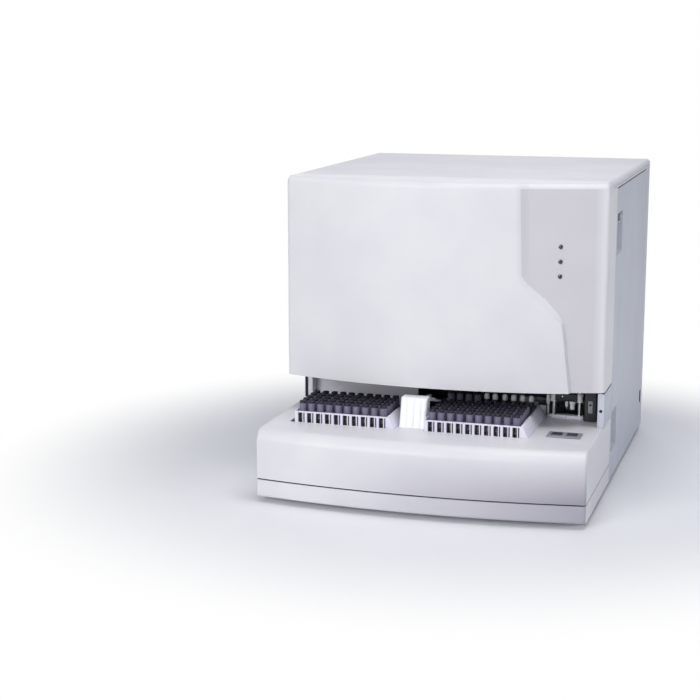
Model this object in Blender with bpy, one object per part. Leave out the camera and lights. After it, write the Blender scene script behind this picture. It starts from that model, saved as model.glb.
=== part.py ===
"""Hematology analyzer with a front loading bay: casing, sample racks, sampling gear and fluidics.

Metres, +Z up. The origin is the centre of the footprint, on the surface that the feet stand on.
The front, where the racks are loaded, faces -Y, and the right-hand side of a user is +X.
"""

import math

import bmesh
import bpy
from mathutils import Vector

for old in list(bpy.data.objects):
    bpy.data.objects.remove(old, do_unlink=True)

# Driving dimensions
WIDTH = 0.700
DEPTH = 0.940
HEIGHT = 0.675
FIT_GAP = 0.0003
WALL = 0.0035
OVERRUN = 0.010
MERGE = 0.00001
BOW_STEPS = 14
CORNER_STEPS = 3
EDGE_STEPS = 5
STEP_CURVE_STEPS = 8
ROUND_STEPS = 3
FINE_SIDES = 32
ROUND_SIDES = 20
SMALL_SIDES = 12
NEEDLE_SIDES = 10

# Feet and plinth
FOOT_RADIUS = 0.018
FOOT_HEIGHT = 0.012
FOOT_TAPER_SHARE = 0.85
FOOT_INSET_X = 0.060
FOOT_INSET_FRONT = 0.090
FOOT_INSET_REAR = 0.050
BASE_BULGE = 0.030
BASE_CORNER_RADIUS = 0.005
PLINTH_FOOT_RADIUS = 0.007
PLINTH_FLOOR = 0.003
SEAM_Z = 0.0495
SEAM_HEIGHT = 0.003
SEAM_DEPTH = 0.002

# Deck cover
DECK_Z = 0.158
DECK_EDGE_RADIUS = 0.026
DECK_SIDE_RADIUS = 0.005

# Housing
BASE_OVERHANG = 0.220
SPLIT_DEPTH = 0.110
COVER_BOTTOM_Z = 0.235
COVER_BULGE = 0.055
COVER_CORNER_RADIUS = 0.008
COVER_EDGE_RADIUS = 0.014
TOP_SIDE_RADIUS = 0.010
FASCIA_RISE = 0.010
FASCIA_BACKING = 0.026
STEP_TOP_INSET = 0.185
STEP_KNEE_INSET = 0.179
STEP_KNEE_DROP = 0.188
STEP_KNEE_HANDLE = 0.036
STEP_FOOT_INSET = 0.088
STEP_FOOT_DROP = 0.295
STEP_FOOT_HANDLE = 0.030
STEP_BOTTOM_INSET = 0.070
STEP_SLOPE = 0.020
STEP_SLOPE_LOW = 0.003
STEP_REACH_SHARE = 1.2
LID_THICKNESS = 0.018
LID_SKIN = 0.003
LID_SETBACK = 0.050
SIDE_THICKNESS = 0.003
REAR_RETURN = 0.075
HINGE_ROD_RADIUS = 0.0012
HINGE_ROD_INSET = 0.0014
HINGE_ROD_END = 0.025

# Indicators on the front cover
INDICATOR_RADIUS = 0.004
INDICATOR_STRIP_WIDTH = 0.012
INDICATOR_STRIP_THICKNESS = 0.003
INDICATOR_STRIP_MARGIN = 0.010
INDICATOR_PROUD = 0.0012
INDICATOR_INSET = 0.096
INDICATOR_DROP = 0.131
INDICATOR_PITCH = 0.031

# Side grips
GRIP_SETBACK = 0.011
GRIP_WIDTH = 0.082
GRIP_HEIGHT = 0.090
GRIP_DEPTH = 0.012
GRIP_WALL = 0.002
GRIP_UPPER_DROP = 0.120
GRIP_LOWER_Z = 0.120

# Trays, racks and tubes
TUBE_PITCH = 0.020
BAY_LEFT_GAP = 0.057
BAY_DIVIDER = 0.0795
BAY_RIGHT_GAP = 0.1495
RACK_PITCH = 0.025
RACKS_PER_TRAY = 5
RACK_GAP = 0.0006
RACK_TOP_Z = 0.179
CAP_TOP_Z = 0.203
CAP_RADIUS = 0.0080
CAP_SIDES = 10
TUBE_SUNK = 0.006
TRAY_WALL = 0.0025
TRAY_FLOOR = 0.003
TRAY_RIM_Z = 0.183
TRAY_SETBACK = 0.086
TRAY_DEPTH = 0.204
TRAY_CLEARANCE = 0.0010
TRAY_FLARE = 0.014
WINDOW_WIDTH = 0.010
WINDOW_DROP = 0.004
WINDOW_HEIGHT = 0.022
DECK_CLEARANCE = 0.0010

# Feed deck, pushers and lane
FEED_DECK_Z = 0.104
FEED_DECK_THICKNESS = 0.003
FEED_DECK_SETBACK = 0.070
FEED_DECK_DEPTH = 0.340
FEED_DECK_SIDE_GAP = 0.020
LEG = 0.012
PUSHER_THICKNESS = 0.002
PUSHER_HEIGHT = 0.030
PUSHER_HALF = 0.060
LANE_GAP = 0.0035
LANE_RACK_SHIFT = 0.0035
LANE_RAIL_THICKNESS = 0.003
LANE_RAIL_HEIGHT = 0.072
LANE_RAIL_REACH = 0.070
LANE_ROLLER_RADIUS = 0.006
LANE_ROLLER_COUNT = 6

# Barcode reader between the trays
READER_LEFT_GAP = 0.020
READER_RIGHT_GAP = 0.002
READER_SETBACK = 0.018
READER_DEPTH = 0.130
READER_TOP_Z = 0.221
READER_LEAN = 0.016
READER_HEAD_DEPTH = 0.044
READER_HEAD_RISE = 0.031
READER_EDGE = 0.003
READER_SLOT_HEIGHT = 0.016
READER_SLOT_DEPTH = 0.060
READER_SLOT_INSET = 0.006

# Loading bay walls
LINER_SETBACK = 0.030
LINER_THICKNESS = 0.003
LINER_RIGHT_GAP = 0.004
PILLAR_WIDTH = 0.014
PILLAR_SKIN = 0.003
PILLAR_SETBACK = 0.004
PILLAR_TOP_GAP = 0.005
PILLAR_FLANGE_RISE = 0.0022
PILLAR_SCREW_RADIUS = 0.0032
PILLAR_SCREW_HEAD = 0.0016

# Keys on the deck
KEY_PLATE_INSET = 0.103
KEY_PLATE_LENGTH = 0.070
KEY_PLATE_SETBACK = 0.027
KEY_PLATE_DEPTH = 0.042
KEY_PLATE_HEIGHT = 0.0030
KEY_LENGTH = 0.022
KEY_DEPTH = 0.018
KEY_TOP = 0.0052
KEY_SPACING = 0.032
KEY_TRAVEL = 0.0015
KEY_GAP = 0.0004

# Chassis frame
SHELF_Z = 0.240
SHELF_THICKNESS = 0.004
SHELF_SETBACK = 0.020
SHELF_INSET = 0.006
SHELF_OPENING_SHIFT = 0.0265
SHELF_OPENING_LENGTH = 0.170
SHELF_OPENING_SETBACK = 0.040
SHELF_OPENING_DEPTH = 0.114
FRAME_LEG = 0.014
FRAME_LEG_GAP = 0.052
BULKHEAD_SETBACK = 0.160
BULKHEAD_THICKNESS = 0.004
BULKHEAD_TOP_GAP = 0.012

# Open sampling station
GUIDE_INSET = 0.118
GUIDE_SPAN = 0.056
GUIDE_SETBACK = 0.070
GUIDE_RADIUS = 0.004
GUIDE_BLOCK_HEIGHT = 0.008
GUIDE_BLOCK_DEPTH = 0.018
OPEN_HEAD_HEIGHT = 0.018
OPEN_HEAD_Z = 0.196
OPEN_HEAD_DEPTH = 0.020
OPEN_NEEDLE_RADIUS = 0.0012
OPEN_NEEDLE_LENGTH = 0.0165
SENSOR_INSET = 0.049
SENSOR_WIDTH = 0.026
SENSOR_DEPTH = 0.036
SENSOR_HEIGHT = 0.072
SENSOR_SETBACK = 0.050

# Closed tube mixing and piercing
RAIL_LENGTH = 0.180
RAIL_WIDTH = 0.016
RAIL_DEPTH = 0.006
MIXER_SHIFT = 0.050
MIXER_HEAD_Z = 0.262
MIXER_ARM_WIDTH = 0.020
MIXER_ARM_THICKNESS = 0.008
MIXER_CARRIAGE_HEIGHT = 0.050
GRIPPER_RADIUS = 0.011
GRIPPER_WIDTH = 0.016
FINGER_LENGTH = 0.034
FINGER_THICKNESS = 0.003
FINGER_OPENING = 0.020
PIERCER_SHIFT = 0.130
PIERCER_HEAD_Z = 0.330
PIERCER_HEAD = 0.028
PIERCER_NEEDLE_RADIUS = 0.0014
PIERCER_NEEDLE_LENGTH = 0.070

# Fluidics on the bulkhead
SYRINGE_INSET = 0.095
SYRINGE_SPACING = 0.060
SYRINGE_RADIUS = 0.014
SYRINGE_WALL = 0.002
SYRINGE_LENGTH = 0.095
SYRINGE_DROP = 0.245
SYRINGE_BLOCK_WIDTH = 0.130
SYRINGE_BLOCK_HEIGHT = 0.022
SYRINGE_STANDOFF = 0.026
PLUNGER_SHAFT_RADIUS = 0.004
PLUNGER_SHAFT = 0.070
PLUNGER_HEAD = 0.012
PLUNGER_FLANGE_RADIUS = 0.010
PLUNGER_FLANGE = 0.006
PUMP_X = -0.060
PUMP_DROP = 0.155
PUMP_BODY = 0.090
PUMP_BODY_DEPTH = 0.040
PUMP_CORNER_RADIUS = 0.015
PUMP_BORE_RADIUS = 0.038
PUMP_BORE_DEPTH = 0.020
ROTOR_RADIUS = 0.024
ROTOR_DEPTH = 0.014
ROLLER_RADIUS = 0.007
ROLLER_INSET = 0.002
ROLLER_ORBIT = 0.027
ROLLER_COUNT = 3
VALVE_INSET = 0.230
VALVE_COUNT = 6
VALVE_PITCH = 0.030
VALVE_RADIUS = 0.010
VALVE_LENGTH = 0.034
VALVE_BAR_HEIGHT = 0.030
VALVE_BAR_DEPTH = 0.016
VALVE_DROP = 0.115
CHAMBER_INSET = 0.095
CHAMBER_DROP = 0.245
CHAMBER_RADIUS = 0.022
CHAMBER_LENGTH = 0.070
CHAMBER_BASE = 0.012

# Rear compartment
OPTICS_LENGTH = 0.260
OPTICS_DEPTH = 0.160
OPTICS_HEIGHT = 0.090
OPTICS_LEFT_X = -0.020
OPTICS_SETBACK = 0.120
LASER_RADIUS = 0.018
LASER_LENGTH = 0.060
BOARD_INSET = 0.030
BOARD_SETBACK = 0.080
BOARD_LENGTH = 0.280
BOARD_TOP_GAP = 0.1527
BOARD_THICKNESS = 0.002
BOARD_FOOT = 0.012
SUPPLY_LENGTH = 0.220
SUPPLY_DEPTH = 0.140
SUPPLY_HEIGHT = 0.085
SUPPLY_SIDE_GAP = 0.050
SUPPLY_REAR_GAP = 0.040
FAN_INSET = 0.160
FAN_DROP = 0.175
FAN_SIZE = 0.120
FAN_DEPTH = 0.025
FAN_BORE_RADIUS = 0.056
FAN_HUB_RADIUS = 0.020
FAN_TIP_RADIUS = 0.053
FAN_BLADES = 7
FAN_BLADE_THICKNESS = 0.0025
FAN_BLADE_SWEEP = 0.006
FAN_SPIDER = 0.006
FAN_SPIDER_DEPTH = 0.003
VENT_SLOTS = 8
VENT_PITCH = 0.012
VENT_HEIGHT = 0.005
VENT_LENGTH = 0.160
VENT_INSET = 0.160
VENT_DROP = 0.235
INLET_WIDTH = 0.030
INLET_HEIGHT = 0.026
INLET_DEPTH = 0.024
INLET_FLANGE = 0.005
INLET_INSET = 0.080
INLET_Z = 0.090
INLET_WALL = 0.0025
INLET_PIN_WIDTH = 0.002
INLET_PIN_LENGTH = 0.014
INLET_PIN_PITCH = 0.007
PORT_INSET = 0.120
PORT_Z = 0.110
PORT_PLATE_LENGTH = 0.160
PORT_PLATE_HEIGHT = 0.050
PORT_PLATE_THICKNESS = 0.003
PORT_PLATE_RECESS = 0.014
PORT_COUNT = 4
PORT_PITCH = 0.034
PORT_RADIUS = 0.006
PORT_LENGTH = 0.010

# Power switch, on the right-hand side near the back
SWITCH_SETBACK = 0.045
SWITCH_Z = 0.088
SWITCH_LENGTH = 0.028
SWITCH_WIDTH = 0.020
SWITCH_FRAME = 0.0025
SWITCH_DEPTH = 0.014
SWITCH_TILT_DEG = 9.0
SWITCH_PIVOT_INSET = 0.004
SWITCH_END_GAP = 0.001

# Places that follow from the sizes above
HALF = WIDTH / 2
FRONT_Y = -DEPTH / 2
REAR_Y = DEPTH / 2
BASE_CORNER_Y = FRONT_Y + BASE_BULGE
COVER_CORNER_Y = BASE_CORNER_Y + BASE_OVERHANG
SPLIT_Y = COVER_CORNER_Y + SPLIT_DEPTH
LID_FRONT_Y = COVER_CORNER_Y + LID_SETBACK
LID_BOTTOM_Z = HEIGHT - LID_THICKNESS
FLOOR_TOP_Z = FOOT_HEIGHT + PLINTH_FLOOR
SIDE_REAR_Y = REAR_Y - REAR_RETURN
INNER_HALF = HALF - SIDE_THICKNESS - FIT_GAP
HINGE_Y = LID_FRONT_Y - HINGE_ROD_RADIUS - FIT_GAP
HINGE_Z = HEIGHT - HINGE_ROD_INSET
COVER_REAR_TOP_Y = HINGE_Y - HINGE_ROD_RADIUS - FIT_GAP
GRIP_UPPER_Z = HEIGHT - GRIP_UPPER_DROP

# The step and the indicators, from the cover's right-hand edge
STEP_TOP_X = HALF - STEP_TOP_INSET
STEP_KNEE_X = HALF - STEP_KNEE_INSET
STEP_FOOT_X = HALF - STEP_FOOT_INSET
STEP_BOTTOM_X = HALF - STEP_BOTTOM_INSET
INDICATOR_X = HALF - INDICATOR_INSET

# Two trays share what width the bay has, and a rack holds as many tubes as its tray has room for
TRAY_ROOM = (WIDTH - BAY_LEFT_GAP - BAY_DIVIDER - BAY_RIGHT_GAP) / 2
TUBES_PER_RACK = int(TRAY_ROOM / TUBE_PITCH)
RACK_LENGTH = TUBE_PITCH * TUBES_PER_RACK
TRAY_WIDTH = RACK_LENGTH + 2 * (TRAY_WALL + TRAY_CLEARANCE)
TRAY_LEFT_X = BAY_LEFT_GAP - HALF
TRAY_RIGHT_X = TRAY_LEFT_X + TRAY_WIDTH + BAY_DIVIDER
TRAY_FRONT_Y = BASE_CORNER_Y + TRAY_SETBACK
TRAY_REAR_Y = TRAY_FRONT_Y + TRAY_DEPTH
TRAY_BOTTOM_Z = FEED_DECK_Z + FIT_GAP
RACK_BOTTOM_Z = TRAY_BOTTOM_Z + TRAY_FLOOR + FIT_GAP
PUSHER_FRONT_Y = TRAY_FRONT_Y + TRAY_WALL + TRAY_CLEARANCE / 2
RACK_FRONT_Y = PUSHER_FRONT_Y + PUSHER_THICKNESS + RACK_GAP
FEED_DECK_HALF = HALF - FEED_DECK_SIDE_GAP
FEED_DECK_FRONT_Y = BASE_CORNER_Y + FEED_DECK_SETBACK
FEED_DECK_REAR_Y = FEED_DECK_FRONT_Y + FEED_DECK_DEPTH
LANE_FRONT_Y = TRAY_REAR_Y + LANE_GAP
LANE_RACK_BOTTOM_Z = FEED_DECK_Z + FIT_GAP
LANE_RACK_LEFT_X = TRAY_RIGHT_X - LANE_RACK_SHIFT
LANE_RAIL_FIRST_X = LANE_RACK_LEFT_X - LANE_RAIL_REACH
READER_LEFT_X = TRAY_LEFT_X + TRAY_WIDTH + READER_LEFT_GAP
READER_RIGHT_X = TRAY_RIGHT_X - READER_RIGHT_GAP
READER_FRONT_Y = TRAY_FRONT_Y + READER_SETBACK
LINER_Y = SPLIT_Y + LINER_SETBACK
LINER_RIGHT_X = TRAY_LEFT_X + TRAY_WIDTH - LINER_RIGHT_GAP
KEY_PLATE_LEFT_X = HALF - KEY_PLATE_INSET
KEY_PLATE_FRONT_Y = TRAY_FRONT_Y + KEY_PLATE_SETBACK

# The shelf, and what stands on it or hangs on the bulkhead
SHELF_TOP_Z = SHELF_Z + SHELF_THICKNESS + FIT_GAP
CLEAR_HALF = HALF - GRIP_DEPTH - GRIP_WALL - FIT_GAP
SHELF_HALF = HALF - GRIP_DEPTH - GRIP_WALL - SHELF_INSET
SHELF_FRONT_Y = COVER_CORNER_Y + SHELF_SETBACK
SHELF_OPENING_LEFT_X = TRAY_RIGHT_X + SHELF_OPENING_SHIFT
SHELF_OPENING_RIGHT_X = SHELF_OPENING_LEFT_X + SHELF_OPENING_LENGTH
SHELF_OPENING_FRONT_Y = COVER_CORNER_Y + SHELF_OPENING_SETBACK
SHELF_OPENING_REAR_Y = SHELF_OPENING_FRONT_Y + SHELF_OPENING_DEPTH
BULKHEAD_Y = COVER_CORNER_Y + BULKHEAD_SETBACK
GUIDE_LEFT_X = HALF - GUIDE_INSET
GUIDE_Y = COVER_CORNER_Y + GUIDE_SETBACK
SENSOR_LEFT_X = HALF - SENSOR_INSET
SENSOR_FRONT_Y = COVER_CORNER_Y + SENSOR_SETBACK
MIXER_X = SHELF_OPENING_LEFT_X + MIXER_SHIFT
PIERCER_X = SHELF_OPENING_LEFT_X + PIERCER_SHIFT
SYRINGE_X = SYRINGE_INSET - SHELF_HALF
SYRINGE_BOTTOM_Z = HEIGHT - SYRINGE_DROP
PUMP_Z = HEIGHT - PUMP_DROP
VALVE_LEFT_X = SHELF_HALF - VALVE_INSET
VALVE_Z = HEIGHT - VALVE_DROP
CHAMBER_X = SHELF_HALF - CHAMBER_INSET
CHAMBER_Z = HEIGHT - CHAMBER_DROP
OPTICS_FRONT_Y = BULKHEAD_Y + OPTICS_SETBACK
BOARD_X = BOARD_INSET - SHELF_HALF
BOARD_FRONT_Y = BULKHEAD_Y + BOARD_SETBACK

# What the rear shell carries
SUPPLY_LEFT_X = HALF - SUPPLY_SIDE_GAP - SUPPLY_LENGTH
FAN_X = FAN_INSET - HALF
FAN_Z = HEIGHT - FAN_DROP
VENT_X = HALF - VENT_INSET
VENT_Z = HEIGHT - VENT_DROP
INLET_X = HALF - INLET_INSET
PORT_X = PORT_INSET - HALF


def material(name, colour, roughness, metallic=0.0):
    """A plain Principled material."""
    made = bpy.data.materials.new(name)
    made.use_nodes = True
    shader = made.node_tree.nodes["Principled BSDF"]
    shader.inputs["Base Color"].default_value = (*colour, 1.0)
    shader.inputs["Roughness"].default_value = roughness
    shader.inputs["Metallic"].default_value = metallic
    return made


CASING = material("casing", (0.78, 0.78, 0.81), 0.45)
CASING_WARM = material("casing_panel", (0.72, 0.73, 0.77), 0.5)
RACK_PLASTIC = material("rack_plastic", (0.16, 0.15, 0.19), 0.5)
TRAY_PLASTIC = material("tray_plastic", (0.83, 0.81, 0.88), 0.4)
WHITE_PLASTIC = material("white_plastic", (0.9, 0.9, 0.92), 0.4)
DARK_PLASTIC = material("dark_plastic", (0.03, 0.03, 0.035), 0.45)
KEY_GREY = material("key_grey", (0.35, 0.36, 0.4), 0.5)
RUBBER = material("rubber", (0.05, 0.05, 0.05), 0.85)
STEEL = material("steel", (0.62, 0.63, 0.66), 0.3, 1.0)
SHEET_METAL = material("sheet_metal", (0.5, 0.52, 0.55), 0.45, 0.9)
LENS_BLACK = material("lens_black", (0.01, 0.01, 0.012), 0.1)
CLEAR_PLASTIC = material("clear_plastic", (0.8, 0.85, 0.9), 0.15)
BOARD_GREEN = material("board_green", (0.02, 0.16, 0.07), 0.5)
PUMP_GREY = material("pump_grey", (0.25, 0.28, 0.33), 0.5)


def box(low, high):
    """A bmesh with one box between two corners."""
    made = bmesh.new()
    low, high = Vector(low), Vector(high)
    for vert in bmesh.ops.create_cube(made, size=1)["verts"]:
        vert.co = Vector([near + (at + 0.5) * (far - near) for near, far, at in zip(low, high, vert.co)])
    return made


def rod(start, end, radius, sides=ROUND_SIDES, end_radius=None):
    """A bmesh with one closed cylinder, or a cone, between two points."""
    made = bmesh.new()
    start, end = Vector(start), Vector(end)
    along = end - start
    turn = along.to_track_quat("Z", "Y").to_matrix().to_4x4()
    turn.translation = (start + end) / 2
    bmesh.ops.create_cone(
        made, cap_ends=True, cap_tris=False, segments=sides, radius1=radius,
        radius2=radius if end_radius is None else end_radius, depth=along.length, matrix=turn,
    )
    return made


def loft(*rings):
    """A closed bmesh through rings that have as many points each."""
    made = bmesh.new()
    rings = [[made.verts.new(point) for point in ring] for ring in rings]
    made.faces.new(rings[0])
    made.faces.new(rings[-1])
    for near, far in zip(rings, rings[1:]):
        for i in range(len(near)):
            j = (i + 1) % len(near)
            made.faces.new((near[i], near[j], far[j], far[i]))
    return made


def prism_y(outline, low_y, high_y):
    """A bmesh with an outline of (x, z) points extruded along Y."""
    return loft(*([(x, y, z) for x, z in outline] for y in (low_y, high_y)))


def group(*shapes):
    """Several bmeshes that don't touch, as one."""
    made = bmesh.new()
    for shape in shapes:
        copied = {vert: made.verts.new(vert.co) for vert in shape.verts}
        for face in shape.faces:
            made.faces.new([copied[vert] for vert in face.verts])
        shape.free()
    return made


def round_edges(shape, chosen, width, segments=ROUND_STEPS):
    """Rounds the edges of a bmesh for which chosen(start, end) is true."""
    edges = [edge for edge in shape.edges if chosen(edge.verts[0].co, edge.verts[1].co)]
    bmesh.ops.bevel(shape, geom=edges, offset=width, segments=segments, profile=0.5, affect="EDGES")
    return shape


def arc_y(x, half, corner_y, bulge):
    """How far forward a bowed front is at x. The bow is a circular arc from corner to corner."""
    radius = (half * half + bulge * bulge) / (2 * bulge)
    return corner_y - bulge + radius - math.sqrt(radius * radius - x * x)


def rounding(reach, half, radius):
    """How far a rounded corner falls back at a distance from the middle."""
    inside = reach - (half - radius)
    return radius - math.sqrt(max(radius * radius - inside * inside, 0)) if inside > 0 else 0


def quarter(centre_y, centre_z, radius, start, steps):
    """Points (y, z) of a quarter circle, turning clockwise from a start that is given in quarter turns."""
    angles = [math.pi / 2 * (start - step / steps) for step in range(steps + 1)]
    return [(centre_y + radius * math.cos(angle), centre_z + radius * math.sin(angle)) for angle in angles]


def bowed_block(half, corner_y, bulge, back_y, low_z, high_z, corner, top=0, side=0, bottom=0, ends=None):
    """A block with a bowed front, rounded at its front corners and along its top, side and bottom edges."""
    reach = max(corner, side)
    turns = [math.pi / 2 * step / CORNER_STEPS for step in range(CORNER_STEPS + 1)]
    bend = [half - reach + reach * math.sin(turn) for turn in turns]
    middle = [(half - reach) * (2 * step / BOW_STEPS - 1) for step in range(1, BOW_STEPS)]
    stations = [-x for x in reversed(bend)] + middle + bend
    if ends:
        left, right = ends
        stations = [left, *(x for x in stations if left + reach < x < right - reach), right]
    rings = []
    for x in stations:
        front = arc_y(x, half, corner_y, bulge) + rounding(abs(x), half, corner)
        roof = high_z - rounding(abs(x), half, side)
        toe = quarter(front + bottom, low_z + bottom, bottom, 3, EDGE_STEPS) if bottom else [(front, low_z)]
        brow = quarter(front + top, roof - top, top, 2, EDGE_STEPS) if top else [(front, roof)]
        rings.append([(x, y, z) for y, z in [(back_y, low_z), *toe, *brow, (back_y, roof)]])
    return loft(*rings)


def helper(name, shape):
    """An object that other pieces are joined to or cut by. It isn't a piece itself."""
    made = mesh_object(name, shape)
    made.hide_render = True
    made.display_type = "WIRE"
    return made


def mesh_object(name, shape, origin=(0, 0, 0)):
    """Turns a bmesh into an object whose origin is at the given point."""
    bmesh.ops.remove_doubles(shape, verts=shape.verts, dist=MERGE)
    bmesh.ops.recalc_face_normals(shape, faces=shape.faces)
    bmesh.ops.translate(shape, verts=shape.verts, vec=-Vector(origin))
    data = bpy.data.meshes.new(name)
    shape.to_mesh(data)
    shape.free()
    made = bpy.data.objects.new(name, data)
    made.location = origin
    bpy.context.scene.collection.objects.link(made)
    return made


def join(*shapes):
    return [("UNION", shape) for shape in shapes]


def cut(*shapes):
    return [("DIFFERENCE", shape) for shape in shapes]


def boolean_steps(made, steps):
    for number, (operation, shape) in enumerate(sum(steps, [])):
        step = made.modifiers.new(f"{operation.title()} {number + 1}", "BOOLEAN")
        step.operation = operation
        step.object = helper(f"{made.name}_helper_{number + 1}", shape)


def piece(name, shape, finish, *steps, origin=(0, 0, 0)):
    """One named sub-part: a shape, then what is joined to it and cut from it, in that order."""
    made = mesh_object(name, shape, origin)
    made.data.materials.append(finish)
    boolean_steps(made, steps)
    return made


def foot(name, x, y):
    bottom, top = (x, y, 0), (x, y, FOOT_HEIGHT - FIT_GAP)
    piece(name, rod(bottom, top, FOOT_RADIUS * FOOT_TAPER_SHARE, ROUND_SIDES, FOOT_RADIUS), RUBBER)


def base_plinth():
    back = SPLIT_Y - FIT_GAP
    apron = bowed_block(
        HALF, BASE_CORNER_Y, BASE_BULGE, back, FOOT_HEIGHT, SEAM_Z, BASE_CORNER_RADIUS,
        bottom=PLINTH_FOOT_RADIUS)
    lip = bowed_block(
        HALF - SEAM_DEPTH, BASE_CORNER_Y + SEAM_DEPTH, BASE_BULGE, back, FLOOR_TOP_Z + PLINTH_FOOT_RADIUS,
        SEAM_Z + SEAM_HEIGHT - FIT_GAP, BASE_CORNER_RADIUS)
    floor = box((-INNER_HALF, back - OVERRUN, FOOT_HEIGHT),
                (INNER_HALF, REAR_Y - SIDE_THICKNESS - FIT_GAP, FLOOR_TOP_Z))
    wall = SEAM_DEPTH + WALL
    hollow = bowed_block(
        HALF - wall, BASE_CORNER_Y + wall, BASE_BULGE, back + OVERRUN, FLOOR_TOP_Z, SEAM_Z + OVERRUN,
        BASE_CORNER_RADIUS, bottom=PLINTH_FOOT_RADIUS)
    piece("base_plinth", apron, CASING, join(lip, floor), cut(hollow))


def deck_cover():
    bottom, back = SEAM_Z + SEAM_HEIGHT, SPLIT_Y - FIT_GAP
    outer = bowed_block(
        HALF, BASE_CORNER_Y, BASE_BULGE, back, bottom, DECK_Z, BASE_CORNER_RADIUS,
        top=DECK_EDGE_RADIUS, side=DECK_SIDE_RADIUS)
    inner = bowed_block(
        HALF - WALL, BASE_CORNER_Y + WALL, BASE_BULGE, back + OVERRUN, bottom - OVERRUN, DECK_Z - WALL,
        BASE_CORNER_RADIUS, top=DECK_EDGE_RADIUS - WALL)
    low, high, far = DECK_Z - WALL - OVERRUN, DECK_Z + OVERRUN, back + OVERRUN
    wells = [
        box((left_x - DECK_CLEARANCE, TRAY_FRONT_Y - DECK_CLEARANCE, low),
            (left_x + TRAY_WIDTH + DECK_CLEARANCE, far, high)) for left_x in (TRAY_LEFT_X, TRAY_RIGHT_X)]
    lane_well = box((TRAY_LEFT_X + TRAY_WIDTH, TRAY_REAR_Y, low),
                    (GUIDE_LEFT_X - GUIDE_BLOCK_DEPTH, far, high))
    piece("deck_cover", outer, CASING, cut(inner, *wells, lane_well))


def step_edges():
    """The S-shaped step on the front cover, from the top: points (x, z) on its high and low edges."""
    knee = Vector((STEP_KNEE_X, HEIGHT - STEP_KNEE_DROP))
    toe = Vector((STEP_FOOT_X, HEIGHT - STEP_FOOT_DROP))
    away = Vector((-1, 1)).normalized() * STEP_FOOT_HANDLE
    ends = (knee, knee - Vector((0, STEP_KNEE_HANDLE)), toe + away, toe)
    pairs = [((STEP_TOP_X, HEIGHT + OVERRUN), (STEP_TOP_X + STEP_SLOPE, HEIGHT + OVERRUN))]
    for step in range(STEP_CURVE_STEPS + 1):
        t = step / STEP_CURVE_STEPS
        weights = ((1 - t) ** 3, 3 * t * (1 - t) ** 2, 3 * t * t * (1 - t), t ** 3)
        point = sum((end * weight for end, weight in zip(ends, weights)), Vector((0, 0)))
        turns = ((1 - t) ** 2, 2 * t * (1 - t), t * t)
        heading = sum(((b - a) * turn for a, b, turn in zip(ends, ends[1:], turns)), Vector((0, 0)))
        heading.normalize()
        width = STEP_SLOPE_LOW + (STEP_SLOPE - STEP_SLOPE_LOW) * (1 - t ** 3)
        low = point + Vector((-heading.y, heading.x)) * width
        pairs.append((tuple(point), tuple(low)))
    bottom_z = COVER_BOTTOM_Z - OVERRUN
    pairs.append(((STEP_BOTTOM_X, bottom_z), (STEP_BOTTOM_X + STEP_SLOPE_LOW, bottom_z)))
    return pairs


def step_cutter():
    """What lies right of the step, in front of the cover's lower surface."""
    near_y = arc_y(STEP_TOP_X, HALF, COVER_CORNER_Y, COVER_BULGE) - FASCIA_RISE * STEP_REACH_SHARE
    far_y = COVER_CORNER_Y + FASCIA_BACKING + OVERRUN
    near, turn, far = [], [], []
    for high, low in step_edges():
        high_y = arc_y(high[0], HALF, COVER_CORNER_Y, COVER_BULGE) - FASCIA_RISE
        low_y = arc_y(low[0], HALF, COVER_CORNER_Y, COVER_BULGE)
        start = Vector((high[0], high_y, high[1]))
        along = Vector((low[0], low_y, low[1])) - start
        near.append(start + along * (near_y - high_y) / along.y)
        turn.append(start + along * STEP_REACH_SHARE)
        far.append(Vector((turn[-1].x, far_y, turn[-1].z)))
    side_x = HALF + OVERRUN
    for ring in (near, turn, far):
        ring += [Vector((side_x, ring[-1].y, ring[-1].z)), Vector((side_x, ring[0].y, ring[0].z))]
    return loft(near, turn, far)


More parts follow.
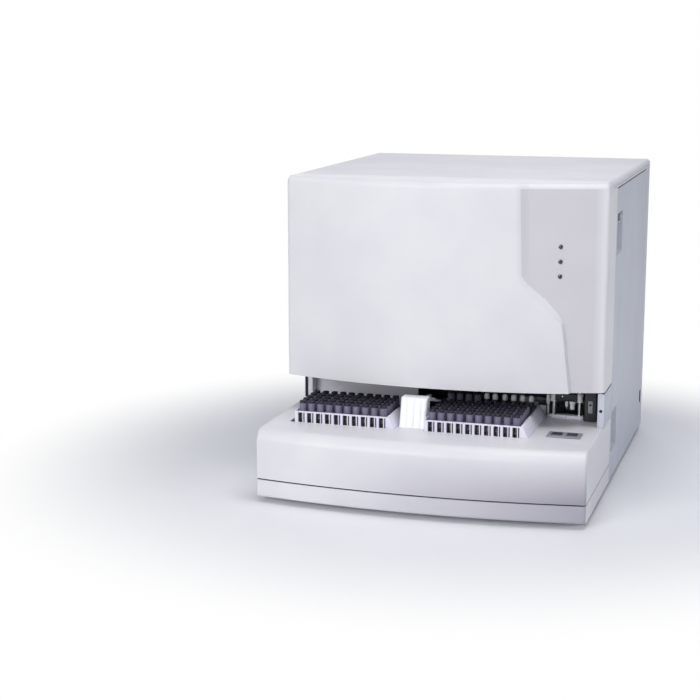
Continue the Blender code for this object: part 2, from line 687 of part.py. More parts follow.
def front_cover():
    back = SPLIT_Y - FIT_GAP
    front_corner = COVER_CORNER_Y - FASCIA_RISE
    inner_top = COVER_EDGE_RADIUS - WALL
    shell = bowed_block(
        HALF, COVER_CORNER_Y, COVER_BULGE, back, COVER_BOTTOM_Z, HEIGHT, COVER_CORNER_RADIUS,
        top=COVER_EDGE_RADIUS, side=TOP_SIDE_RADIUS)
    raised = piece(
        "front_cover_raised", bowed_block(
            HALF, front_corner, COVER_BULGE, COVER_CORNER_Y + FASCIA_BACKING, COVER_BOTTOM_Z, HEIGHT,
            COVER_CORNER_RADIUS, top=COVER_EDGE_RADIUS, side=TOP_SIDE_RADIUS),
        CASING, cut(step_cutter()))
    raised.hide_render = True
    raised.display_type = "WIRE"
    hollow = bowed_block(
        HALF - WALL, COVER_CORNER_Y + WALL, COVER_BULGE, back + OVERRUN, COVER_BOTTOM_Z - OVERRUN,
        HEIGHT - WALL, COVER_CORNER_RADIUS, top=inner_top, side=TOP_SIDE_RADIUS - WALL)
    raised_hollow = bowed_block(
        HALF - WALL, front_corner + WALL, COVER_BULGE, back, COVER_BOTTOM_Z - OVERRUN, HEIGHT - WALL,
        COVER_CORNER_RADIUS, top=inner_top, side=TOP_SIDE_RADIUS - WALL, ends=(-HALF / 2, STEP_TOP_X - WALL))
    lid_seat = box((-HALF - OVERRUN, COVER_REAR_TOP_Y, LID_BOTTOM_Z - FIT_GAP),
                   (HALF + OVERRUN, back + OVERRUN, HEIGHT + OVERRUN))
    holes = group(*(
        rod((INDICATOR_X, FRONT_Y, z), (INDICATOR_X, COVER_CORNER_Y, z), INDICATOR_RADIUS + FIT_GAP)
        for z in indicator_heights()))
    made = piece("front_cover", shell, CASING, origin=(0, HINGE_Y, HINGE_Z))
    step = made.modifiers.new("Raised front", "BOOLEAN")
    step.operation = "UNION"
    step.object = raised
    boolean_steps(made, [cut(hollow, raised_hollow, lid_seat, holes)])


def indicator_heights():
    return [HEIGHT - INDICATOR_DROP - number * INDICATOR_PITCH for number in range(3)]


def indicators():
    """Three lenses on a strip behind the front cover."""
    heights = indicator_heights()
    half = INDICATOR_STRIP_WIDTH / 2
    wall_y = arc_y(INDICATOR_X + half, HALF - WALL, COVER_CORNER_Y + WALL, COVER_BULGE)
    near = wall_y + FIT_GAP
    face_y = arc_y(INDICATOR_X, HALF, COVER_CORNER_Y, COVER_BULGE)
    strip = box((INDICATOR_X - half, near, heights[-1] - INDICATOR_STRIP_MARGIN),
                (INDICATOR_X + half, near + INDICATOR_STRIP_THICKNESS, heights[0] + INDICATOR_STRIP_MARGIN))
    lens_back, lens_front = near + INDICATOR_STRIP_THICKNESS / 2, face_y - INDICATOR_PROUD
    lenses = group(*(
        rod((INDICATOR_X, lens_back, z), (INDICATOR_X, lens_front, z), INDICATOR_RADIUS) for z in heights))
    piece("indicator_strip", strip, LENS_BLACK, join(lenses), origin=(0, HINGE_Y, HINGE_Z))


def top_lid():
    slab = box((-HALF, LID_FRONT_Y, LID_BOTTOM_Z), (HALF, REAR_Y, HEIGHT))
    round_edges(
        slab, lambda a, b: min(a.z, b.z) > LID_BOTTOM_Z + MERGE and abs(a.y - b.y) > OVERRUN, TOP_SIDE_RADIUS)
    hollow = box((-INNER_HALF + WALL, LID_FRONT_Y + WALL, LID_BOTTOM_Z - OVERRUN),
                 (INNER_HALF - WALL, REAR_Y - SIDE_THICKNESS - WALL, HEIGHT - LID_SKIN))
    piece("top_lid", slab, CASING, cut(hollow))


def hinge_rod():
    left, right = [(side * (HALF - HINGE_ROD_END), HINGE_Y, HINGE_Z) for side in (-1, 1)]
    piece("cover_hinge_rod", rod(left, right, HINGE_ROD_RADIUS, SMALL_SIDES), STEEL)


def side_panel(name, side, origin):
    """A side panel with two recessed grips. side is -1 for the left and 1 for the right."""
    def slab(near_x, far_x, low_yz, high_yz):
        low_x, high_x = sorted((side * near_x, side * far_x))
        return box((low_x, *low_yz), (high_x, *high_yz))

    half_y, half_z = GRIP_WIDTH / 2, GRIP_HEIGHT / 2
    grip_y = SPLIT_Y + GRIP_SETBACK + half_y
    wide, tall = half_y + GRIP_WALL, half_z + GRIP_WALL
    pockets, hollows = [], []
    for z in (GRIP_UPPER_Z, GRIP_LOWER_Z):
        pockets.append(slab(HALF - GRIP_DEPTH - GRIP_WALL, HALF - SIDE_THICKNESS / 2,
                            (grip_y - wide, z - tall), (grip_y + wide, z + tall)))
        hollows.append(slab(HALF - GRIP_DEPTH, HALF + OVERRUN,
                            (grip_y - half_y, z - half_z), (grip_y + half_y, z + half_z)))
    panel = slab(HALF - SIDE_THICKNESS, HALF,
                 (SPLIT_Y, FOOT_HEIGHT), (SIDE_REAR_Y - FIT_GAP, LID_BOTTOM_Z - FIT_GAP))
    piece(name, panel, CASING_WARM, join(group(*pockets)), cut(group(*hollows)), origin=origin)


def rear_shell():
    outer = box((-HALF, SIDE_REAR_Y, FOOT_HEIGHT), (HALF, REAR_Y, LID_BOTTOM_Z - FIT_GAP))
    inner = box((-HALF + SIDE_THICKNESS, SIDE_REAR_Y - OVERRUN, FOOT_HEIGHT - OVERRUN),
                (HALF - SIDE_THICKNESS, REAR_Y - SIDE_THICKNESS, HEIGHT + OVERRUN))
    near, far = REAR_Y - SIDE_THICKNESS - OVERRUN, REAR_Y + OVERRUN
    first_z = VENT_Z - VENT_PITCH * (VENT_SLOTS - 1) / 2
    holes = [rod((FAN_X, near, FAN_Z), (FAN_X, far, FAN_Z), FAN_BORE_RADIUS, FINE_SIDES)]
    holes += [box((VENT_X - VENT_LENGTH / 2, near, first_z + i * VENT_PITCH - VENT_HEIGHT / 2),
                  (VENT_X + VENT_LENGTH / 2, far, first_z + i * VENT_PITCH + VENT_HEIGHT / 2))
              for i in range(VENT_SLOTS)]
    for x, z, length, height in (
        (INLET_X, INLET_Z, INLET_WIDTH + 2 * FIT_GAP, INLET_HEIGHT + 2 * FIT_GAP),
        (PORT_X, PORT_Z, PORT_PLATE_LENGTH - 2 * WALL, PORT_PLATE_HEIGHT - 2 * WALL),
    ):
        holes.append(box((x - length / 2, near, z - height / 2), (x + length / 2, far, z + height / 2)))
    y, half_y, half_z = REAR_Y - SWITCH_SETBACK, SWITCH_WIDTH / 2, SWITCH_LENGTH / 2
    back = HALF - SWITCH_DEPTH
    housing = box((back, y - half_y - SWITCH_FRAME, SWITCH_Z - half_z - SWITCH_FRAME),
                  (HALF - SIDE_THICKNESS / 2, y + half_y + SWITCH_FRAME, SWITCH_Z + half_z + SWITCH_FRAME))
    well = box((back + SWITCH_FRAME, y - half_y, SWITCH_Z - half_z),
               (HALF + OVERRUN, y + half_y, SWITCH_Z + half_z))
    piece("rear_shell", outer, CASING_WARM, cut(inner, group(*holes)), join(housing), cut(well))


def power_rocker():
    """The rocker of the power switch, in its well in the right-hand return of the rear shell."""
    y = REAR_Y - SWITCH_SETBACK
    half_y = SWITCH_WIDTH / 2 - FIT_GAP
    pivot_x = HALF - SWITCH_PIVOT_INSET
    reach = SWITCH_LENGTH / 2 - SWITCH_END_GAP
    rise = reach * math.tan(math.radians(SWITCH_TILT_DEG))
    face = HALF - rise - FIT_GAP
    back = pivot_x - SWITCH_PIVOT_INSET / 2
    outline = [(back, SWITCH_Z - reach), (face, SWITCH_Z - reach), (face - rise / 2, SWITCH_Z),
               (face, SWITCH_Z + reach), (back, SWITCH_Z + reach)]
    rocker = prism_y(outline, y - half_y, y + half_y)
    piece("power_rocker", rocker, DARK_PLASTIC, origin=(pivot_x, y, SWITCH_Z))


def tube_places(rack_left_x):
    return [rack_left_x + TUBE_PITCH * (number + 0.5) for number in range(TUBES_PER_RACK)]


def tray(name, left_x):
    """A rack tray: a front wall with a window at each tube, side walls, and a flared skirt on its right."""
    right_x = left_x + TRAY_WIDTH
    rear_y = TRAY_REAR_Y - FIT_GAP
    body = box((left_x, TRAY_FRONT_Y, TRAY_BOTTOM_Z), (right_x, rear_y, TRAY_RIM_Z))
    skirt_x, skirt_z = right_x - TRAY_WALL / 2, DECK_Z + FIT_GAP
    skirt = prism_y(
        [(skirt_x, skirt_z), (right_x + TRAY_FLARE, skirt_z),
         (right_x + TRAY_FLARE, skirt_z + TRAY_WALL / 2),
         (right_x + TRAY_WALL / 2, TRAY_RIM_Z - TRAY_WALL), (skirt_x, TRAY_RIM_Z - TRAY_WALL)],
        TRAY_FRONT_Y, rear_y - TRAY_WALL)
    hollow = box(
        (left_x + TRAY_WALL, TRAY_FRONT_Y + TRAY_WALL, TRAY_BOTTOM_Z + TRAY_FLOOR),
        (right_x - TRAY_WALL, TRAY_REAR_Y + OVERRUN, TRAY_RIM_Z + OVERRUN))
    window_top = TRAY_RIM_Z - WINDOW_DROP
    windows = group(*(
        box((x - WINDOW_WIDTH / 2, TRAY_FRONT_Y - OVERRUN, window_top - WINDOW_HEIGHT),
            (x + WINDOW_WIDTH / 2, TRAY_FRONT_Y + TRAY_WALL + OVERRUN, window_top))
        for x in tube_places(left_x + TRAY_WALL + TRAY_CLEARANCE)))
    piece(name, body, TRAY_PLASTIC, join(skirt), cut(hollow, windows))


def rack(name, left_x, front_y, bottom_z):
    """One rack with its ten capped tubes."""
    lift = bottom_z - RACK_BOTTOM_Z
    back_y = front_y + RACK_PITCH - RACK_GAP
    mid_y, top_z = (front_y + back_y) / 2, RACK_TOP_Z + lift
    tubes = group(*(
        rod((x, mid_y, top_z - TUBE_SUNK), (x, mid_y, CAP_TOP_Z + lift), CAP_RADIUS, CAP_SIDES)
        for x in tube_places(left_x)))
    body = box((left_x, front_y, bottom_z), (left_x + RACK_LENGTH, back_y, top_z))
    piece(name, body, RACK_PLASTIC, join(tubes))


def racks():
    for side, tray_x in (("left", TRAY_LEFT_X), ("right", TRAY_RIGHT_X)):
        for number in range(RACKS_PER_TRAY):
            rack(f"rack_{side}_{number + 1}", tray_x + TRAY_WALL + TRAY_CLEARANCE,
                 RACK_FRONT_Y + number * RACK_PITCH, RACK_BOTTOM_Z)
    rack("rack_in_lane", LANE_RACK_LEFT_X, LANE_FRONT_Y, LANE_RACK_BOTTOM_Z)


def feed_deck():
    plate = box((-FEED_DECK_HALF, FEED_DECK_FRONT_Y, FEED_DECK_Z - FEED_DECK_THICKNESS),
                (FEED_DECK_HALF, FEED_DECK_REAR_Y, FEED_DECK_Z))
    legs = group(*(
        box((x, y, FLOOR_TOP_Z + FIT_GAP), (x + LEG, y + LEG, FEED_DECK_Z - FEED_DECK_THICKNESS / 2))
        for x in (-FEED_DECK_HALF + LEG, FEED_DECK_HALF - 2 * LEG)
        for y in (FEED_DECK_FRONT_Y + LEG, FEED_DECK_REAR_Y - 2 * LEG)))
    piece("feed_deck", plate, SHEET_METAL, join(legs))


def lane_guide_rail():
    """The rail behind the lane, with rollers along its top."""
    y = LANE_FRONT_Y + RACK_PITCH + LANE_GAP
    right_x = LANE_RACK_LEFT_X + RACK_LENGTH + TUBE_PITCH
    top = FEED_DECK_Z + LANE_RAIL_HEIGHT
    rail = box((LANE_RAIL_FIRST_X, y, FEED_DECK_Z + FIT_GAP), (right_x, y + LANE_RAIL_THICKNESS, top))
    spacing = (right_x - LANE_RAIL_FIRST_X) / LANE_ROLLER_COUNT
    mid_y = y + LANE_RAIL_THICKNESS + LANE_ROLLER_RADIUS / 2
    radius = LANE_ROLLER_RADIUS
    rollers = group(*(
        rod((x, mid_y, top - radius), (x, mid_y, top + radius), radius, SMALL_SIDES)
        for x in (LANE_RAIL_FIRST_X + (number + 0.5) * spacing for number in range(LANE_ROLLER_COUNT))))
    piece("lane_guide_rail", rail, WHITE_PLASTIC, join(rollers))


def pushers():
    """The load pusher in front of the left-hand racks and the unload pusher at the back of the right tray."""
    for name, tray_x, front_y in (
        ("load_pusher", TRAY_LEFT_X, PUSHER_FRONT_Y),
        ("unload_pusher", TRAY_RIGHT_X, TRAY_REAR_Y - FIT_GAP - PUSHER_THICKNESS),
    ):
        mid_x = tray_x + TRAY_WIDTH / 2
        blade = box((mid_x - PUSHER_HALF, front_y, RACK_BOTTOM_Z),
                    (mid_x + PUSHER_HALF, front_y + PUSHER_THICKNESS, RACK_BOTTOM_Z + PUSHER_HEIGHT))
        piece(name, blade, STEEL)


def barcode_reader():
    """A tall head whose face leans back, and a low body behind it with a slot at the rear."""
    front, rear, head_rear = READER_FRONT_Y, READER_FRONT_Y + READER_DEPTH, READER_FRONT_Y + READER_HEAD_DEPTH
    low, top, body_top = DECK_Z + FIT_GAP, READER_TOP_Z, READER_TOP_Z - READER_HEAD_RISE
    outline = [(front, low), (front + READER_LEAN, top), (head_rear, top), (head_rear, body_top),
               (rear, body_top), (rear, low)]
    body = loft(*([(x, y, z) for y, z in outline] for x in (READER_LEFT_X, READER_RIGHT_X)))
    round_edges(body, lambda a, b: min(a.z, b.z) > top - MERGE, READER_EDGE)
    slot_z = (low + body_top) / 2
    slot = box((READER_LEFT_X + READER_SLOT_INSET, rear - READER_SLOT_DEPTH, slot_z - READER_SLOT_HEIGHT / 2),
               (READER_RIGHT_X - READER_SLOT_INSET, rear + OVERRUN, slot_z + READER_SLOT_HEIGHT / 2))
    piece("barcode_reader", body, WHITE_PLASTIC, cut(slot))


def bay_liner():
    """The walls behind and to the left of the loading bay, with a flange that reaches the side panel."""
    left, high_z, skirt_z = -CLEAR_HALF, SHELF_Z - FIT_GAP, DECK_Z + FIT_GAP
    outline = [(left, skirt_z), (-FEED_DECK_HALF, skirt_z), (-FEED_DECK_HALF, FEED_DECK_Z + FIT_GAP),
               (LINER_RIGHT_X, FEED_DECK_Z + FIT_GAP), (LINER_RIGHT_X, high_z), (left, high_z)]
    side = box((left, SPLIT_Y + FIT_GAP, skirt_z),
               (left + LINER_THICKNESS, LINER_Y + LINER_THICKNESS / 2, high_z))
    flange = box((-INNER_HALF, SPLIT_Y + FIT_GAP, skirt_z),
                 (left + LINER_THICKNESS, SPLIT_Y + FIT_GAP + LINER_THICKNESS, high_z))
    piece("bay_liner", prism_y(outline, LINER_Y, LINER_Y + LINER_THICKNESS), CASING_WARM, join(side, flange))


def right_pillar():
    """The wall that closes the loading bay on the right, with a flange and a screw facing the front."""
    front, back = COVER_CORNER_Y + PILLAR_SETBACK, SPLIT_Y - FIT_GAP
    low_z, high_z = DECK_Z + FIT_GAP, COVER_BOTTOM_Z - PILLAR_TOP_GAP
    skin = box((HALF - PILLAR_SKIN, front, low_z), (HALF, back, high_z))
    flange = box((HALF - PILLAR_WIDTH, front, low_z),
                 (HALF - PILLAR_SKIN / 2, front + PILLAR_SKIN, high_z + PILLAR_FLANGE_RISE))
    x, z = HALF - PILLAR_WIDTH / 2, (low_z + high_z) / 2
    screw = rod((x, front + PILLAR_SKIN / 2, z), (x, front - PILLAR_SCREW_HEAD, z),
                PILLAR_SCREW_RADIUS, SMALL_SIDES)
    piece("right_pillar", skin, CASING_WARM, join(flange, screw))


def keys():
    """Two keys in a plate on the deck."""
    bottom = DECK_Z + FIT_GAP
    mid_x, y = KEY_PLATE_LEFT_X + KEY_PLATE_LENGTH / 2, KEY_PLATE_FRONT_Y + KEY_PLATE_DEPTH / 2
    places = [("key_start", mid_x - KEY_SPACING / 2), ("key_priority", mid_x + KEY_SPACING / 2)]
    half_x, half_y = KEY_LENGTH / 2, KEY_DEPTH / 2
    plate = box((KEY_PLATE_LEFT_X, KEY_PLATE_FRONT_Y, bottom),
                (KEY_PLATE_LEFT_X + KEY_PLATE_LENGTH, KEY_PLATE_FRONT_Y + KEY_PLATE_DEPTH,
                 bottom + KEY_PLATE_HEIGHT))
    holes = group(*(
        box((x - half_x - KEY_GAP, y - half_y - KEY_GAP, bottom - OVERRUN),
            (x + half_x + KEY_GAP, y + half_y + KEY_GAP, bottom + OVERRUN)) for _, x in places))
    piece("key_plate", plate, KEY_GREY, cut(holes))
    for name, x in places:
        cap = box((x - half_x, y - half_y, bottom + KEY_TRAVEL), (x + half_x, y + half_y, bottom + KEY_TOP))
        piece(name, cap, DARK_PLASTIC, origin=(x, y, bottom))


def chassis_frame():
    """The shelf above the loading bay, on legs that stand on the plinth, with two rear uprights."""
    rear = SIDE_REAR_Y - FRAME_LEG
    shelf = box((-SHELF_HALF, SHELF_FRONT_Y, SHELF_Z), (SHELF_HALF, rear, SHELF_Z + SHELF_THICKNESS))
    front_leg = (LINER_Y + LINER_THICKNESS + FRAME_LEG_GAP, SHELF_Z + SHELF_THICKNESS / 2)
    rear_leg = (rear - FRAME_LEG, LID_BOTTOM_Z - LID_SKIN)
    legs = [
        box((x, y, FLOOR_TOP_Z + FIT_GAP), (x + FRAME_LEG, y + FRAME_LEG, top_z))
        for x in (-CLEAR_HALF, CLEAR_HALF - FRAME_LEG) for y, top_z in (front_leg, rear_leg)]
    opening = box((SHELF_OPENING_LEFT_X, SHELF_OPENING_FRONT_Y, SHELF_Z - OVERRUN),
                  (SHELF_OPENING_RIGHT_X, SHELF_OPENING_REAR_Y, SHELF_Z + OVERRUN))
    piece("chassis_frame", shelf, SHEET_METAL, join(group(*legs)), cut(opening))


def fluidics_bulkhead():
    plate = box((-SHELF_HALF, BULKHEAD_Y, SHELF_TOP_Z),
                (SHELF_HALF, BULKHEAD_Y + BULKHEAD_THICKNESS, LID_BOTTOM_Z - BULKHEAD_TOP_GAP))
    piece("fluidics_bulkhead", plate, SHEET_METAL)


def open_station():
    """The open sampling probe on its two guides, and the sensor beside it."""
    right_x, mid_x = GUIDE_LEFT_X + GUIDE_SPAN, GUIDE_LEFT_X + GUIDE_SPAN / 2
    bottom, top, half = DECK_Z + FIT_GAP, SHELF_Z - FIT_GAP, GUIDE_BLOCK_DEPTH / 2
    rods = group(*(
        rod((x, GUIDE_Y, bottom + GUIDE_BLOCK_HEIGHT / 2), (x, GUIDE_Y, top - GUIDE_BLOCK_HEIGHT / 2),
            GUIDE_RADIUS, SMALL_SIDES) for x in (GUIDE_LEFT_X, right_x)))
    left_x, far_x = GUIDE_LEFT_X - half, right_x + half
    low_block, high_block = [
        box((left_x, GUIDE_Y - half, z), (far_x, GUIDE_Y + half, z + GUIDE_BLOCK_HEIGHT))
        for z in (bottom, top - GUIDE_BLOCK_HEIGHT)]
    piece("probe_guides", low_block, STEEL, join(rods, high_block))
    head_top = OPEN_HEAD_Z + OPEN_HEAD_HEIGHT
    head = box((left_x, GUIDE_Y - OPEN_HEAD_DEPTH / 2, OPEN_HEAD_Z),
               (far_x, GUIDE_Y + OPEN_HEAD_DEPTH / 2, head_top))
    bores = group(*(
        rod((x, GUIDE_Y, OPEN_HEAD_Z - OVERRUN), (x, GUIDE_Y, head_top + OVERRUN),
            GUIDE_RADIUS + FIT_GAP, SMALL_SIDES)
        for x in (GUIDE_LEFT_X, right_x)))
    needle = rod((mid_x, GUIDE_Y, OPEN_HEAD_Z + OPEN_HEAD_HEIGHT / 2),
                 (mid_x, GUIDE_Y, OPEN_HEAD_Z - OPEN_NEEDLE_LENGTH), OPEN_NEEDLE_RADIUS, NEEDLE_SIDES)
    origin = (mid_x, GUIDE_Y, OPEN_HEAD_Z)
    piece("open_probe_head", head, WHITE_PLASTIC, cut(bores), join(needle), origin=origin)
    sensor = box((SENSOR_LEFT_X, SENSOR_FRONT_Y, bottom),
                 (SENSOR_LEFT_X + SENSOR_WIDTH, SENSOR_FRONT_Y + SENSOR_DEPTH, bottom + SENSOR_HEIGHT))
    piece("sample_sensor", sensor, DARK_PLASTIC)


def closed_station():
    """The mixer that lifts and turns a tube, and the piercing probe beside it, on rails on the bulkhead."""
    rail_back = BULKHEAD_Y - FIT_GAP
    rail_front = rail_back - RAIL_DEPTH
    rail_top = SHELF_TOP_Z + RAIL_LENGTH
    bars = [box((x - RAIL_WIDTH / 2, rail_front, SHELF_TOP_Z), (x + RAIL_WIDTH / 2, rail_back, rail_top))
            for x in (MIXER_X, PIERCER_X)]
    tie = box((MIXER_X, rail_front, rail_top - RAIL_WIDTH), (PIERCER_X, rail_back, rail_top))
    piece("sampling_rails", bars[0], STEEL, join(bars[1], tie))
    lane_mid_y = LANE_FRONT_Y + (RACK_PITCH - RACK_GAP) / 2
    front, half = rail_front - FIT_GAP, MIXER_ARM_WIDTH / 2
    low_z, high_z = MIXER_HEAD_Z - half, MIXER_HEAD_Z + half
    carriage = box((MIXER_X - half, front - MIXER_ARM_THICKNESS, low_z),
                   (MIXER_X + half, front, low_z + MIXER_CARRIAGE_HEIGHT))
    arm_x = MIXER_X + half - MIXER_ARM_THICKNESS
    arm = box((arm_x, lane_mid_y - half, low_z), (MIXER_X + half, front - MIXER_ARM_THICKNESS / 2, high_z))
    piece("mixer_arm", carriage, CASING_WARM, join(arm), origin=(MIXER_X, front, MIXER_HEAD_Z))
    right, left = arm_x - FIT_GAP, arm_x - FIT_GAP - GRIPPER_WIDTH
    barrel = rod((left, lane_mid_y, MIXER_HEAD_Z), (right, lane_mid_y, MIXER_HEAD_Z), GRIPPER_RADIUS)
    inner, outer = FINGER_OPENING / 2, FINGER_OPENING / 2 + FINGER_THICKNESS
    bridge = box((left + FINGER_THICKNESS, lane_mid_y - outer, MIXER_HEAD_Z - FINGER_THICKNESS),
                 (right - FINGER_THICKNESS, lane_mid_y + outer, MIXER_HEAD_Z))
    fingers = group(*(
        box((left + FINGER_THICKNESS, lane_mid_y + low, MIXER_HEAD_Z - FINGER_LENGTH),
            (right - FINGER_THICKNESS, lane_mid_y + high, MIXER_HEAD_Z))
        for low, high in ((-outer, -inner), (inner, outer))))
    piece("mixer_gripper", barrel, STEEL, join(bridge, fingers), origin=(MIXER_X, lane_mid_y, MIXER_HEAD_Z))
    head = box((PIERCER_X - PIERCER_HEAD / 2, front - PIERCER_HEAD, PIERCER_HEAD_Z),
               (PIERCER_X + PIERCER_HEAD / 2, front, PIERCER_HEAD_Z + PIERCER_HEAD))
    needle_y = front - PIERCER_HEAD / 2
    needle = rod((PIERCER_X, needle_y, PIERCER_HEAD_Z + PIERCER_HEAD / 2),
                 (PIERCER_X, needle_y, PIERCER_HEAD_Z - PIERCER_NEEDLE_LENGTH),
                 PIERCER_NEEDLE_RADIUS, NEEDLE_SIDES)
    piece("piercing_probe", head, SHEET_METAL, join(needle), origin=(PIERCER_X, front, PIERCER_HEAD_Z))


def syringes():
    """Two syringes under a block on the bulkhead, and their plungers."""
    xs = [SYRINGE_X + side * SYRINGE_SPACING / 2 for side in (-1, 1)]
    axis_y = BULKHEAD_Y - FIT_GAP - SYRINGE_STANDOFF
    bottom, top = SYRINGE_BOTTOM_Z, SYRINGE_BOTTOM_Z + SYRINGE_LENGTH
    half_x, half_z, bore = SYRINGE_BLOCK_WIDTH / 2, SYRINGE_BLOCK_HEIGHT / 2, SYRINGE_RADIUS - SYRINGE_WALL
    block = box((SYRINGE_X - half_x, axis_y - SYRINGE_RADIUS - SYRINGE_WALL, top - half_z),
                (SYRINGE_X + half_x, BULKHEAD_Y - FIT_GAP, top + half_z))
    barrels = group(*(rod((x, axis_y, bottom), (x, axis_y, top), SYRINGE_RADIUS) for x in xs))
    bores = group(*(rod((x, axis_y, bottom - OVERRUN), (x, axis_y, top - half_z), bore) for x in xs))
    piece("syringe_block", block, CLEAR_PLASTIC, join(barrels), cut(bores))
    low = bottom + PLUNGER_HEAD - PLUNGER_SHAFT
    for number, x in enumerate(xs):
        head = rod((x, axis_y, bottom), (x, axis_y, bottom + PLUNGER_HEAD), bore - FIT_GAP)
        shaft = rod((x, axis_y, low), (x, axis_y, bottom + PLUNGER_HEAD / 2),
                    PLUNGER_SHAFT_RADIUS, SMALL_SIDES)
        flange = rod((x, axis_y, low - PLUNGER_FLANGE / 2), (x, axis_y, low + PLUNGER_FLANGE / 2),
                     PLUNGER_FLANGE_RADIUS)
        piece(f"syringe_plunger_{number + 1}", head, STEEL, join(shaft, flange), origin=(x, axis_y, bottom))


def pump():
    """A peristaltic pump on the bulkhead: its head and the rotor with three rollers."""
    back, half = BULKHEAD_Y - FIT_GAP, PUMP_BODY / 2
    front = back - PUMP_BODY_DEPTH
    body = box((PUMP_X - half, front, PUMP_Z - half), (PUMP_X + half, back, PUMP_Z + half))
    round_edges(body, lambda a, b: abs(a.y - b.y) > OVERRUN, PUMP_CORNER_RADIUS)
    bore_back = front + PUMP_BORE_DEPTH
    bore = rod((PUMP_X, front - OVERRUN, PUMP_Z), (PUMP_X, bore_back, PUMP_Z), PUMP_BORE_RADIUS, FINE_SIDES)
    piece("pump_head", body, PUMP_GREY, cut(bore))
    near = bore_back - FIT_GAP
    far = near - ROTOR_DEPTH
    hub = rod((PUMP_X, near, PUMP_Z), (PUMP_X, far, PUMP_Z), ROTOR_RADIUS)
    rollers = []
    for number in range(ROLLER_COUNT):
        turn = math.tau * number / ROLLER_COUNT
        x, z = PUMP_X + ROLLER_ORBIT * math.cos(turn), PUMP_Z + ROLLER_ORBIT * math.sin(turn)
        roller_ends = (x, near - ROLLER_INSET, z), (x, far + ROLLER_INSET, z)
        rollers.append(rod(*roller_ends, ROLLER_RADIUS, SMALL_SIDES))
    piece("pump_rotor", hub, WHITE_PLASTIC, join(group(*rollers)), origin=(PUMP_X, near, PUMP_Z))


def valves():
    """A row of valves and a counting chamber on the bulkhead."""
    back = BULKHEAD_Y - FIT_GAP
    front = back - VALVE_BAR_DEPTH
    bar = box((VALVE_LEFT_X, front, VALVE_Z - VALVE_BAR_HEIGHT / 2),
              (VALVE_LEFT_X + VALVE_COUNT * VALVE_PITCH, back, VALVE_Z + VALVE_BAR_HEIGHT / 2))
    coils = group(*(
        rod((x, front + VALVE_BAR_DEPTH / 2, VALVE_Z), (x, front - VALVE_LENGTH, VALVE_Z),
            VALVE_RADIUS, SMALL_SIDES)
        for x in (VALVE_LEFT_X + (number + 0.5) * VALVE_PITCH for number in range(VALVE_COUNT))))
    piece("valve_bank", bar, WHITE_PLASTIC, join(coils))
    axis_y = back - CHAMBER_BASE - CHAMBER_RADIUS
    top_z = CHAMBER_Z + CHAMBER_LENGTH
    vessel = rod((CHAMBER_X, axis_y, CHAMBER_Z), (CHAMBER_X, axis_y, top_z), CHAMBER_RADIUS)
    mount = box((CHAMBER_X - CHAMBER_BASE, axis_y, CHAMBER_Z + CHAMBER_BASE),
                (CHAMBER_X + CHAMBER_BASE, back, top_z - CHAMBER_BASE))
    piece("counting_chamber", vessel, CLEAR_PLASTIC, join(mount))


def rear_units():
    """The optics and the main board on the shelf, and the power supply on the plinth."""
    top = SHELF_TOP_Z
    housing = box((OPTICS_LEFT_X, OPTICS_FRONT_Y, top),
                  (OPTICS_LEFT_X + OPTICS_LENGTH, OPTICS_FRONT_Y + OPTICS_DEPTH, top + OPTICS_HEIGHT))
    y, z = OPTICS_FRONT_Y + OPTICS_DEPTH / 2, top + OPTICS_HEIGHT / 2
    laser = rod((OPTICS_LEFT_X + LASER_RADIUS, y, z), (OPTICS_LEFT_X - LASER_LENGTH, y, z), LASER_RADIUS)
    piece("optics_unit", housing, DARK_PLASTIC, join(laser))
    board = box((BOARD_X, BOARD_FRONT_Y, top + BOARD_FOOT / 2),
                (BOARD_X + BOARD_THICKNESS, BOARD_FRONT_Y + BOARD_LENGTH, LID_BOTTOM_Z - BOARD_TOP_GAP))
    feet = group(*(
        box((BOARD_X + BOARD_THICKNESS / 2, y, top), (BOARD_X + BOARD_FOOT, y + BOARD_FOOT, top + BOARD_FOOT))
        for y in (BOARD_FRONT_Y + BOARD_FOOT, BOARD_FRONT_Y + BOARD_LENGTH - 2 * BOARD_FOOT)))
    piece("main_board", board, BOARD_GREEN, join(feet))
    back = REAR_Y - SUPPLY_REAR_GAP
    supply = box((SUPPLY_LEFT_X, back - SUPPLY_DEPTH, FLOOR_TOP_Z + FIT_GAP),
                 (SUPPLY_LEFT_X + SUPPLY_LENGTH, back, FLOOR_TOP_Z + SUPPLY_HEIGHT))
    piece("power_supply", supply, SHEET_METAL)


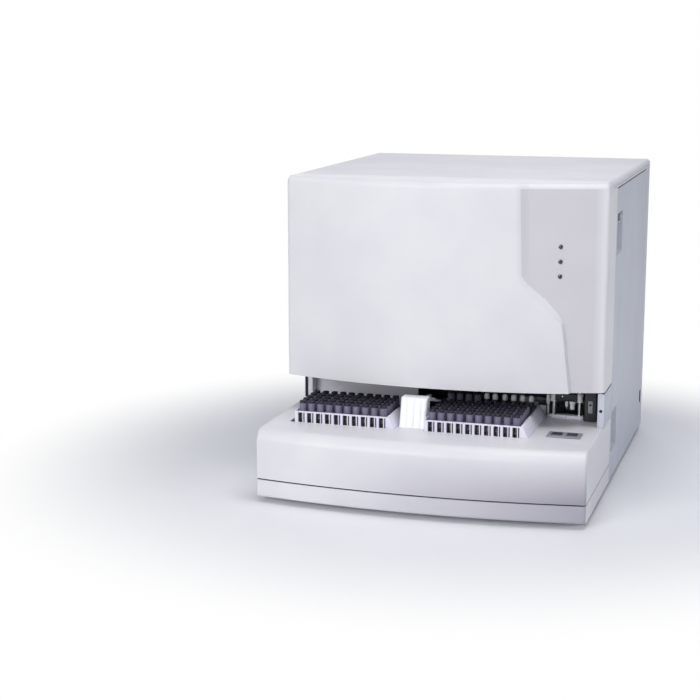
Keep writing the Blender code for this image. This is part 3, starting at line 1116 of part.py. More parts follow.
def fan():
    """The exhaust fan inside the rear shell: a frame with a spider, and the rotor."""
    back, half, arm = REAR_Y - SIDE_THICKNESS - FIT_GAP, FAN_SIZE / 2, FAN_SPIDER / 2
    front = back - FAN_DEPTH
    spider_back = front + FAN_SPIDER_DEPTH
    reach = (FAN_BORE_RADIUS + half) / 2
    body = box((FAN_X - half, front, FAN_Z - half), (FAN_X + half, back, FAN_Z + half))
    bore = rod((FAN_X, front - OVERRUN, FAN_Z), (FAN_X, back + OVERRUN, FAN_Z), FAN_BORE_RADIUS, FINE_SIDES)
    level = box((FAN_X - reach, front, FAN_Z - arm), (FAN_X + reach, spider_back, FAN_Z + arm))
    upright = box((FAN_X - arm, front, FAN_Z - reach), (FAN_X + arm, spider_back, FAN_Z + reach))
    motor = rod((FAN_X, front, FAN_Z), (FAN_X, spider_back, FAN_Z), FAN_HUB_RADIUS)
    piece("fan_frame", body, DARK_PLASTIC, cut(bore), join(level, upright, motor))
    near, far = spider_back + FIT_GAP, back - FIT_GAP
    hub = rod((FAN_X, near, FAN_Z), (FAN_X, far, FAN_Z), FAN_HUB_RADIUS)
    blades = []
    for number in range(FAN_BLADES):
        angle = math.tau * number / FAN_BLADES
        out = Vector((math.cos(angle), 0, math.sin(angle)))
        aside = Vector((-math.sin(angle), 0, math.cos(angle)))
        rings = []
        for y, shift in ((near + FIT_GAP, -FAN_BLADE_SWEEP), (far - FIT_GAP, FAN_BLADE_SWEEP)):
            middle = Vector((FAN_X, y, FAN_Z)) + aside * shift
            low, high = middle + out * (FAN_HUB_RADIUS - FAN_SPIDER), middle + out * FAN_TIP_RADIUS
            thick = aside * FAN_BLADE_THICKNESS / 2
            rings.append([low - thick, high - thick, high + thick, low + thick])
        blades.append(loft(*rings))
    piece("fan_rotor", hub, DARK_PLASTIC, join(group(*blades)), origin=(FAN_X, near, FAN_Z))


def power_inlet():
    back = REAR_Y - SIDE_THICKNESS - FIT_GAP
    half_x, half_z, front = INLET_WIDTH / 2, INLET_HEIGHT / 2, back - INLET_DEPTH
    body = box((INLET_X - half_x, front, INLET_Z - half_z), (INLET_X + half_x, REAR_Y, INLET_Z + half_z))
    flange = box((INLET_X - half_x - INLET_FLANGE, back - INLET_FLANGE, INLET_Z - half_z + INLET_WALL),
                 (INLET_X + half_x + INLET_FLANGE, back, INLET_Z + half_z - INLET_WALL))
    socket = box((INLET_X - half_x + INLET_WALL, front + INLET_WALL, INLET_Z - half_z + INLET_WALL),
                 (INLET_X + half_x - INLET_WALL, REAR_Y + OVERRUN, INLET_Z + half_z - INLET_WALL))
    low, high = INLET_Z - INLET_PIN_WIDTH, INLET_Z + INLET_PIN_WIDTH
    places = ((INLET_X - INLET_PIN_PITCH, low), (INLET_X, high), (INLET_X + INLET_PIN_PITCH, low))
    pins = group(*(
        box((x - INLET_PIN_WIDTH / 2, front + INLET_WALL / 2, z - INLET_PIN_WIDTH),
            (x + INLET_PIN_WIDTH / 2, front + INLET_WALL + INLET_PIN_LENGTH, z + INLET_PIN_WIDTH))
        for x, z in places))
    piece("power_inlet", body, DARK_PLASTIC, join(flange), cut(socket), join(pins))


def fluid_port_plate():
    """A dished plate behind an opening in the rear shell, with four hose ports."""
    back = REAR_Y - SIDE_THICKNESS - FIT_GAP
    floor = back - PORT_PLATE_RECESS
    half_x, half_z = PORT_PLATE_LENGTH / 2, PORT_PLATE_HEIGHT / 2
    first = PORT_X - PORT_PITCH * (PORT_COUNT - 1) / 2
    dish = box((PORT_X - half_x, floor - PORT_PLATE_THICKNESS, PORT_Z - half_z),
               (PORT_X + half_x, back, PORT_Z + half_z))
    well = box((PORT_X - half_x + WALL, floor, PORT_Z - half_z + WALL),
               (PORT_X + half_x - WALL, back + OVERRUN, PORT_Z + half_z - WALL))
    ports = group(*(
        rod((x, floor - PORT_PLATE_THICKNESS / 2, PORT_Z), (x, floor + PORT_LENGTH, PORT_Z),
            PORT_RADIUS, SMALL_SIDES)
        for x in (first + number * PORT_PITCH for number in range(PORT_COUNT))))
    piece("fluid_port_plate", dish, SHEET_METAL, cut(well), join(ports))


def build():
    for name, x, y in (
        ("foot_front_left", -HALF + FOOT_INSET_X, BASE_CORNER_Y + FOOT_INSET_FRONT),
        ("foot_front_right", HALF - FOOT_INSET_X, BASE_CORNER_Y + FOOT_INSET_FRONT),
        ("foot_rear_left", -HALF + FOOT_INSET_X, REAR_Y - FOOT_INSET_REAR),
        ("foot_rear_right", HALF - FOOT_INSET_X, REAR_Y - FOOT_INSET_REAR),
    ):
        foot(name, x, y)
    base_plinth()
    deck_cover()
    front_cover()
    indicators()
    top_lid()
    hinge_rod()
    side_panel("left_side_panel", -1, (0, 0, 0))
    side_panel("right_side_door", 1, (HALF, SIDE_REAR_Y, 0))
    rear_shell()
    power_rocker()
    feed_deck()
    tray("tray_left", TRAY_LEFT_X)
    tray("tray_right", TRAY_RIGHT_X)
    racks()
    lane_guide_rail()
    pushers()
    barcode_reader()
    bay_liner()
    right_pillar()
    keys()
    chassis_frame()
    fluidics_bulkhead()
    open_station()
    closed_station()
    syringes()
    pump()
    valves()
    rear_units()
    fan()
    power_inlet()
    fluid_port_plate()


build()
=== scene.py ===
# %% [markdown]
# A hematology analyzer with a front loading bay. Blood tubes stand in racks on the deck, and the sampling
# gear works behind and above them under a bowed front cover. The CAD frame gives every place and every
# moving body. This lesson dresses that frame: shells with soft edges, tubes, trays, fittings and finishes.

import math

import bmesh
import bpy
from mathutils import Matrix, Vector


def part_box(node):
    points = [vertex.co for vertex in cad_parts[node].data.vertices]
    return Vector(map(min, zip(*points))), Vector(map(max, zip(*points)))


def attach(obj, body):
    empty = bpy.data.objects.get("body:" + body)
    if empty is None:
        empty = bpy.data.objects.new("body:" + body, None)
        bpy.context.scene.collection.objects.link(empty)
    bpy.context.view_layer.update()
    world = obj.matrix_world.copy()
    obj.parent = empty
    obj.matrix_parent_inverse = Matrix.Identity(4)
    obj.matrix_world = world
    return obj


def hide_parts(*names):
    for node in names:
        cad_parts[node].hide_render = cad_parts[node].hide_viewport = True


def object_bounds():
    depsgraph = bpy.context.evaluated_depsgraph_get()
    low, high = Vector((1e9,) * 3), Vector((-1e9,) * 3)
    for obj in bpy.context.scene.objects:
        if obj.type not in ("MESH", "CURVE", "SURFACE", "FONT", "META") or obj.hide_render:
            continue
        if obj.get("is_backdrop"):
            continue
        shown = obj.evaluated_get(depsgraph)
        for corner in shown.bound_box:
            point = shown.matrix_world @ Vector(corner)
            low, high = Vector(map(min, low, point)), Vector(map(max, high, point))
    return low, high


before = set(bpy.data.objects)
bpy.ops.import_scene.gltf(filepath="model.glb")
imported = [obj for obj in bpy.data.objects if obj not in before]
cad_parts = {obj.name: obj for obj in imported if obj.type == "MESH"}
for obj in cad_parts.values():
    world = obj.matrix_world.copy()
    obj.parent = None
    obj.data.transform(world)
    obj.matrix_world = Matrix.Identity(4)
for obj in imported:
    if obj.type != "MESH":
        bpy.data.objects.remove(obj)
CAD_LOW, CAD_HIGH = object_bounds()
print("CAD box", [round(value, 4) for value in (*CAD_LOW, *CAD_HIGH)])

# %% [markdown]
# The camera stands to the right of the analyzer and a little above it, with a long lens, so that the edges
# stay nearly parallel as they do in a product photograph.

# %% Camera
CAMERA_PLACE = (0.801, -3.521, 0.977)
CAMERA_TURN = 0.297
CAMERA_DIP = 0.195
CAMERA_LENS = 82.45
lens = bpy.data.cameras.new("camera")
lens.lens = CAMERA_LENS
lens.sensor_width = 36
camera = bpy.data.objects.new("camera", lens)
camera.location = CAMERA_PLACE
camera.rotation_euler = (math.pi / 2 - CAMERA_DIP, 0, CAMERA_TURN)
bpy.context.scene.collection.objects.link(camera)
bpy.context.scene.camera = camera
bpy.context.scene.view_settings.view_transform = "Standard"


# %% [markdown]
# Colours are easiest to choose as they look on a screen, from 0 to 255, but shaders work with linear light.
# This helper turns one into the other.

# %% Screen colours to linear light
def screen(red, green, blue):
    """A linear colour from screen values between 0 and 255."""
    def linear(value):
        share = value / 255
        return share / 12.92 if share <= 0.04045 else ((share + 0.055) / 1.055) ** 2.4
    return (linear(red), linear(green), linear(blue), 1.0)


# %% [markdown]
# Materials are trees of small nodes. One helper makes a node, sets it up and wires it, so that a finish
# reads as a short list of steps. What goes into a node is a value, or what comes out of a node before it.

# %% Wire a node
def wired(tree, kind, inputs=None, **settings):
    """A new node in a tree, with its settings and with values or links for its inputs."""
    made = tree.nodes.new(kind)
    for name, value in settings.items():
        setattr(made, name, value)
    for key, value in (inputs or {}).items():
        if isinstance(value, bpy.types.NodeSocket):
            tree.links.new(value, made.inputs[key])
        else:
            made.inputs[key].default_value = value
    return made


def start_finish(name, roughness, metallic=0.0):
    """A new material with its tree and its shader."""
    made = bpy.data.materials.new(name)
    made.use_nodes = True
    shader = made.node_tree.nodes["Principled BSDF"]
    shader.inputs["Roughness"].default_value = roughness
    shader.inputs["Metallic"].default_value = metallic
    return made, made.node_tree, shader


# %% [markdown]
# The stage is a pale floor under a white sky. Two large soft lamps stand in front and above, the stronger
# on the left, so that the right-hand side of the casing falls into a soft bluish shade. Away from the
# analyzer the floor fades into the white behind it, and near it the floor keeps the shadow.

# %% Floor
FADE_START, FADE_END = 0.62, 1.15


def floor_finish():
    made, tree, paint = start_finish("pale_floor", 0.7)
    place = wired(tree, "ShaderNodeTexCoord").outputs["Object"]
    grain = wired(tree, "ShaderNodeTexNoise", {"Vector": place, "Scale": 6})
    tint = wired(tree, "ShaderNodeMix",
        {"Factor": grain.outputs["Fac"], "A": screen(244, 245, 248), "B": screen(240, 241, 245)},
        data_type="RGBA")
    tree.links.new(tint.outputs["Result"], paint.inputs["Base Color"])
    reach = wired(tree, "ShaderNodeVectorMath", {0: place}, operation="LENGTH")
    fade = wired(tree, "ShaderNodeMapRange",
        {"Value": reach.outputs["Value"], "From Min": FADE_START, "From Max": FADE_END},
        interpolation_type="SMOOTHSTEP")
    rays = wired(tree, "ShaderNodeLightPath").outputs
    seen = rays["Is Camera Ray"]
    for kind in ("Is Glossy Ray", "Is Transmission Ray"):
        seen = wired(tree, "ShaderNodeMath", {0: seen, 1: rays[kind]}, operation="MAXIMUM").outputs[0]
    share = wired(tree, "ShaderNodeMath", {0: seen, 1: fade.outputs["Result"]}, operation="MULTIPLY")
    white = wired(tree, "ShaderNodeEmission")
    blend = wired(tree, "ShaderNodeMixShader",
        {0: share.outputs[0], 1: paint.outputs[0], 2: white.outputs[0]})
    tree.links.new(blend.outputs[0], tree.nodes["Material Output"].inputs["Surface"])
    return made


bpy.ops.mesh.primitive_grid_add(x_subdivisions=8, y_subdivisions=8, size=40, location=(0, 0, 0))
floor = bpy.context.object
floor.name = "floor"
floor.data.materials.append(floor_finish())
floor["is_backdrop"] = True

# %% [markdown]
# The sky is white where the camera or a clear piece looks at it. For everything else it is a weak blue that
# fills the shadows, so that it doesn't wash out the colours. The two large lamps and two weaker fill lamps do
# the rest.

# %% Sky and lamps
world = bpy.data.worlds.new("studio")
bpy.context.scene.world = world
world.use_nodes = True
sky = world.node_tree
fill = sky.nodes["Background"]
fill.inputs["Color"].default_value = (0.9, 0.93, 1, 1)
fill.inputs["Strength"].default_value = 0.3
backdrop = wired(sky, "ShaderNodeBackground", {"Color": (1, 1, 1, 1)})
sky_rays = wired(sky, "ShaderNodeLightPath").outputs
sky_seen = wired(sky, "ShaderNodeMath", {0: sky_rays["Is Camera Ray"], 1: sky_rays["Is Transmission Ray"]},
    operation="MAXIMUM")
sky_mix = wired(sky, "ShaderNodeMixShader",
    {0: sky_seen.outputs[0], 1: fill.outputs[0], 2: backdrop.outputs[0]})
sky.links.new(sky_mix.outputs[0], sky.nodes["World Output"].inputs["Surface"])


def soft_lamp(name, place, target, size, power, colour):
    """A square lamp that faces a target."""
    lamp = bpy.data.lights.new(name, "AREA")
    lamp.size = size
    lamp.energy = power
    lamp.color = colour
    made = bpy.data.objects.new(name, lamp)
    made.location = place
    made.rotation_euler = (Vector(target) - Vector(place)).to_track_quat("-Z", "Y").to_euler()
    bpy.context.scene.collection.objects.link(made)


soft_lamp("front_left_lamp", (-1.3, -3.9, 1.35), (0, -0.2, 0.3), 1.8, 70, (1, 0.995, 0.985))
soft_lamp("overhead_lamp", (0.5, -0.6, 3), (0.1, 0, 0.3), 1.8, 37, (0.99, 0.99, 1))
soft_lamp("right_fill_lamp", (3.2, -1.4, 1.3), (0.2, 0, 0.3), 1.6, 15, (0.96, 0.97, 1))
soft_lamp("rear_fill_lamp", (-1, 3.6, 2.2), (0, 0.4, 0.35), 2.2, 20, (0.95, 0.97, 1))


# %% [markdown]
# Most of the analyzer is moulded plastic or coated steel. From a step away these look plain, but close by
# they have a fine grain, a faint cloudiness and uneven gloss. One helper builds them all from noise on
# Object coordinates, which stay fixed to the piece. Constants stay on the shader's own sockets.

# %% Patterns for finishes
def object_place(tree, scale=(1, 1, 1)):
    """Object coordinates, stretched where a pattern has a direction."""
    place = wired(tree, "ShaderNodeTexCoord")
    mapped = wired(tree, "ShaderNodeMapping", {"Vector": place.outputs["Object"], "Scale": scale})
    return mapped.outputs["Vector"]


def noise(tree, vector, scale, detail=2.0, rough=0.5):
    return wired(tree, "ShaderNodeTexNoise",
        {"Vector": vector, "Scale": scale, "Detail": detail, "Roughness": rough}).outputs["Fac"]


def spread(tree, value, low, high, near=0.3, far=0.7):
    """Maps the middle of a pattern to a range."""
    return wired(tree, "ShaderNodeMapRange",
        {"Value": value, "From Min": near, "From Max": far, "To Min": low, "To Max": high}).outputs["Result"]


def two_tone(tree, factor, first, second):
    mixed = wired(tree, "ShaderNodeMix", {"Factor": factor, "A": first, "B": second}, data_type="RGBA")
    return mixed.outputs["Result"]


def dents(tree, shader, height, strength, depth):
    bump = wired(tree, "ShaderNodeBump", {"Height": height, "Strength": strength, "Distance": depth})
    tree.links.new(bump.outputs["Normal"], shader.inputs["Normal"])


def painted(tree, shader, tone, gloss):
    tree.links.new(tone, shader.inputs["Base Color"])
    tree.links.new(gloss, shader.inputs["Roughness"])


def faded(tree, place, tone, end, ramps):
    """Blends a tone into an end colour by the product of two ramps, each along one object coordinate."""
    axes = wired(tree, "ShaderNodeSeparateXYZ", {0: place}).outputs
    shares = {i: spread(tree, axes[axis], low, high, near, far)
        for i, (axis, near, far, low, high) in enumerate(ramps)}
    share = wired(tree, "ShaderNodeMath", shares, operation="MULTIPLY", use_clamp=True)
    return two_tone(tree, share.outputs[0], tone, screen(*end))


def grained(name, colour, shade, roughness, grain, depth, cloud=7, metallic=0.0, stretch=(1, 1, 1),
            gloss_spread=0.07, coat=0.0, fade=None):
    """A plain finish with a fine grain, cloudy colour between two tones, and uneven gloss."""
    made, tree, shader = start_finish(name, roughness, metallic)
    if coat:
        shader.inputs["Coat Weight"].default_value = coat
        shader.inputs["Coat Roughness"].default_value = 0.12
    place = object_place(tree)
    fine = noise(tree, object_place(tree, stretch), grain, 2.0, 0.6)
    tone = two_tone(tree, spread(tree, noise(tree, place, cloud, 4.0), 0, 1), screen(*colour),
        screen(*shade))
    if fade:
        tone = faded(tree, place, tone, *fade)
    painted(tree, shader, tone, spread(tree, fine, roughness - gloss_spread, roughness + gloss_spread))
    dents(tree, shader, fine, 0.35, depth)
    return made


# %% [markdown]
# Each colour is given as a screen shows it, with a second one that clouds it softly. Three coats of the
# casing carry painted shade: the low base darkens towards the bottom and the right, and the panel right of
# the step is darker, fading back near the corner, as the light falls off to the right.

# %% Plain coated and moulded finishes
PAINT, PAINT_CLOUD = (229, 228, 232), (222, 221, 227)
# Painted shade: the low base fades into this darker tone towards the bottom and the right.
LOW_PAINTED_SHADE, RIGHTWARD_SHADE_RAMP = (160, 157, 170), ("X", -0.24, 0.35, 0, 2.46)
STEP_SHADE_RAMPS = (("X", 0.322, 0.346, 0, 1), ("Y", -1, 0, 1, 1))
BASE_SHADE_RAMPS = (("Z", 0.145, -0.06, 0, 1), RIGHTWARD_SHADE_RAMP)
PLINTH_SHADE_RAMPS = (("Z", -1, 1, 0.36, 0.36), RIGHTWARD_SHADE_RAMP)
CASING = grained("casing_paint", PAINT, PAINT_CLOUD, 0.42, 1100, 0.00005)
LID_PAINT = grained("lid_paint", PAINT, PAINT_CLOUD, 0.6, 1100, 0.00005)
# Painted shade: the panel right of the step is darker, and fades back to the plain paint near the corner.
STEP_PAINTED_SHADE = grained("casing_painted_shade_right", (211, 209, 214), (206, 204, 209), 0.42, 1100, 0.00005,
    fade=(PAINT, STEP_SHADE_RAMPS))
BASE_PAINTED_SHADE = grained("casing_painted_shade_low", PAINT, PAINT_CLOUD, 0.42, 1100, 0.00005,
    fade=(LOW_PAINTED_SHADE, BASE_SHADE_RAMPS))
# Painted shade on the plinth's front, darker towards the right.
PLINTH_PAINTED_SHADE = grained("casing_painted_shade_plinth", PAINT, PAINT_CLOUD, 0.42, 1100, 0.00005,
    fade=(LOW_PAINTED_SHADE, PLINTH_SHADE_RAMPS))
PANEL = grained("panel_powder_coat", (205, 209, 220), (197, 201, 213), 0.5, 650, 0.00009)
# Painted light: the bay liner is paler than the panels, to make up for the shade under the cover.
BAY_PANEL_PAINTED_LIGHT = grained("inner_panel_painted_light", (238, 238, 245), (230, 231, 238), 0.5, 700, 0.00008)
TRAY_WHITE = grained("tray_plastic", (234, 231, 243), (226, 224, 238), 0.36, 1400, 0.00003)
RACK_GREY = grained("rack_plastic", (92, 88, 104), (80, 77, 94), 0.5, 1500, 0.00005)
READER_WHITE = grained("reader_plastic", (245, 245, 250), (239, 240, 246), 0.3, 1500, 0.00002)
DARK = grained("dark_plastic", (44, 43, 49), (36, 35, 41), 0.45, 1300, 0.00006)
BLACK = grained("black_anodised", (30, 30, 34), (24, 24, 27), 0.38, 1600, 0.00003)
KEY_GREY = grained("key_plate_grey", (150, 152, 163), (140, 142, 154), 0.42, 1300, 0.00004)
# Painted shade: the grip cups are a touch darker than the panel, as the recess would be in shade.
GRIP_CUP_SHADE = grained("grip_cup_painted_shade", (204, 206, 214), (196, 198, 207), 0.48, 900, 0.00006)
KEY_DARK = grained("key_cap_plastic", (62, 62, 72), (52, 52, 62), 0.38, 1500, 0.00003)
RUBBER = grained("rubber", (38, 38, 39), (30, 30, 31), 0.8, 900, 0.00015)
NYLON = grained("nylon", (240, 240, 240), (230, 230, 231), 0.4, 1200, 0.00003)
VIAL_WHITE = grained("vial_cap", (250, 250, 254), (243, 243, 248), 0.35, 1300, 0.00003)
PUMP_GREY = grained("pump_housing", (104, 112, 126), (94, 102, 117), 0.42, 900, 0.00006)
CAP_HEAD = grained("cap_head", (32, 28, 44), (24, 21, 34), 0.42, 1500, 0.00004, cloud=60)
CAP_SKIRT = grained("cap_skirt", (122, 116, 140), (106, 101, 126), 0.42, 1500, 0.00004, cloud=60)
LABEL = grained("label_paper", (196, 194, 200), (180, 178, 186), 0.75, 2200, 0.00004, cloud=90)
TAN = grained("ceramic", (186, 160, 118), (170, 146, 106), 0.5, 1600, 0.00002)
print("plain finishes made")

# %% [markdown]
# Metal needs direction: a drawn rod or a brushed plate is scratched one way, so its noise is stretched
# along one axis. Zinc-coated sheet has crystals instead, which a cell pattern gives. Chrome is smooth with
# faint rings.

# %% Metals
BRUSHED_X = grained("brushed_steel", (196, 198, 204), (184, 187, 194), 0.3, 420, 0.00004, metallic=1.0,
    stretch=(0.04, 1, 1), gloss_spread=0.1)
BRUSHED_Z = grained("drawn_steel", (200, 202, 207), (186, 189, 196), 0.26, 420, 0.00003, metallic=1.0,
    stretch=(1, 1, 0.04), gloss_spread=0.1)
CHROME = grained("chrome", (226, 228, 232), (216, 219, 224), 0.1, 260, 0.00001, metallic=1.0,
    stretch=(0.1, 0.1, 3), gloss_spread=0.04)
BRASS = grained("brass", (206, 176, 106), (188, 158, 92), 0.3, 700, 0.00002, metallic=1.0)
COPPER = grained("tinned_copper", (214, 176, 132), (202, 160, 116), 0.28, 900, 0.00001, metallic=1.0)


def zinc_sheet():
    made, tree, shader = start_finish("zinc_sheet", 0.42, 0.9)
    place = object_place(tree)
    crystals = wired(tree, "ShaderNodeTexVoronoi", {"Vector": place, "Scale": 95})
    grey = wired(tree, "ShaderNodeRGBToBW", {"Color": crystals.outputs["Color"]}).outputs["Val"]
    tone = two_tone(tree, grey, screen(172, 176, 182), screen(194, 197, 202))
    painted(tree, shader, tone, spread(tree, grey, 0.34, 0.52, 0.0, 1.0))
    dents(tree, shader, noise(tree, place, 500), 0.3, 0.00004)
    return made


ZINC = zinc_sheet()


def solder_mask():
    """A green lacquer over tracks, which stand up as thin lighter lines."""
    made, tree, shader = start_finish("solder_mask", 0.34)
    place = wired(tree, "ShaderNodeTexCoord").outputs["Object"]
    axes = wired(tree, "ShaderNodeSeparateXYZ", {0: place}).outputs
    flat = wired(tree, "ShaderNodeCombineXYZ", {"X": axes["Y"], "Y": axes["Z"]})
    bricks = wired(tree, "ShaderNodeTexBrick", {"Vector": flat.outputs[0], "Scale": 60,
            "Mortar Size": 0.035, "Mortar Smooth": 0.2, "Row Height": 0.17, "Brick Width": 1.3})
    tracks = bricks.outputs["Fac"]
    painted(tree, shader, two_tone(tree, tracks, screen(22, 84, 52), screen(48, 122, 76)),
        spread(tree, noise(tree, place, 120, 3.0), 0.26, 0.42))
    dents(tree, shader, tracks, 0.5, 0.00006)
    return made


BOARD = solder_mask()

# %% [markdown]
# Glass and clear plastic let light through. Blood in a tube is almost black until light comes from behind, so
# it gets a deep red with a gloss. The lenses of the indicator lamps are dark while they are off.

# %% Clear and glossy finishes
def clear(name, tint, roughness):
    made, tree, shader = start_finish(name, roughness)
    shader.inputs["IOR"].default_value = 1.49
    shader.inputs["Transmission Weight"].default_value = 0.92
    place = object_place(tree)
    smear = noise(tree, place, 40, 3.0)
    painted(tree, shader, two_tone(tree, smear, screen(*tint), screen(255, 255, 255)),
        spread(tree, smear, roughness, roughness + 0.06))
    dents(tree, shader, noise(tree, place, 300), 0.1, 0.00002)
    return made


GLASS = clear("tube_glass", (226, 232, 236), 0.03)
CLEAR = clear("clear_plastic", (222, 230, 238), 0.06)
HOSE = grained("silicone_hose", (226, 226, 218), (212, 213, 206), 0.34, 900, 0.00001, cloud=60, coat=0.3)
BLOOD = grained("blood", (96, 14, 16), (70, 8, 12), 0.12, 600, 0.00001, cloud=120, coat=0.6)
LENS = grained("dark_lens", (26, 24, 34), (18, 17, 24), 0.1, 900, 0.00001, cloud=60, coat=0.8)
WINDOW = grained("scan_window", (70, 12, 18), (50, 8, 14), 0.08, 900, 0.00001, coat=0.8)
print("materials", len(bpy.data.materials))


# %% [markdown]
# Every piece goes through one door: a mesh is cleaned, its faces are turned outwards, curved faces shade
# smooth and corners stay crisp, and it is tied to the body that it moves with. Names tell what the piece
# is.

# %% Make a piece
def add(shape, other, index=0):
    """Copies one bmesh into another, with a material number."""
    copied = {vert: shape.verts.new(vert.co) for vert in other.verts}
    for face in other.faces:
        made = shape.faces.new([copied[vert] for vert in face.verts])
        made.material_index = index
    other.free()
    return shape


def gather(*parts):
    """Joins bmeshes into one. A part may be a pair of bmesh and material number."""
    made = bmesh.new()
    for part in parts:
        other, index = part if isinstance(part, tuple) else (part, 0)
        add(made, other, index)
    return made


def finish_piece(made, body, replaces=(), angle=38):
    made.data.polygons.foreach_set("use_smooth", [True] * len(made.data.polygons))
    made.data.set_sharp_from_angle(angle=math.radians(angle))
    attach(made, body)
    if replaces:
        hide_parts(*replaces)
    return made


MERGE_GAP = 0.000005


def piece(name, shape, finishes, replaces=(), body="casing", angle=38, bevel=0.0):
    """One finished object from a bmesh."""
    bmesh.ops.remove_doubles(shape, verts=shape.verts, dist=MERGE_GAP)
    bmesh.ops.recalc_face_normals(shape, faces=shape.faces)
    if bevel:
        soften(shape, bevel)
    data = bpy.data.meshes.new(name)
    shape.to_mesh(data)
    shape.free()
    for finish in finishes if isinstance(finishes, (list, tuple)) else [finishes]:
        data.materials.append(finish)
    made = bpy.data.objects.new(name, data)
    bpy.context.scene.collection.objects.link(made)
    return finish_piece(made, body, replaces, angle)


def shade_faces(made, finish, chosen):
    """Gives a second finish to the faces of a piece that a test on middle and normal picks."""
    made.data.materials.append(finish)
    for face in made.data.polygons:
        if chosen(face.center, face.normal):
            face.material_index = len(made.data.materials) - 1


# %% [markdown]
# A few shapes come back often: a box with softened edges, a turned part, a rod, a bent tube and an outline
# that is pushed along an axis. Real edges are never razor sharp, so the box is softened by default.

# %% Shape helpers
UP = (0, 0, 1)
FRONT, BACK = (0, -1, 0), (0, 1, 0)
RIGHT, LEFT = (1, 0, 0), (-1, 0, 0)


def mm(*pairs):
    """Pairs of millimetres as pairs of metres."""
    return [(first / 1000, second / 1000) for first, second in pairs]


def quarter(steps, first=0):
    """The angles of a quarter turn, both ends included, or from a later step on."""
    return [math.pi / 2 * step / steps for step in range(first, steps + 1)]


def lofted(rings):
    """A closed shape through rings that have the same number of points."""
    made = bmesh.new()
    rows = [[made.verts.new(point) for point in ring] for ring in rings]
    for near, far in zip(rows, rows[1:]):
        for i in range(len(near)):
            j = (i + 1) % len(near)
            made.faces.new((near[i], near[j], far[j], far[i]))
    made.faces.new(rows[0])
    made.faces.new(rows[-1])
    return made


def rounded(x, z, half_x, half_z, radius, steps=6):
    """The outline of a rectangle with rounded corners, round a centre."""
    corners = ((1, 1, 0), (-1, 1, math.pi / 2), (-1, -1, math.pi), (1, -1, -math.pi / 2))
    return [(x + side_x * (half_x - radius) + radius * math.cos(start + turn),
            z + side_z * (half_z - radius) + radius * math.sin(start + turn))
        for side_x, side_z, start in corners for turn in quarter(steps)]


def soften(shape, width, segments=2, least=30):
    """Bevels every edge whose faces meet at more than a least angle."""
    edges = [edge for edge in shape.edges if len(edge.link_faces) == 2
        and edge.calc_face_angle(0) > math.radians(least)]
    bmesh.ops.bevel(shape, geom=edges, offset=width, offset_type="OFFSET", segments=segments, profile=0.5,
        affect="EDGES", clamp_overlap=True)
    return shape


def block(low, high, edge=0.0005, segments=2):
    """A box between two corners, with softened edges."""
    made = bmesh.new()
    low, high = Vector(low), Vector(high)
    for vert in bmesh.ops.create_cube(made, size=1)["verts"]:
        vert.co = Vector([near + (at + 0.5) * (far - near) for near, far, at in zip(low, high, vert.co)])
    if edge:
        bmesh.ops.bevel(made, geom=made.edges[:], offset=edge, segments=segments, profile=0.5,
            affect="EDGES")
    return made


def at(place, x=0, y=0, z=0):
    """A place some millimetres away from another."""
    return tuple(value + shift / 1000 for value, shift in zip(place, (x, y, z)))


# how far a cutting tool reaches past a face
PAST = 0.01


def inside(box, x, y, z, edge=0.0005, segments=2):
    """A block within a box. Each axis has a start and an end in millimetres from its low side, or from
    its high side where the measure is negative. Zero is the side itself, and None lies past it."""
    spans = [((low - PAST) if start is None else (low if start >= 0 else high) + start / 1000, (high + PAST)
            if end is None else (low if end > 0 else high) + end / 1000)
        for low, high, (start, end) in zip(*box, (x, y, z))]
    return block(*zip(*spans), edge, segments)


def turned(profile, start=(0, 0, 0), along=UP, sides=32):
    """A part turned on a lathe, from pairs of radius and height. A profile that ends where it starts
    is a ring."""
    made = bmesh.new()
    closed = (Vector(profile[0]) - Vector(profile[-1])).length < 1e-6
    facing = Vector(along).to_track_quat("Z", "Y").to_matrix()
    turns = [math.tau * side / sides for side in range(sides)]
    rings = []
    for radius, height in profile:
        points = [(radius * math.cos(turn), radius * math.sin(turn), height) for turn in turns]
        if radius < 1e-7:
            points = [(0, 0, height)]
        rings.append([made.verts.new(Vector(start) + facing @ Vector(point)) for point in points])
    if closed:
        for vert in rings.pop():
            made.verts.remove(vert)
        rings.append(rings[0])
    for near, far in zip(rings, rings[1:]):
        for side in range(sides):
            other = (side + 1) % sides
            corners = [near[side % len(near)], near[other % len(near)], far[other % len(far)],
                far[side % len(far)]]
            corners = list(dict.fromkeys(corners))
            if len(corners) > 2:
                made.faces.new(corners)
    for ring in () if closed else (rings[0], rings[-1]):
        if len(ring) > 2:
            made.faces.new(ring)
    return made


def rod(start, end, radius, sides=24, edge=0.0003):
    """A rod between two points, with softened ends."""
    length = (Vector(end) - Vector(start)).length
    edge = min(edge, radius * 0.4, length * 0.4)
    profile = [(radius - edge, 0), (radius, edge), (radius, length - edge), (radius - edge, length)]
    return turned([(0, 0), *profile, (0, length)], start, Vector(end) - Vector(start), sides)


def screw(place, along, radius=0.003, rise=0.0016, sides=24):
    """A pan-head screw with a cross recess, whose head stands on a surface."""
    dome = [(radius * math.cos(turn), rise * (0.35 + 0.65 * math.sin(turn))) for turn in quarter(6)[:-1]]
    head = turned([(0, -rise), (radius, -rise), *dome, (radius * 0.2, rise)], sides=sides)
    slots = [block((-radius * 0.62, -radius * 0.11, rise * 0.45), (radius * 0.62, radius * 0.11, rise * 2),
            0),
        block((-radius * 0.11, -radius * 0.62, rise * 0.45), (radius * 0.11, radius * 0.62, rise * 2), 0)]
    made = carved(head, slots[0], slots[1])
    facing = Vector(along).to_track_quat("Z", "Y").to_matrix().to_4x4()
    facing.translation = place
    bmesh.ops.transform(made, matrix=facing, verts=made.verts)
    return made


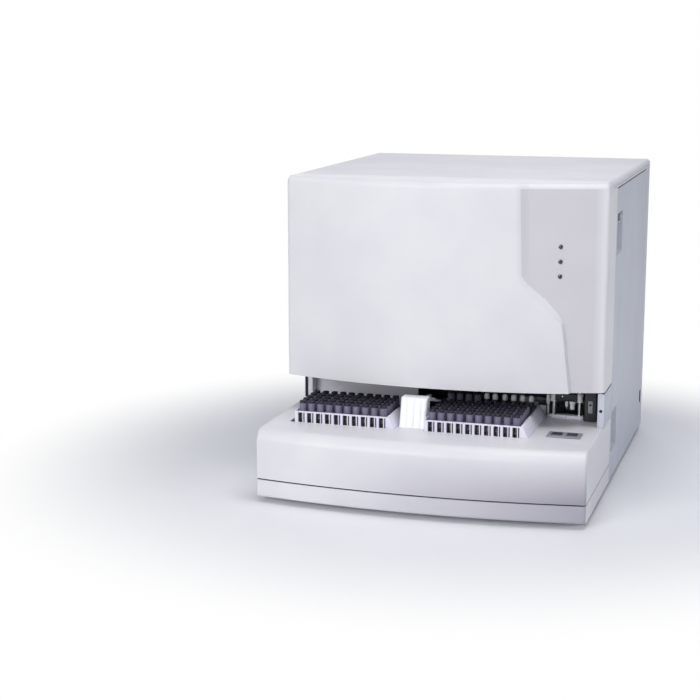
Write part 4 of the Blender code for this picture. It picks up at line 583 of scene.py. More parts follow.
def pushed(outline, low, high, axis=1, edge=0.0):
    """An outline of two coordinates, pushed along an axis (0, 1 or 2) between two places."""
    made = bmesh.new()
    ends = []
    for place in (low, high):
        ring = []
        for first, second in outline:
            point = [first, second]
            point.insert(axis, place)
            ring.append(made.verts.new(point))
        ends.append(ring)
        made.faces.new(ring)
    count = len(outline)
    for i in range(count):
        made.faces.new((ends[0][i], ends[0][(i + 1) % count], ends[1][(i + 1) % count], ends[1][i]))
    if edge:
        bmesh.ops.recalc_face_normals(made, faces=made.faces)
        soften(made, edge)
    return made


def smooth_path(points, steps=8):
    """Points on a smooth curve through the given points."""
    points = [Vector(point) for point in points]
    padded = [points[0] * 2 - points[1], *points, points[-1] * 2 - points[-2]]
    made = []
    for i in range(1, len(padded) - 2):
        a, b, c, d = padded[i - 1:i + 3]
        for step in range(steps):
            t = step / steps
            made.append(0.5 * ((2 * b) + (c - a) * t + (2 * a - 5 * b + 4 * c - d) * t * t
                    + (3 * b - a - 3 * c + d) * t * t * t))
    made.append(points[-1])
    return made


def heading_at(path, i):
    """Which way a path runs at one of its points."""
    return (path[min(i + 1, len(path) - 1)] - path[max(i - 1, 0)]).normalized()


def bent_tube(points, radius, sides=10, steps=8):
    """A tube of even radius along a smooth path, closed at its ends."""
    path = smooth_path(points, steps)
    side = heading_at(path, 0).orthogonal().normalized()
    turns = [math.tau * n / sides for n in range(sides)]
    rings = []
    for i, point in enumerate(path):
        heading = heading_at(path, i)
        side = (side - heading * side.dot(heading)).normalized()
        other = heading.cross(side)
        rings.append([point + (side * math.cos(turn) + other * math.sin(turn)) * radius for turn in turns])
    return lofted(rings)


# %% [markdown]
# Openings, grips and slots are cut with exact Booleans, as a mill would. The tool shapes are thrown away
# afterwards, and only the finished mesh is kept.

# %% Cutting and joining
def scratch_object(shape):
    bmesh.ops.recalc_face_normals(shape, faces=shape.faces)
    data = bpy.data.meshes.new("scratch")
    shape.to_mesh(data)
    shape.free()
    made = bpy.data.objects.new("scratch", data)
    bpy.context.scene.collection.objects.link(made)
    return made


def combined(shape, others, operation):
    base = scratch_object(shape)
    tools = [scratch_object(other) for other in others]
    for tool in tools:
        step = base.modifiers.new("step", "BOOLEAN")
        step.operation = operation
        step.solver = "EXACT"
        step.object = tool
    evaluated = base.evaluated_get(bpy.context.evaluated_depsgraph_get())
    data = bpy.data.meshes.new_from_object(evaluated)
    made = bmesh.new()
    made.from_mesh(data)
    bpy.data.meshes.remove(data)
    for old in (base, *tools):
        mesh = old.data
        bpy.data.objects.remove(old, do_unlink=True)
        bpy.data.meshes.remove(mesh)
    return made


def carved(shape, *tools):
    return combined(shape, tools, "DIFFERENCE")


def united(shape, *others):
    return combined(shape, others, "UNION")


# %% [markdown]
# The casing shells bow forward on a circular arc. Each is built as a grid of points for the outside, a
# second grid for the inside, and a rim that joins them wherever the sheet ends. A grid keeps the curves
# clean, which a Boolean of coarse blocks would not.

# %% The bowed shells' shared form
HALF = CAD_HIGH.x
DECK_LOW, DECK_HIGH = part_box("deck_cover")
PLINTH_LOW, PLINTH_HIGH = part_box("base_plinth")
COVER_LOW, COVER_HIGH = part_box("front_cover")
LID_LOW, LID_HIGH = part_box("top_lid")
BASE_BULGE = 0.03
BASE_CORNER_Y = CAD_LOW.y + BASE_BULGE
COVER_BULGE = 0.055
COVER_CORNER_Y = BASE_CORNER_Y + 0.22
WALL = 0.0035


def bow(x, half, corner_y, bulge):
    """How far forward the bow is at x."""
    radius = (half * half + bulge * bulge) / (2 * bulge)
    return corner_y - bulge + radius - math.sqrt(radius * radius - min(abs(x), half) ** 2)


def fall(reach, half, radius):
    """How far a rounded corner falls back near the edge."""
    inside = reach - (half - radius)
    return radius - math.sqrt(max(radius * radius - inside * inside, 0)) if inside > 0 else 0


def bend_stations(half, reach, steps=7):
    return [half - reach + reach * math.sin(math.pi / 2 * step / steps) for step in range(steps + 1)]


def even(low, high, count):
    """Places from low to high, both included."""
    return [low + (high - low) * step / count for step in range(count + 1)]


def thickened(outer, inner, faces):
    """A closed shell from outer points, as many inner points, and the faces of the outer skin."""
    made = bmesh.new()
    outside = [made.verts.new(point) for point in outer]
    inside = [made.verts.new(point) for point in inner]
    rims = {}
    for face in faces:
        made.faces.new([outside[i] for i in face])
        made.faces.new([inside[i] for i in reversed(face)])
        for near, far in zip(face, face[1:] + face[:1]):
            if (far, near) in rims:
                del rims[(far, near)]
            else:
                rims[(near, far)] = True
    for near, far in rims:
        made.faces.new((outside[far], outside[near], inside[near], inside[far]))
    return made


def grid_faces(rows, columns, holes=()):
    """The faces of a grid whose points are stored row by row, without the cells that lie in a hole."""
    firsts = [row * columns + column for row in range(rows - 1) for column in range(columns - 1)
        if not any(hole(row, column) for hole in holes)]
    return [(first, first + 1, first + columns + 1, first + columns) for first in firsts]


# %% [markdown]
# The front cover carries the analyzer's one flourish: a raised front whose right-hand edge runs down as a
# soft slope, swings to the right in an S and leaves as a thin line. The columns of the grid follow that
# line, so the slope stays clean where it runs diagonally. The slope faces up where it swings, and catches
# the light there.

# %% The line of the step
HEIGHT = CAD_HIGH.z
FASCIA_RISE = 0.01
STEP_TOP = (HALF - 0.185, HALF - 0.165)
KNEE = Vector((HALF - 0.179, HEIGHT - 0.188))
TOE = Vector((HALF - 0.088, HEIGHT - 0.295))
STEP_BOTTOM = (HALF - 0.07, HALF - 0.067)
SLOPE_WIDE, SLOPE_NARROW = 0.02, 0.003


def step_line():
    """The high and the low edge of the step as lists of (x, z), from the top down."""
    away = Vector((-1, 1)).normalized() * 0.03
    ends = (KNEE, KNEE - Vector((0, 0.036)), TOE + away, TOE)
    high, low = [(STEP_TOP[0], HEIGHT + 0.01)], [(STEP_TOP[1], HEIGHT + 0.01)]
    for step in range(41):
        t = step / 40
        weights = ((1 - t) ** 3, 3 * t * (1 - t) ** 2, 3 * t * t * (1 - t), t ** 3)
        point = sum((end * weight for end, weight in zip(ends, weights)), Vector((0, 0)))
        turns = ((1 - t) ** 2, 2 * t * (1 - t), t * t)
        heading = sum(((b - a) * turn for a, b, turn in zip(ends, ends[1:], turns)), Vector((0, 0)))
        heading.normalize()
        width = SLOPE_NARROW + (SLOPE_WIDE - SLOPE_NARROW) * (1 - t ** 3)
        high.append(tuple(point))
        low.append(tuple(point + Vector((-heading.y, heading.x)) * width))
    high.append((STEP_BOTTOM[0], COVER_LOW.z - 0.01))
    low.append((STEP_BOTTOM[1], COVER_LOW.z - 0.01))
    return high, low


STEP_HIGH, STEP_LOW = step_line()


def step_x(line, z):
    for (near_x, near_z), (far_x, far_z) in zip(line, line[1:]):
        if near_z >= z >= far_z:
            return near_x + (far_x - near_x) * (near_z - z) / (near_z - far_z)
    return line[-1][0]


def eased(share, ends=0.22):
    """A ramp from 0 to 1 whose two ends are rounded."""
    share = min(max(share, -ends), 1 + ends)
    if share < ends:
        return (share + ends) ** 2 / (4 * ends)
    if share > 1 - ends:
        return 1 - (1 + ends - share) ** 2 / (4 * ends)
    return share


def rise_at(x, z, shift=0.0):
    high, low = step_x(STEP_HIGH, z) + shift, step_x(STEP_LOW, z) + shift
    return FASCIA_RISE * eased((low - x) / (low - high))


# %% [markdown]
# The outside and the inside of the cover are two grids. Their columns crowd together at the step and at
# the corners, where the surface turns fastest, so that few points give a smooth shape.

# %% Front cover
def cover_columns(z):
    """Places across the cover at a height, with close columns at the step and at the corners."""
    high, low = step_x(STEP_HIGH, z), step_x(STEP_LOW, z)
    margin = (low - high) * 0.24
    reach = 0.01
    bend = bend_stations(HALF, reach)
    return ([-x for x in reversed(bend)] + even(-(HALF - reach), high - margin, 56)[1:-1]
        + even(high - margin, low + margin, 16) + even(low + margin, HALF - reach, 22)[1:-1] + bend)


def cover_skin(inset, shift):
    """The points of the cover's outside, or of its inside where inset is the wall, and the side profiles."""
    top, back = 0.014 - inset, COVER_HIGH.y
    half, corner_y = HALF - inset, COVER_CORNER_Y + inset
    seat_y, seat_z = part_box("cover_hinge_rod")[0].y - 0.0003, LID_LOW.z - 0.0003
    heights = even(COVER_LOW.z, HEIGHT - top - inset, 110)
    levels = [(z, None) for z in heights] + [(HEIGHT - top, turn) for turn in quarter(9, 1)]
    rows = []
    for nominal, turn in [*levels, (HEIGHT, "roof")]:
        row = []
        for x in cover_columns(nominal):
            x = x * half / HALF
            roof = HEIGHT - inset - fall(abs(x), half, 0.01 - inset)
            front = bow(x, half, corner_y, COVER_BULGE) + fall(abs(x), half, 0.008) - rise_at(x, nominal,
                shift)
            if turn is None:
                share = (nominal - COVER_LOW.z) / (HEIGHT - top - inset - COVER_LOW.z)
                row.append((x, front, COVER_LOW.z + share * (roof - top - COVER_LOW.z)))
            elif turn == "roof":
                row.append((x, seat_y, roof))
            else:
                row.append((x, front + top - top * math.cos(turn), roof - top + top * math.sin(turn)))
        rows.append(row)
    extra = [(side * half, y, z) for side in (-1, 1)
        for y, z in ((seat_y, seat_z), (back, seat_z), (back, COVER_LOW.z))]
    return rows, extra


def front_cover():
    outer, outer_extra = cover_skin(0.0, 0.0)
    inner, inner_extra = cover_skin(WALL, -0.006)
    columns, count = len(outer[0]), len(outer)
    faces = grid_faces(count, columns)
    first = count * columns
    faces.append(tuple(row * columns for row in range(count)) + (first, first + 1, first + 2))
    faces.append(tuple(reversed([row * columns + columns - 1 for row in range(count)]
                + [first + 3, first + 4, first + 5])))
    flat = [point for row in outer for point in row] + outer_extra
    flat_inner = [point for row in inner for point in row] + inner_extra
    return thickened(flat, flat_inner, faces)


LENS_X = HALF - 0.096
LENS_HEIGHTS = [HEIGHT - 0.131 - number * 0.031 for number in range(3)]
lens_holes = gather(*(rod((LENS_X, -0.35, z), (LENS_X, -0.15, z), 0.0043, 24, 0) for z in LENS_HEIGHTS))
cover_shape = carved(front_cover(), lens_holes)
cover = piece("front_cover_shell", cover_shape, CASING, ["front_cover"], body="front_cover",
    angle=30)


def painted_shade_beside_step(middle, normal):
    """True for the front faces to the right of the step, with most of the slope itself above the knee. These
    faces get painted shade.
    """
    high, low = step_x(STEP_HIGH, middle.z), step_x(STEP_LOW, middle.z)
    slope_share = 0.7 * min(max((middle.z - KNEE.y + 0.055) / 0.05, 0), 1)
    edge = low + (high - low) * slope_share
    return normal.y < -0.3 and middle.x > edge and middle.z < HEIGHT - 0.012


# Painted shade on the panel right of the step and on the upper slope, where they turn away from the lamps.
shade_faces(cover, STEP_PAINTED_SHADE, painted_shade_beside_step)
print("front cover faces", len(cover.data.polygons))

# %% [markdown]
# The indicator lamps are three small dark domes that look out through holes in the cover. They sit on one
# strip behind it, each in a thin ring.

# %% Indicator lamps
strip_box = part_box("indicator_strip")
face_y = bow(LENS_X, HALF, COVER_CORNER_Y, COVER_BULGE)
lamp_parts = [(inside(strip_box, (0, 0), (-3.4, 0), (0, 0)), 1)]
for z in LENS_HEIGHTS:
    dome = [(0.004 * math.cos(turn), 0.003 + 0.0009 * math.sin(turn)) for turn in quarter(6)[:-1]]
    base = (LENS_X, face_y + 0.0028, z)
    lamp_parts.append((turned([(0, -0.001), (0.004, -0.001), *dome, (0, 0.0039)], base, FRONT, 32), 0))
piece("indicator_lamps", gather(*lamp_parts), [LENS, BLACK], ["indicator_strip"],
    body="front_cover", angle=40)
rings = [turned(mm((4.3, 0), (5.4, 0), (5.4, 0.2), (5, 0.6), (4.6, 0.6), (4.3, 0)),
        (LENS_X, face_y + 0.0001, z), FRONT, 32) for z in LENS_HEIGHTS]
piece("indicator_rings", gather(*rings), KEY_GREY, body="front_cover")

# %% [markdown]
# The deck cover is one moulding. It falls over a broad soft edge to the bowed front, and it has two wells for
# the trays. Its grid has a line of points on every edge of a well, so the wells need no cutting.

# %% Deck cover
TRAYS = [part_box("tray_left"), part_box("tray_right")]
READER_LOW, READER_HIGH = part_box("barcode_reader")
LINER_LOW, LINER_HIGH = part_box("bay_liner")
WELL_GAP = 0.001
TRAY_FLARE = 0.014
well_sides = [(low.x - WELL_GAP, high.x - TRAY_FLARE + WELL_GAP) for low, high in TRAYS]
well_front = TRAYS[0][0].y - WELL_GAP
lane_sides = (well_sides[0][1], 0.214)
LANE_FRONT_Y = -0.15


def deck_columns():
    bend = bend_stations(HALF, 0.005, 6)
    lines = sorted({-(HALF - 0.005), *well_sides[0], *well_sides[1], lane_sides[1], HALF - 0.005})
    places = [-x for x in reversed(bend)]
    for near, far in zip(lines, lines[1:]):
        places += even(near, far, max(2, round((far - near) / 0.009)))[1:]
    return places + bend[1:]


def deck_skin(inset):
    half, corner_y, top_z = HALF - inset, BASE_CORNER_Y + inset, DECK_HIGH.z - inset
    edge, back = 0.026 - inset, DECK_HIGH.y
    walls = even(0, 1, 12)
    turns = quarter(12, 1)
    flats = [("share", share) for share in (0.33, 0.67)]
    lines = [*even(well_front, TRAYS[0][1].y, 14)[:-1], LANE_FRONT_Y, LANE_FRONT_Y + 0.02, back]
    rows = []
    for kind, value in ([("wall", share) for share in walls] + [("turn", turn) for turn in turns] + flats
                        + [("line", y) for y in lines]):
        row = []
        for x in deck_columns():
            x = x * half / HALF if abs(x) > HALF - 0.006 else x
            roof = top_z - fall(abs(x), half, 0.005 - inset)
            front = bow(x, half, corner_y, BASE_BULGE) + fall(abs(x), half, 0.005)
            if kind == "wall":
                row.append((x, front, DECK_LOW.z + value * (roof - edge - DECK_LOW.z)))
            elif kind == "turn":
                row.append((x, front + edge - edge * math.cos(value), roof - edge + edge * math.sin(value)))
            elif kind == "share":
                row.append((x, front + edge + value * (well_front - front - edge), roof))
            else:
                row.append((x, value, roof))
        rows.append(row)
    extra = [(side * half, back, DECK_LOW.z) for side in (-1, 1)]
    return rows, extra


def deck_cover():
    outer, outer_extra = deck_skin(0.0)
    inner, inner_extra = deck_skin(WALL)
    columns, count = len(outer[0]), len(outer)
    places = deck_columns()
    first_line = next(i for i, row in enumerate(outer) if abs(row[columns // 2][1] - well_front) < 1e-6)
    lane_line = next(i for i, row in enumerate(outer) if abs(row[columns // 2][1] - LANE_FRONT_Y) < 1e-6)

    def in_well(row, column):
        middle = (places[column] + places[column + 1]) / 2
        return row >= first_line and any(near < middle < far for near, far in well_sides)

    def in_lane(row, column):
        middle = (places[column] + places[column + 1]) / 2
        return row >= lane_line and lane_sides[0] < middle < lane_sides[1]

    faces = grid_faces(count, columns, (in_well, in_lane))
    first = count * columns
    faces.append(tuple(row * columns for row in range(count)) + (first,))
    faces.append(tuple(reversed([row * columns + columns - 1 for row in range(count)] + [first + 1])))
    return thickened([point for row in outer for point in row] + outer_extra,
        [point for row in inner for point in row] + inner_extra, faces)


deck = piece("deck_cover_shell", deck_cover(), CASING, ["deck_cover"], angle=30)
# The deck cover's front faces get painted shade, darker towards the bottom and the right.
shade_faces(deck, BASE_PAINTED_SHADE, lambda middle, normal: normal.y < -0.25)
print("deck cover faces", len(deck.data.polygons))

# %% [markdown]
# The plinth follows the same bow. A dark line runs between it and the deck cover, because the plinth's
# upper lip is set back by two millimetres. Its profile is closed and is carried across the front, station
# by station.

# %% Plinth
SEAM_Z = DECK_LOW.z - 0.003
TOE_ROUND, BROW_ROUND = 0.007, 0.0008


def front_stations():
    """Places across the front, each with how far back the front is there."""
    bend = bend_stations(HALF, 0.005, 6)
    places = [-x for x in reversed(bend)] + even(-(HALF - 0.005), HALF - 0.005, 72)[1:-1] + bend
    return [(x, bow(x, HALF, BASE_CORNER_Y, BASE_BULGE) + fall(abs(x), HALF, 0.005)) for x in places]


def front_ribbon(near, far, low, high, gap):
    """A strip that follows the front, between two depths behind it, and ends a gap inside the corners."""
    return lofted([[(x * (HALF - gap) / HALF, front + depth, z)
                for depth, z in ((near, low), (far, low), (far, high), (near, high))]
            for x, front in front_stations()])


def plinth_shape():
    back, foot, floor_z = DECK_HIGH.y, PLINTH_LOW.z, PLINTH_LOW.z + 0.003
    rings = []
    for x, front in front_stations():
        toe = [(front + TOE_ROUND * (1 - math.sin(turn)), foot + TOE_ROUND * (1 - math.cos(turn)))
            for turn in quarter(7)]
        brow = [(front + BROW_ROUND * (1 - math.cos(turn)), SEAM_Z - BROW_ROUND * (1 - math.sin(turn)))
            for turn in quarter(3)]
        rings.append([(x, y, z) for y, z in [(back, foot), *toe, *brow, (front + 0.0055, SEAM_Z),
                    (front + 0.0055, floor_z), (back, floor_z)]])
    return lofted(rings)


def plinth_walls():
    """The two side walls behind the bow, and the floor plate that runs to the rear."""
    back, low, high = DECK_HIGH.y, PLINTH_LOW.z, DECK_LOW.z - 0.0003
    walls = [pushed([(side * (HALF - 0.0055), low + 0.002), (side * (HALF - 0.0022), low + 0.002),
                (side * (HALF - 0.0022), high), (side * (HALF - 0.0055), high)], BASE_CORNER_Y + 0.0045,
            back) for side in (-1, 1)]
    skins = [pushed([(side * (HALF - 0.004), low + 0.003), (side * HALF, low + 0.003),
                (side * HALF, SEAM_Z - 0.0006), (side * (HALF - 0.0005), SEAM_Z),
                (side * (HALF - 0.004), SEAM_Z)], BASE_CORNER_Y + 0.0105, back) for side in (-1, 1)]
    plate = block((-HALF + 0.0035, back - 0.002, low), (HALF - 0.0035, PLINTH_HIGH.y, low + 0.003), 0.0006)
    return gather(*walls, *skins, plate)


lip = front_ribbon(0.0022, 0.0055, SEAM_Z - 0.001, DECK_LOW.z - 0.0003, 0.0022)
plinth = piece("plinth_shell", gather(plinth_shape(), plinth_walls(), lip), CASING,
    ["base_plinth"], angle=30)
# The plinth's front faces get painted shade, darker towards the right.
shade_faces(plinth, PLINTH_PAINTED_SHADE, lambda middle, normal: normal.y < -0.25)
gasket = []
for side in (-1, 1):
    gasket.append(pushed([(side * (HALF - 0.0021), SEAM_Z + 0.0002),
                (side * (HALF - 0.0012), SEAM_Z + 0.0002), (side * (HALF - 0.0012), DECK_LOW.z - 0.0002),
                (side * (HALF - 0.0021), DECK_LOW.z - 0.0002)], BASE_CORNER_Y + 0.006, DECK_HIGH.y))
ribbon = front_ribbon(0.0012, 0.0021, SEAM_Z + 0.0002, DECK_LOW.z - 0.0002, 0.0013)
piece("seam_gasket", gather(ribbon, *gasket), DARK)

# %% [markdown]
# The lid is a shallow pressed tray turned over. A groove runs along its sides where a lip folds in, and it
# shows as a fine double line from the right. The steel sheets under it are flat, with softened folds.

# %% Top lid
def lid_shape():
    low, high = LID_LOW, LID_HIGH
    corner = 0.01
    right = [(HALF - 0.003, low.z), (HALF, low.z), (HALF, low.z + 0.0044), (HALF - 0.0014, low.z + 0.005),
        (HALF - 0.0014, low.z + 0.0064), (HALF, low.z + 0.007)]
    right += [(HALF - corner + corner * math.cos(turn), high.z - corner + corner * math.sin(turn))
        for turn in quarter(10, 1)]
    left = [(-x, z) for x, z in reversed(right)]
    inside = [(-HALF + 0.003, high.z - 0.003), (HALF - 0.003, high.z - 0.003)]
    outline = right + left + inside
    skin = pushed(outline, low.y + 0.0006, high.y - 0.0006)
    caps = []
    for y, back in ((low.y, 1), (high.y, -1)):
        near = [(x * 0.9997, z - (0.0002 if z > high.z - 0.004 else 0)) for x, z in right + left]
        caps.append(pushed(near, min(y, y + back * 0.003), max(y, y + back * 0.003)))
    return gather(skin, *caps)


piece("lid_shell", lid_shape(), LID_PAINT, ["top_lid"], angle=34)
lid_bolts = [screw((x, LID_HIGH.y - 0.018, LID_HIGH.z - 0.0016), UP, 0.0032, 0.0014)
    for x in (-0.3, 0.0, 0.3)]
piece("lid_bolts", gather(*lid_bolts), BRUSHED_Z)

# %% [markdown]
# The front cover swings on a thin steel rod below the lid's front edge. A turned rod is all it needs.

# %% Hinge of the front cover
ROD_LOW, ROD_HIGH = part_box("cover_hinge_rod")
rod_y, rod_z = (ROD_LOW.y + ROD_HIGH.y) / 2, (ROD_LOW.z + ROD_HIGH.z) / 2
piece("hinge_pin", rod((ROD_LOW.x, rod_y, rod_z), (ROD_HIGH.x, rod_y, rod_z), 0.0012, 20, 0.0002),
    BRUSHED_X, ["cover_hinge_rod"])

# %% [markdown]
# The side panels are powder-coated sheets that stop a little short of the lid, so a dark line shows there.
# Each has two hand grips near its front edge, which are cups with rounded corners, a touch darker than the
# panel as painted shade in the recess. A latch sits in the top of the upper grip, over a thin bar.

# %% Side panels
GRIP_WIDE, GRIP_TALL, GRIP_DEEP = 0.082, 0.09, 0.012
GRIP_Y = COVER_CORNER_Y + 0.11 + 0.011 + GRIP_WIDE / 2
GRIPS = (HEIGHT - 0.12, 0.12)


def grip_pocket(side, z, reach=0.004):
    """A pocket that narrows towards its floor, as a moulded cup does."""
    rings = []
    for depth, shrink in ((-reach, 0), (0, 0), (GRIP_DEEP * 0.85, 0.0016), (GRIP_DEEP, 0.0034)):
        outline = rounded(GRIP_Y, z, GRIP_WIDE / 2 - shrink, GRIP_TALL / 2 - shrink, 0.006 - shrink)
        rings.append([(side * (HALF - depth), *point) for point in outline])
    return lofted(rings)


def beside(side, near, far, low, high, edge=0.0005):
    """A softened block at one side, between two depths below the outer face and two (y, z) corners."""
    low_x, high_x = sorted((side * (HALF - near), side * (HALF - far)))
    return block((low_x, *low), (high_x, *high), edge)


def in_grip(middle, normal):
    """True for the faces of a grip's cup that can be seen from outside."""
    return 0.0004 < HALF - abs(middle.x) < GRIP_DEEP + 0.0004 and any(abs(middle.y - GRIP_Y) < GRIP_WIDE / 2
        + 0.0004 and abs(middle.z - z) < GRIP_TALL / 2 + 0.0004 for z in GRIPS)


def side_panel(name, node, side, body):
    low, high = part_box(node)
    sheet = beside(side, 0, 0.003, (low.y, low.z), (high.y, high.z - 0.0025), 0.0008)
    cups = [beside(side, 0.0012, 0.0138, (GRIP_Y - 0.0428, z - 0.0468), (GRIP_Y + 0.0428, z + 0.0468),
            0.002) for z in GRIPS]
    made = piece(name, carved(united(sheet, *cups), *(grip_pocket(side, z) for z in GRIPS)), PANEL,
        [node], body=body, angle=34)
    # The visible faces of the grip cups get the slightly darker finish: painted shade in the recess.
    shade_faces(made, GRIP_CUP_SHADE, in_grip)
    top = GRIPS[0]
    bar = beside(side, 0.0016, 0.0118, (GRIP_Y - 0.0404, top + 0.0235), (GRIP_Y + 0.0404, top + 0.0255))
    latch = beside(side, 0.002, 0.0118, (GRIP_Y + 0.008, top + 0.0262), (GRIP_Y + 0.038, top + 0.0425),
        0.001)
    pin = rod((side * (HALF - 0.0025), GRIP_Y + 0.023, top + 0.034),
        (side * (HALF - 0.0006), GRIP_Y + 0.023, top + 0.034), 0.0042, 28, 0.0005)
    piece(name + "_latch", gather((bar, 0), (latch, 1), (pin, 2)), [PANEL, KEY_GREY, BRUSHED_Z],
        body=body, angle=34)


side_panel("left_panel", "left_side_panel", -1, "casing")
side_panel("right_door", "right_side_door", 1, "right_side_door")
DOOR_LOW, DOOR_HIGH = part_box("right_side_door")
lines = [beside(side, 0.0034, 0.006, (DOOR_LOW.y + 0.002, DOOR_HIGH.z - 0.006),
        (DOOR_HIGH.y - 0.0006, DOOR_HIGH.z - 0.0001), 0) for side in (-1, 1)]
piece("lid_gaskets", gather(*lines), RUBBER)

# %% [markdown]
# The rear shell folds round both back corners. It has a round opening for the fan, eight slots that let air
# in, and openings for the inlet, the ports and the power switch. The slots have rounded ends, as punched
# slots do.

# %% Rear shell
REAR_LOW, REAR_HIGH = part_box("rear_shell")
FAN_LOW, FAN_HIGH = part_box("fan_frame")
FAN_X, FAN_Z = (FAN_LOW.x + FAN_HIGH.x) / 2, (FAN_LOW.z + FAN_HIGH.z) / 2
VENT_X, VENT_Z = HALF - 0.16, HEIGHT - 0.235
INLET_LOW, INLET_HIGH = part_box("power_inlet")
INLET_X, INLET_Z = (INLET_LOW.x + INLET_HIGH.x) / 2, (INLET_LOW.z + INLET_HIGH.z) / 2
PORT_LOW, PORT_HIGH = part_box("fluid_port_plate")
ROCKER_LOW, ROCKER_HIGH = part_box("power_rocker")
SWITCH_Y, SWITCH_Z = (ROCKER_LOW.y + ROCKER_HIGH.y) / 2, (ROCKER_LOW.z + ROCKER_HIGH.z) / 2
WELL_Y, WELL_Z = (ROCKER_HIGH.y - ROCKER_LOW.y) / 2 + 0.0003, (ROCKER_HIGH.z - ROCKER_LOW.z) / 2 + 0.001


def round_slot(x, z, length, height, near, far):
    outline = []
    for side, start in ((1, -0.5), (-1, 0.5)):
        for step in range(7):
            turn = math.pi * (start + step / 6)
            outline.append((x + side * (length / 2 - height / 2) + height / 2 * math.cos(turn), z
                    + height / 2 * math.sin(turn)))
    return pushed(outline, near, far)


def rear_shell():
    thick, corner = 0.003, 0.006
    outline = [(-HALF, REAR_LOW.y), (-HALF, REAR_HIGH.y - corner)]
    outline += [(-HALF + corner - corner * math.cos(turn), REAR_HIGH.y - corner + corner * math.sin(turn))
        for turn in quarter(6, 1)]
    outline += [(-x, y) for x, y in reversed(outline)]
    inside = [(x * (HALF - thick) / HALF, min(y, REAR_HIGH.y - thick)) for x, y in reversed(outline)]
    shell = pushed(outline + inside, REAR_LOW.z, REAR_HIGH.z, axis=2)
    near, far = REAR_HIGH.y - 0.012, REAR_HIGH.y + 0.01
    tools = [rod((FAN_X, near, FAN_Z), (FAN_X, far, FAN_Z), 0.056, 64, 0)]
    for number in range(8):
        tools.append(round_slot(VENT_X, VENT_Z + (number - 3.5) * 0.012, 0.16, 0.005, near, far))
    tools.append(block((INLET_X - 0.0153, near, INLET_Z - 0.0133),
            (INLET_X + 0.0153, far, INLET_Z + 0.0133), 0))
    tools.append(block((PORT_LOW.x + WALL, near, PORT_LOW.z + WALL),
            (PORT_HIGH.x - WALL, far, PORT_HIGH.z - WALL), 0))
    tools.append(beside(1, -0.01, 0.006, (SWITCH_Y - WELL_Y - 0.0024, SWITCH_Z - WELL_Z - 0.0024),
            (SWITCH_Y + WELL_Y + 0.0024, SWITCH_Z + WELL_Z + 0.0024), 0))
    return carved(shell, gather(*tools))


piece("rear_panel", rear_shell(), PANEL, ["rear_shell"], angle=34)
well = carved(beside(1, 0.0004, 0.014, (SWITCH_Y - WELL_Y - 0.0023, SWITCH_Z - WELL_Z - 0.0023),
        (SWITCH_Y + WELL_Y + 0.0023, SWITCH_Z + WELL_Z + 0.0023), 0.0006), beside(1, -0.004, 0.0115,
        (SWITCH_Y - WELL_Y, SWITCH_Z - WELL_Z), (SWITCH_Y + WELL_Y, SWITCH_Z + WELL_Z), 0))
piece("switch_well", well, DARK)
rear_screws = [screw((x, REAR_HIGH.y - 0.0016, z), BACK) for x in (-0.335, 0.335)
    for z in (0.03, 0.23, 0.43, 0.64)]
rear_screws += [screw((x, REAR_HIGH.y - 0.0016, z), BACK) for x in (-0.17, 0.0, 0.17) for z in (0.03, 0.64)]
piece("rear_screws", gather(*rear_screws), BRUSHED_Z)

# %% [markdown]
# The right-hand door hangs on three concealed hinges. One leaf of each is screwed to the door's inside, and
# the other to the inside of the rear shell, so both show only while the door is open.

# %% Door hinges
HINGE_HEIGHTS = (0.165, 0.36, 0.56)


def hinge_leaves(near, far):
    parts = []
    for z in HINGE_HEIGHTS:
        parts.append((beside(1, 0.0029, 0.0046, (near, z - 0.028), (far, z + 0.028)), 0))
        for up in (-0.018, 0.018):
            parts.append((screw((HALF - 0.0046, (near + far) / 2, z + up), LEFT, 0.0028, 0.0013), 1))
    return gather(*parts)


piece("door_hinge_leaves", hinge_leaves(DOOR_HIGH.y - 0.038, DOOR_HIGH.y - 0.004), [BRUSHED_Z, BLACK],
    body="right_side_door")
piece("frame_hinge_leaves", hinge_leaves(REAR_LOW.y + 0.003, REAR_LOW.y + 0.036), [BRUSHED_Z, BLACK])

# %% [markdown]
# The liner closes the bay at the back and on the left, and the pillar closes it on the right with a flange
# and one screw. Both are bent sheet. The liner is painted paler than the panels: painted light that lifts
# it out of the shade under the cover.

# %% Bay liner and pillar
PILLAR_LOW, PILLAR_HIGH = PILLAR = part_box("right_pillar")


def liner_shape():
    left, right = -(HALF - 0.0143), LINER_HIGH.x
    low, high, skirt = LINER_LOW.z, LINER_HIGH.z, DECK_HIGH.z + 0.0003
    back = pushed([(left, skirt), (-0.33, skirt), (-0.33, low), (right, low), (right, high), (left, high)],
        LINER_HIGH.y - 0.003, LINER_HIGH.y, edge=0.0005)
    side = block((left, LINER_LOW.y, skirt), (left + 0.003, LINER_HIGH.y - 0.0015, high), 0.0006)
    flange = block((LINER_LOW.x, LINER_LOW.y, skirt), (left + 0.003, LINER_LOW.y + 0.003, high), 0.0006)
    return united(back, side, flange)


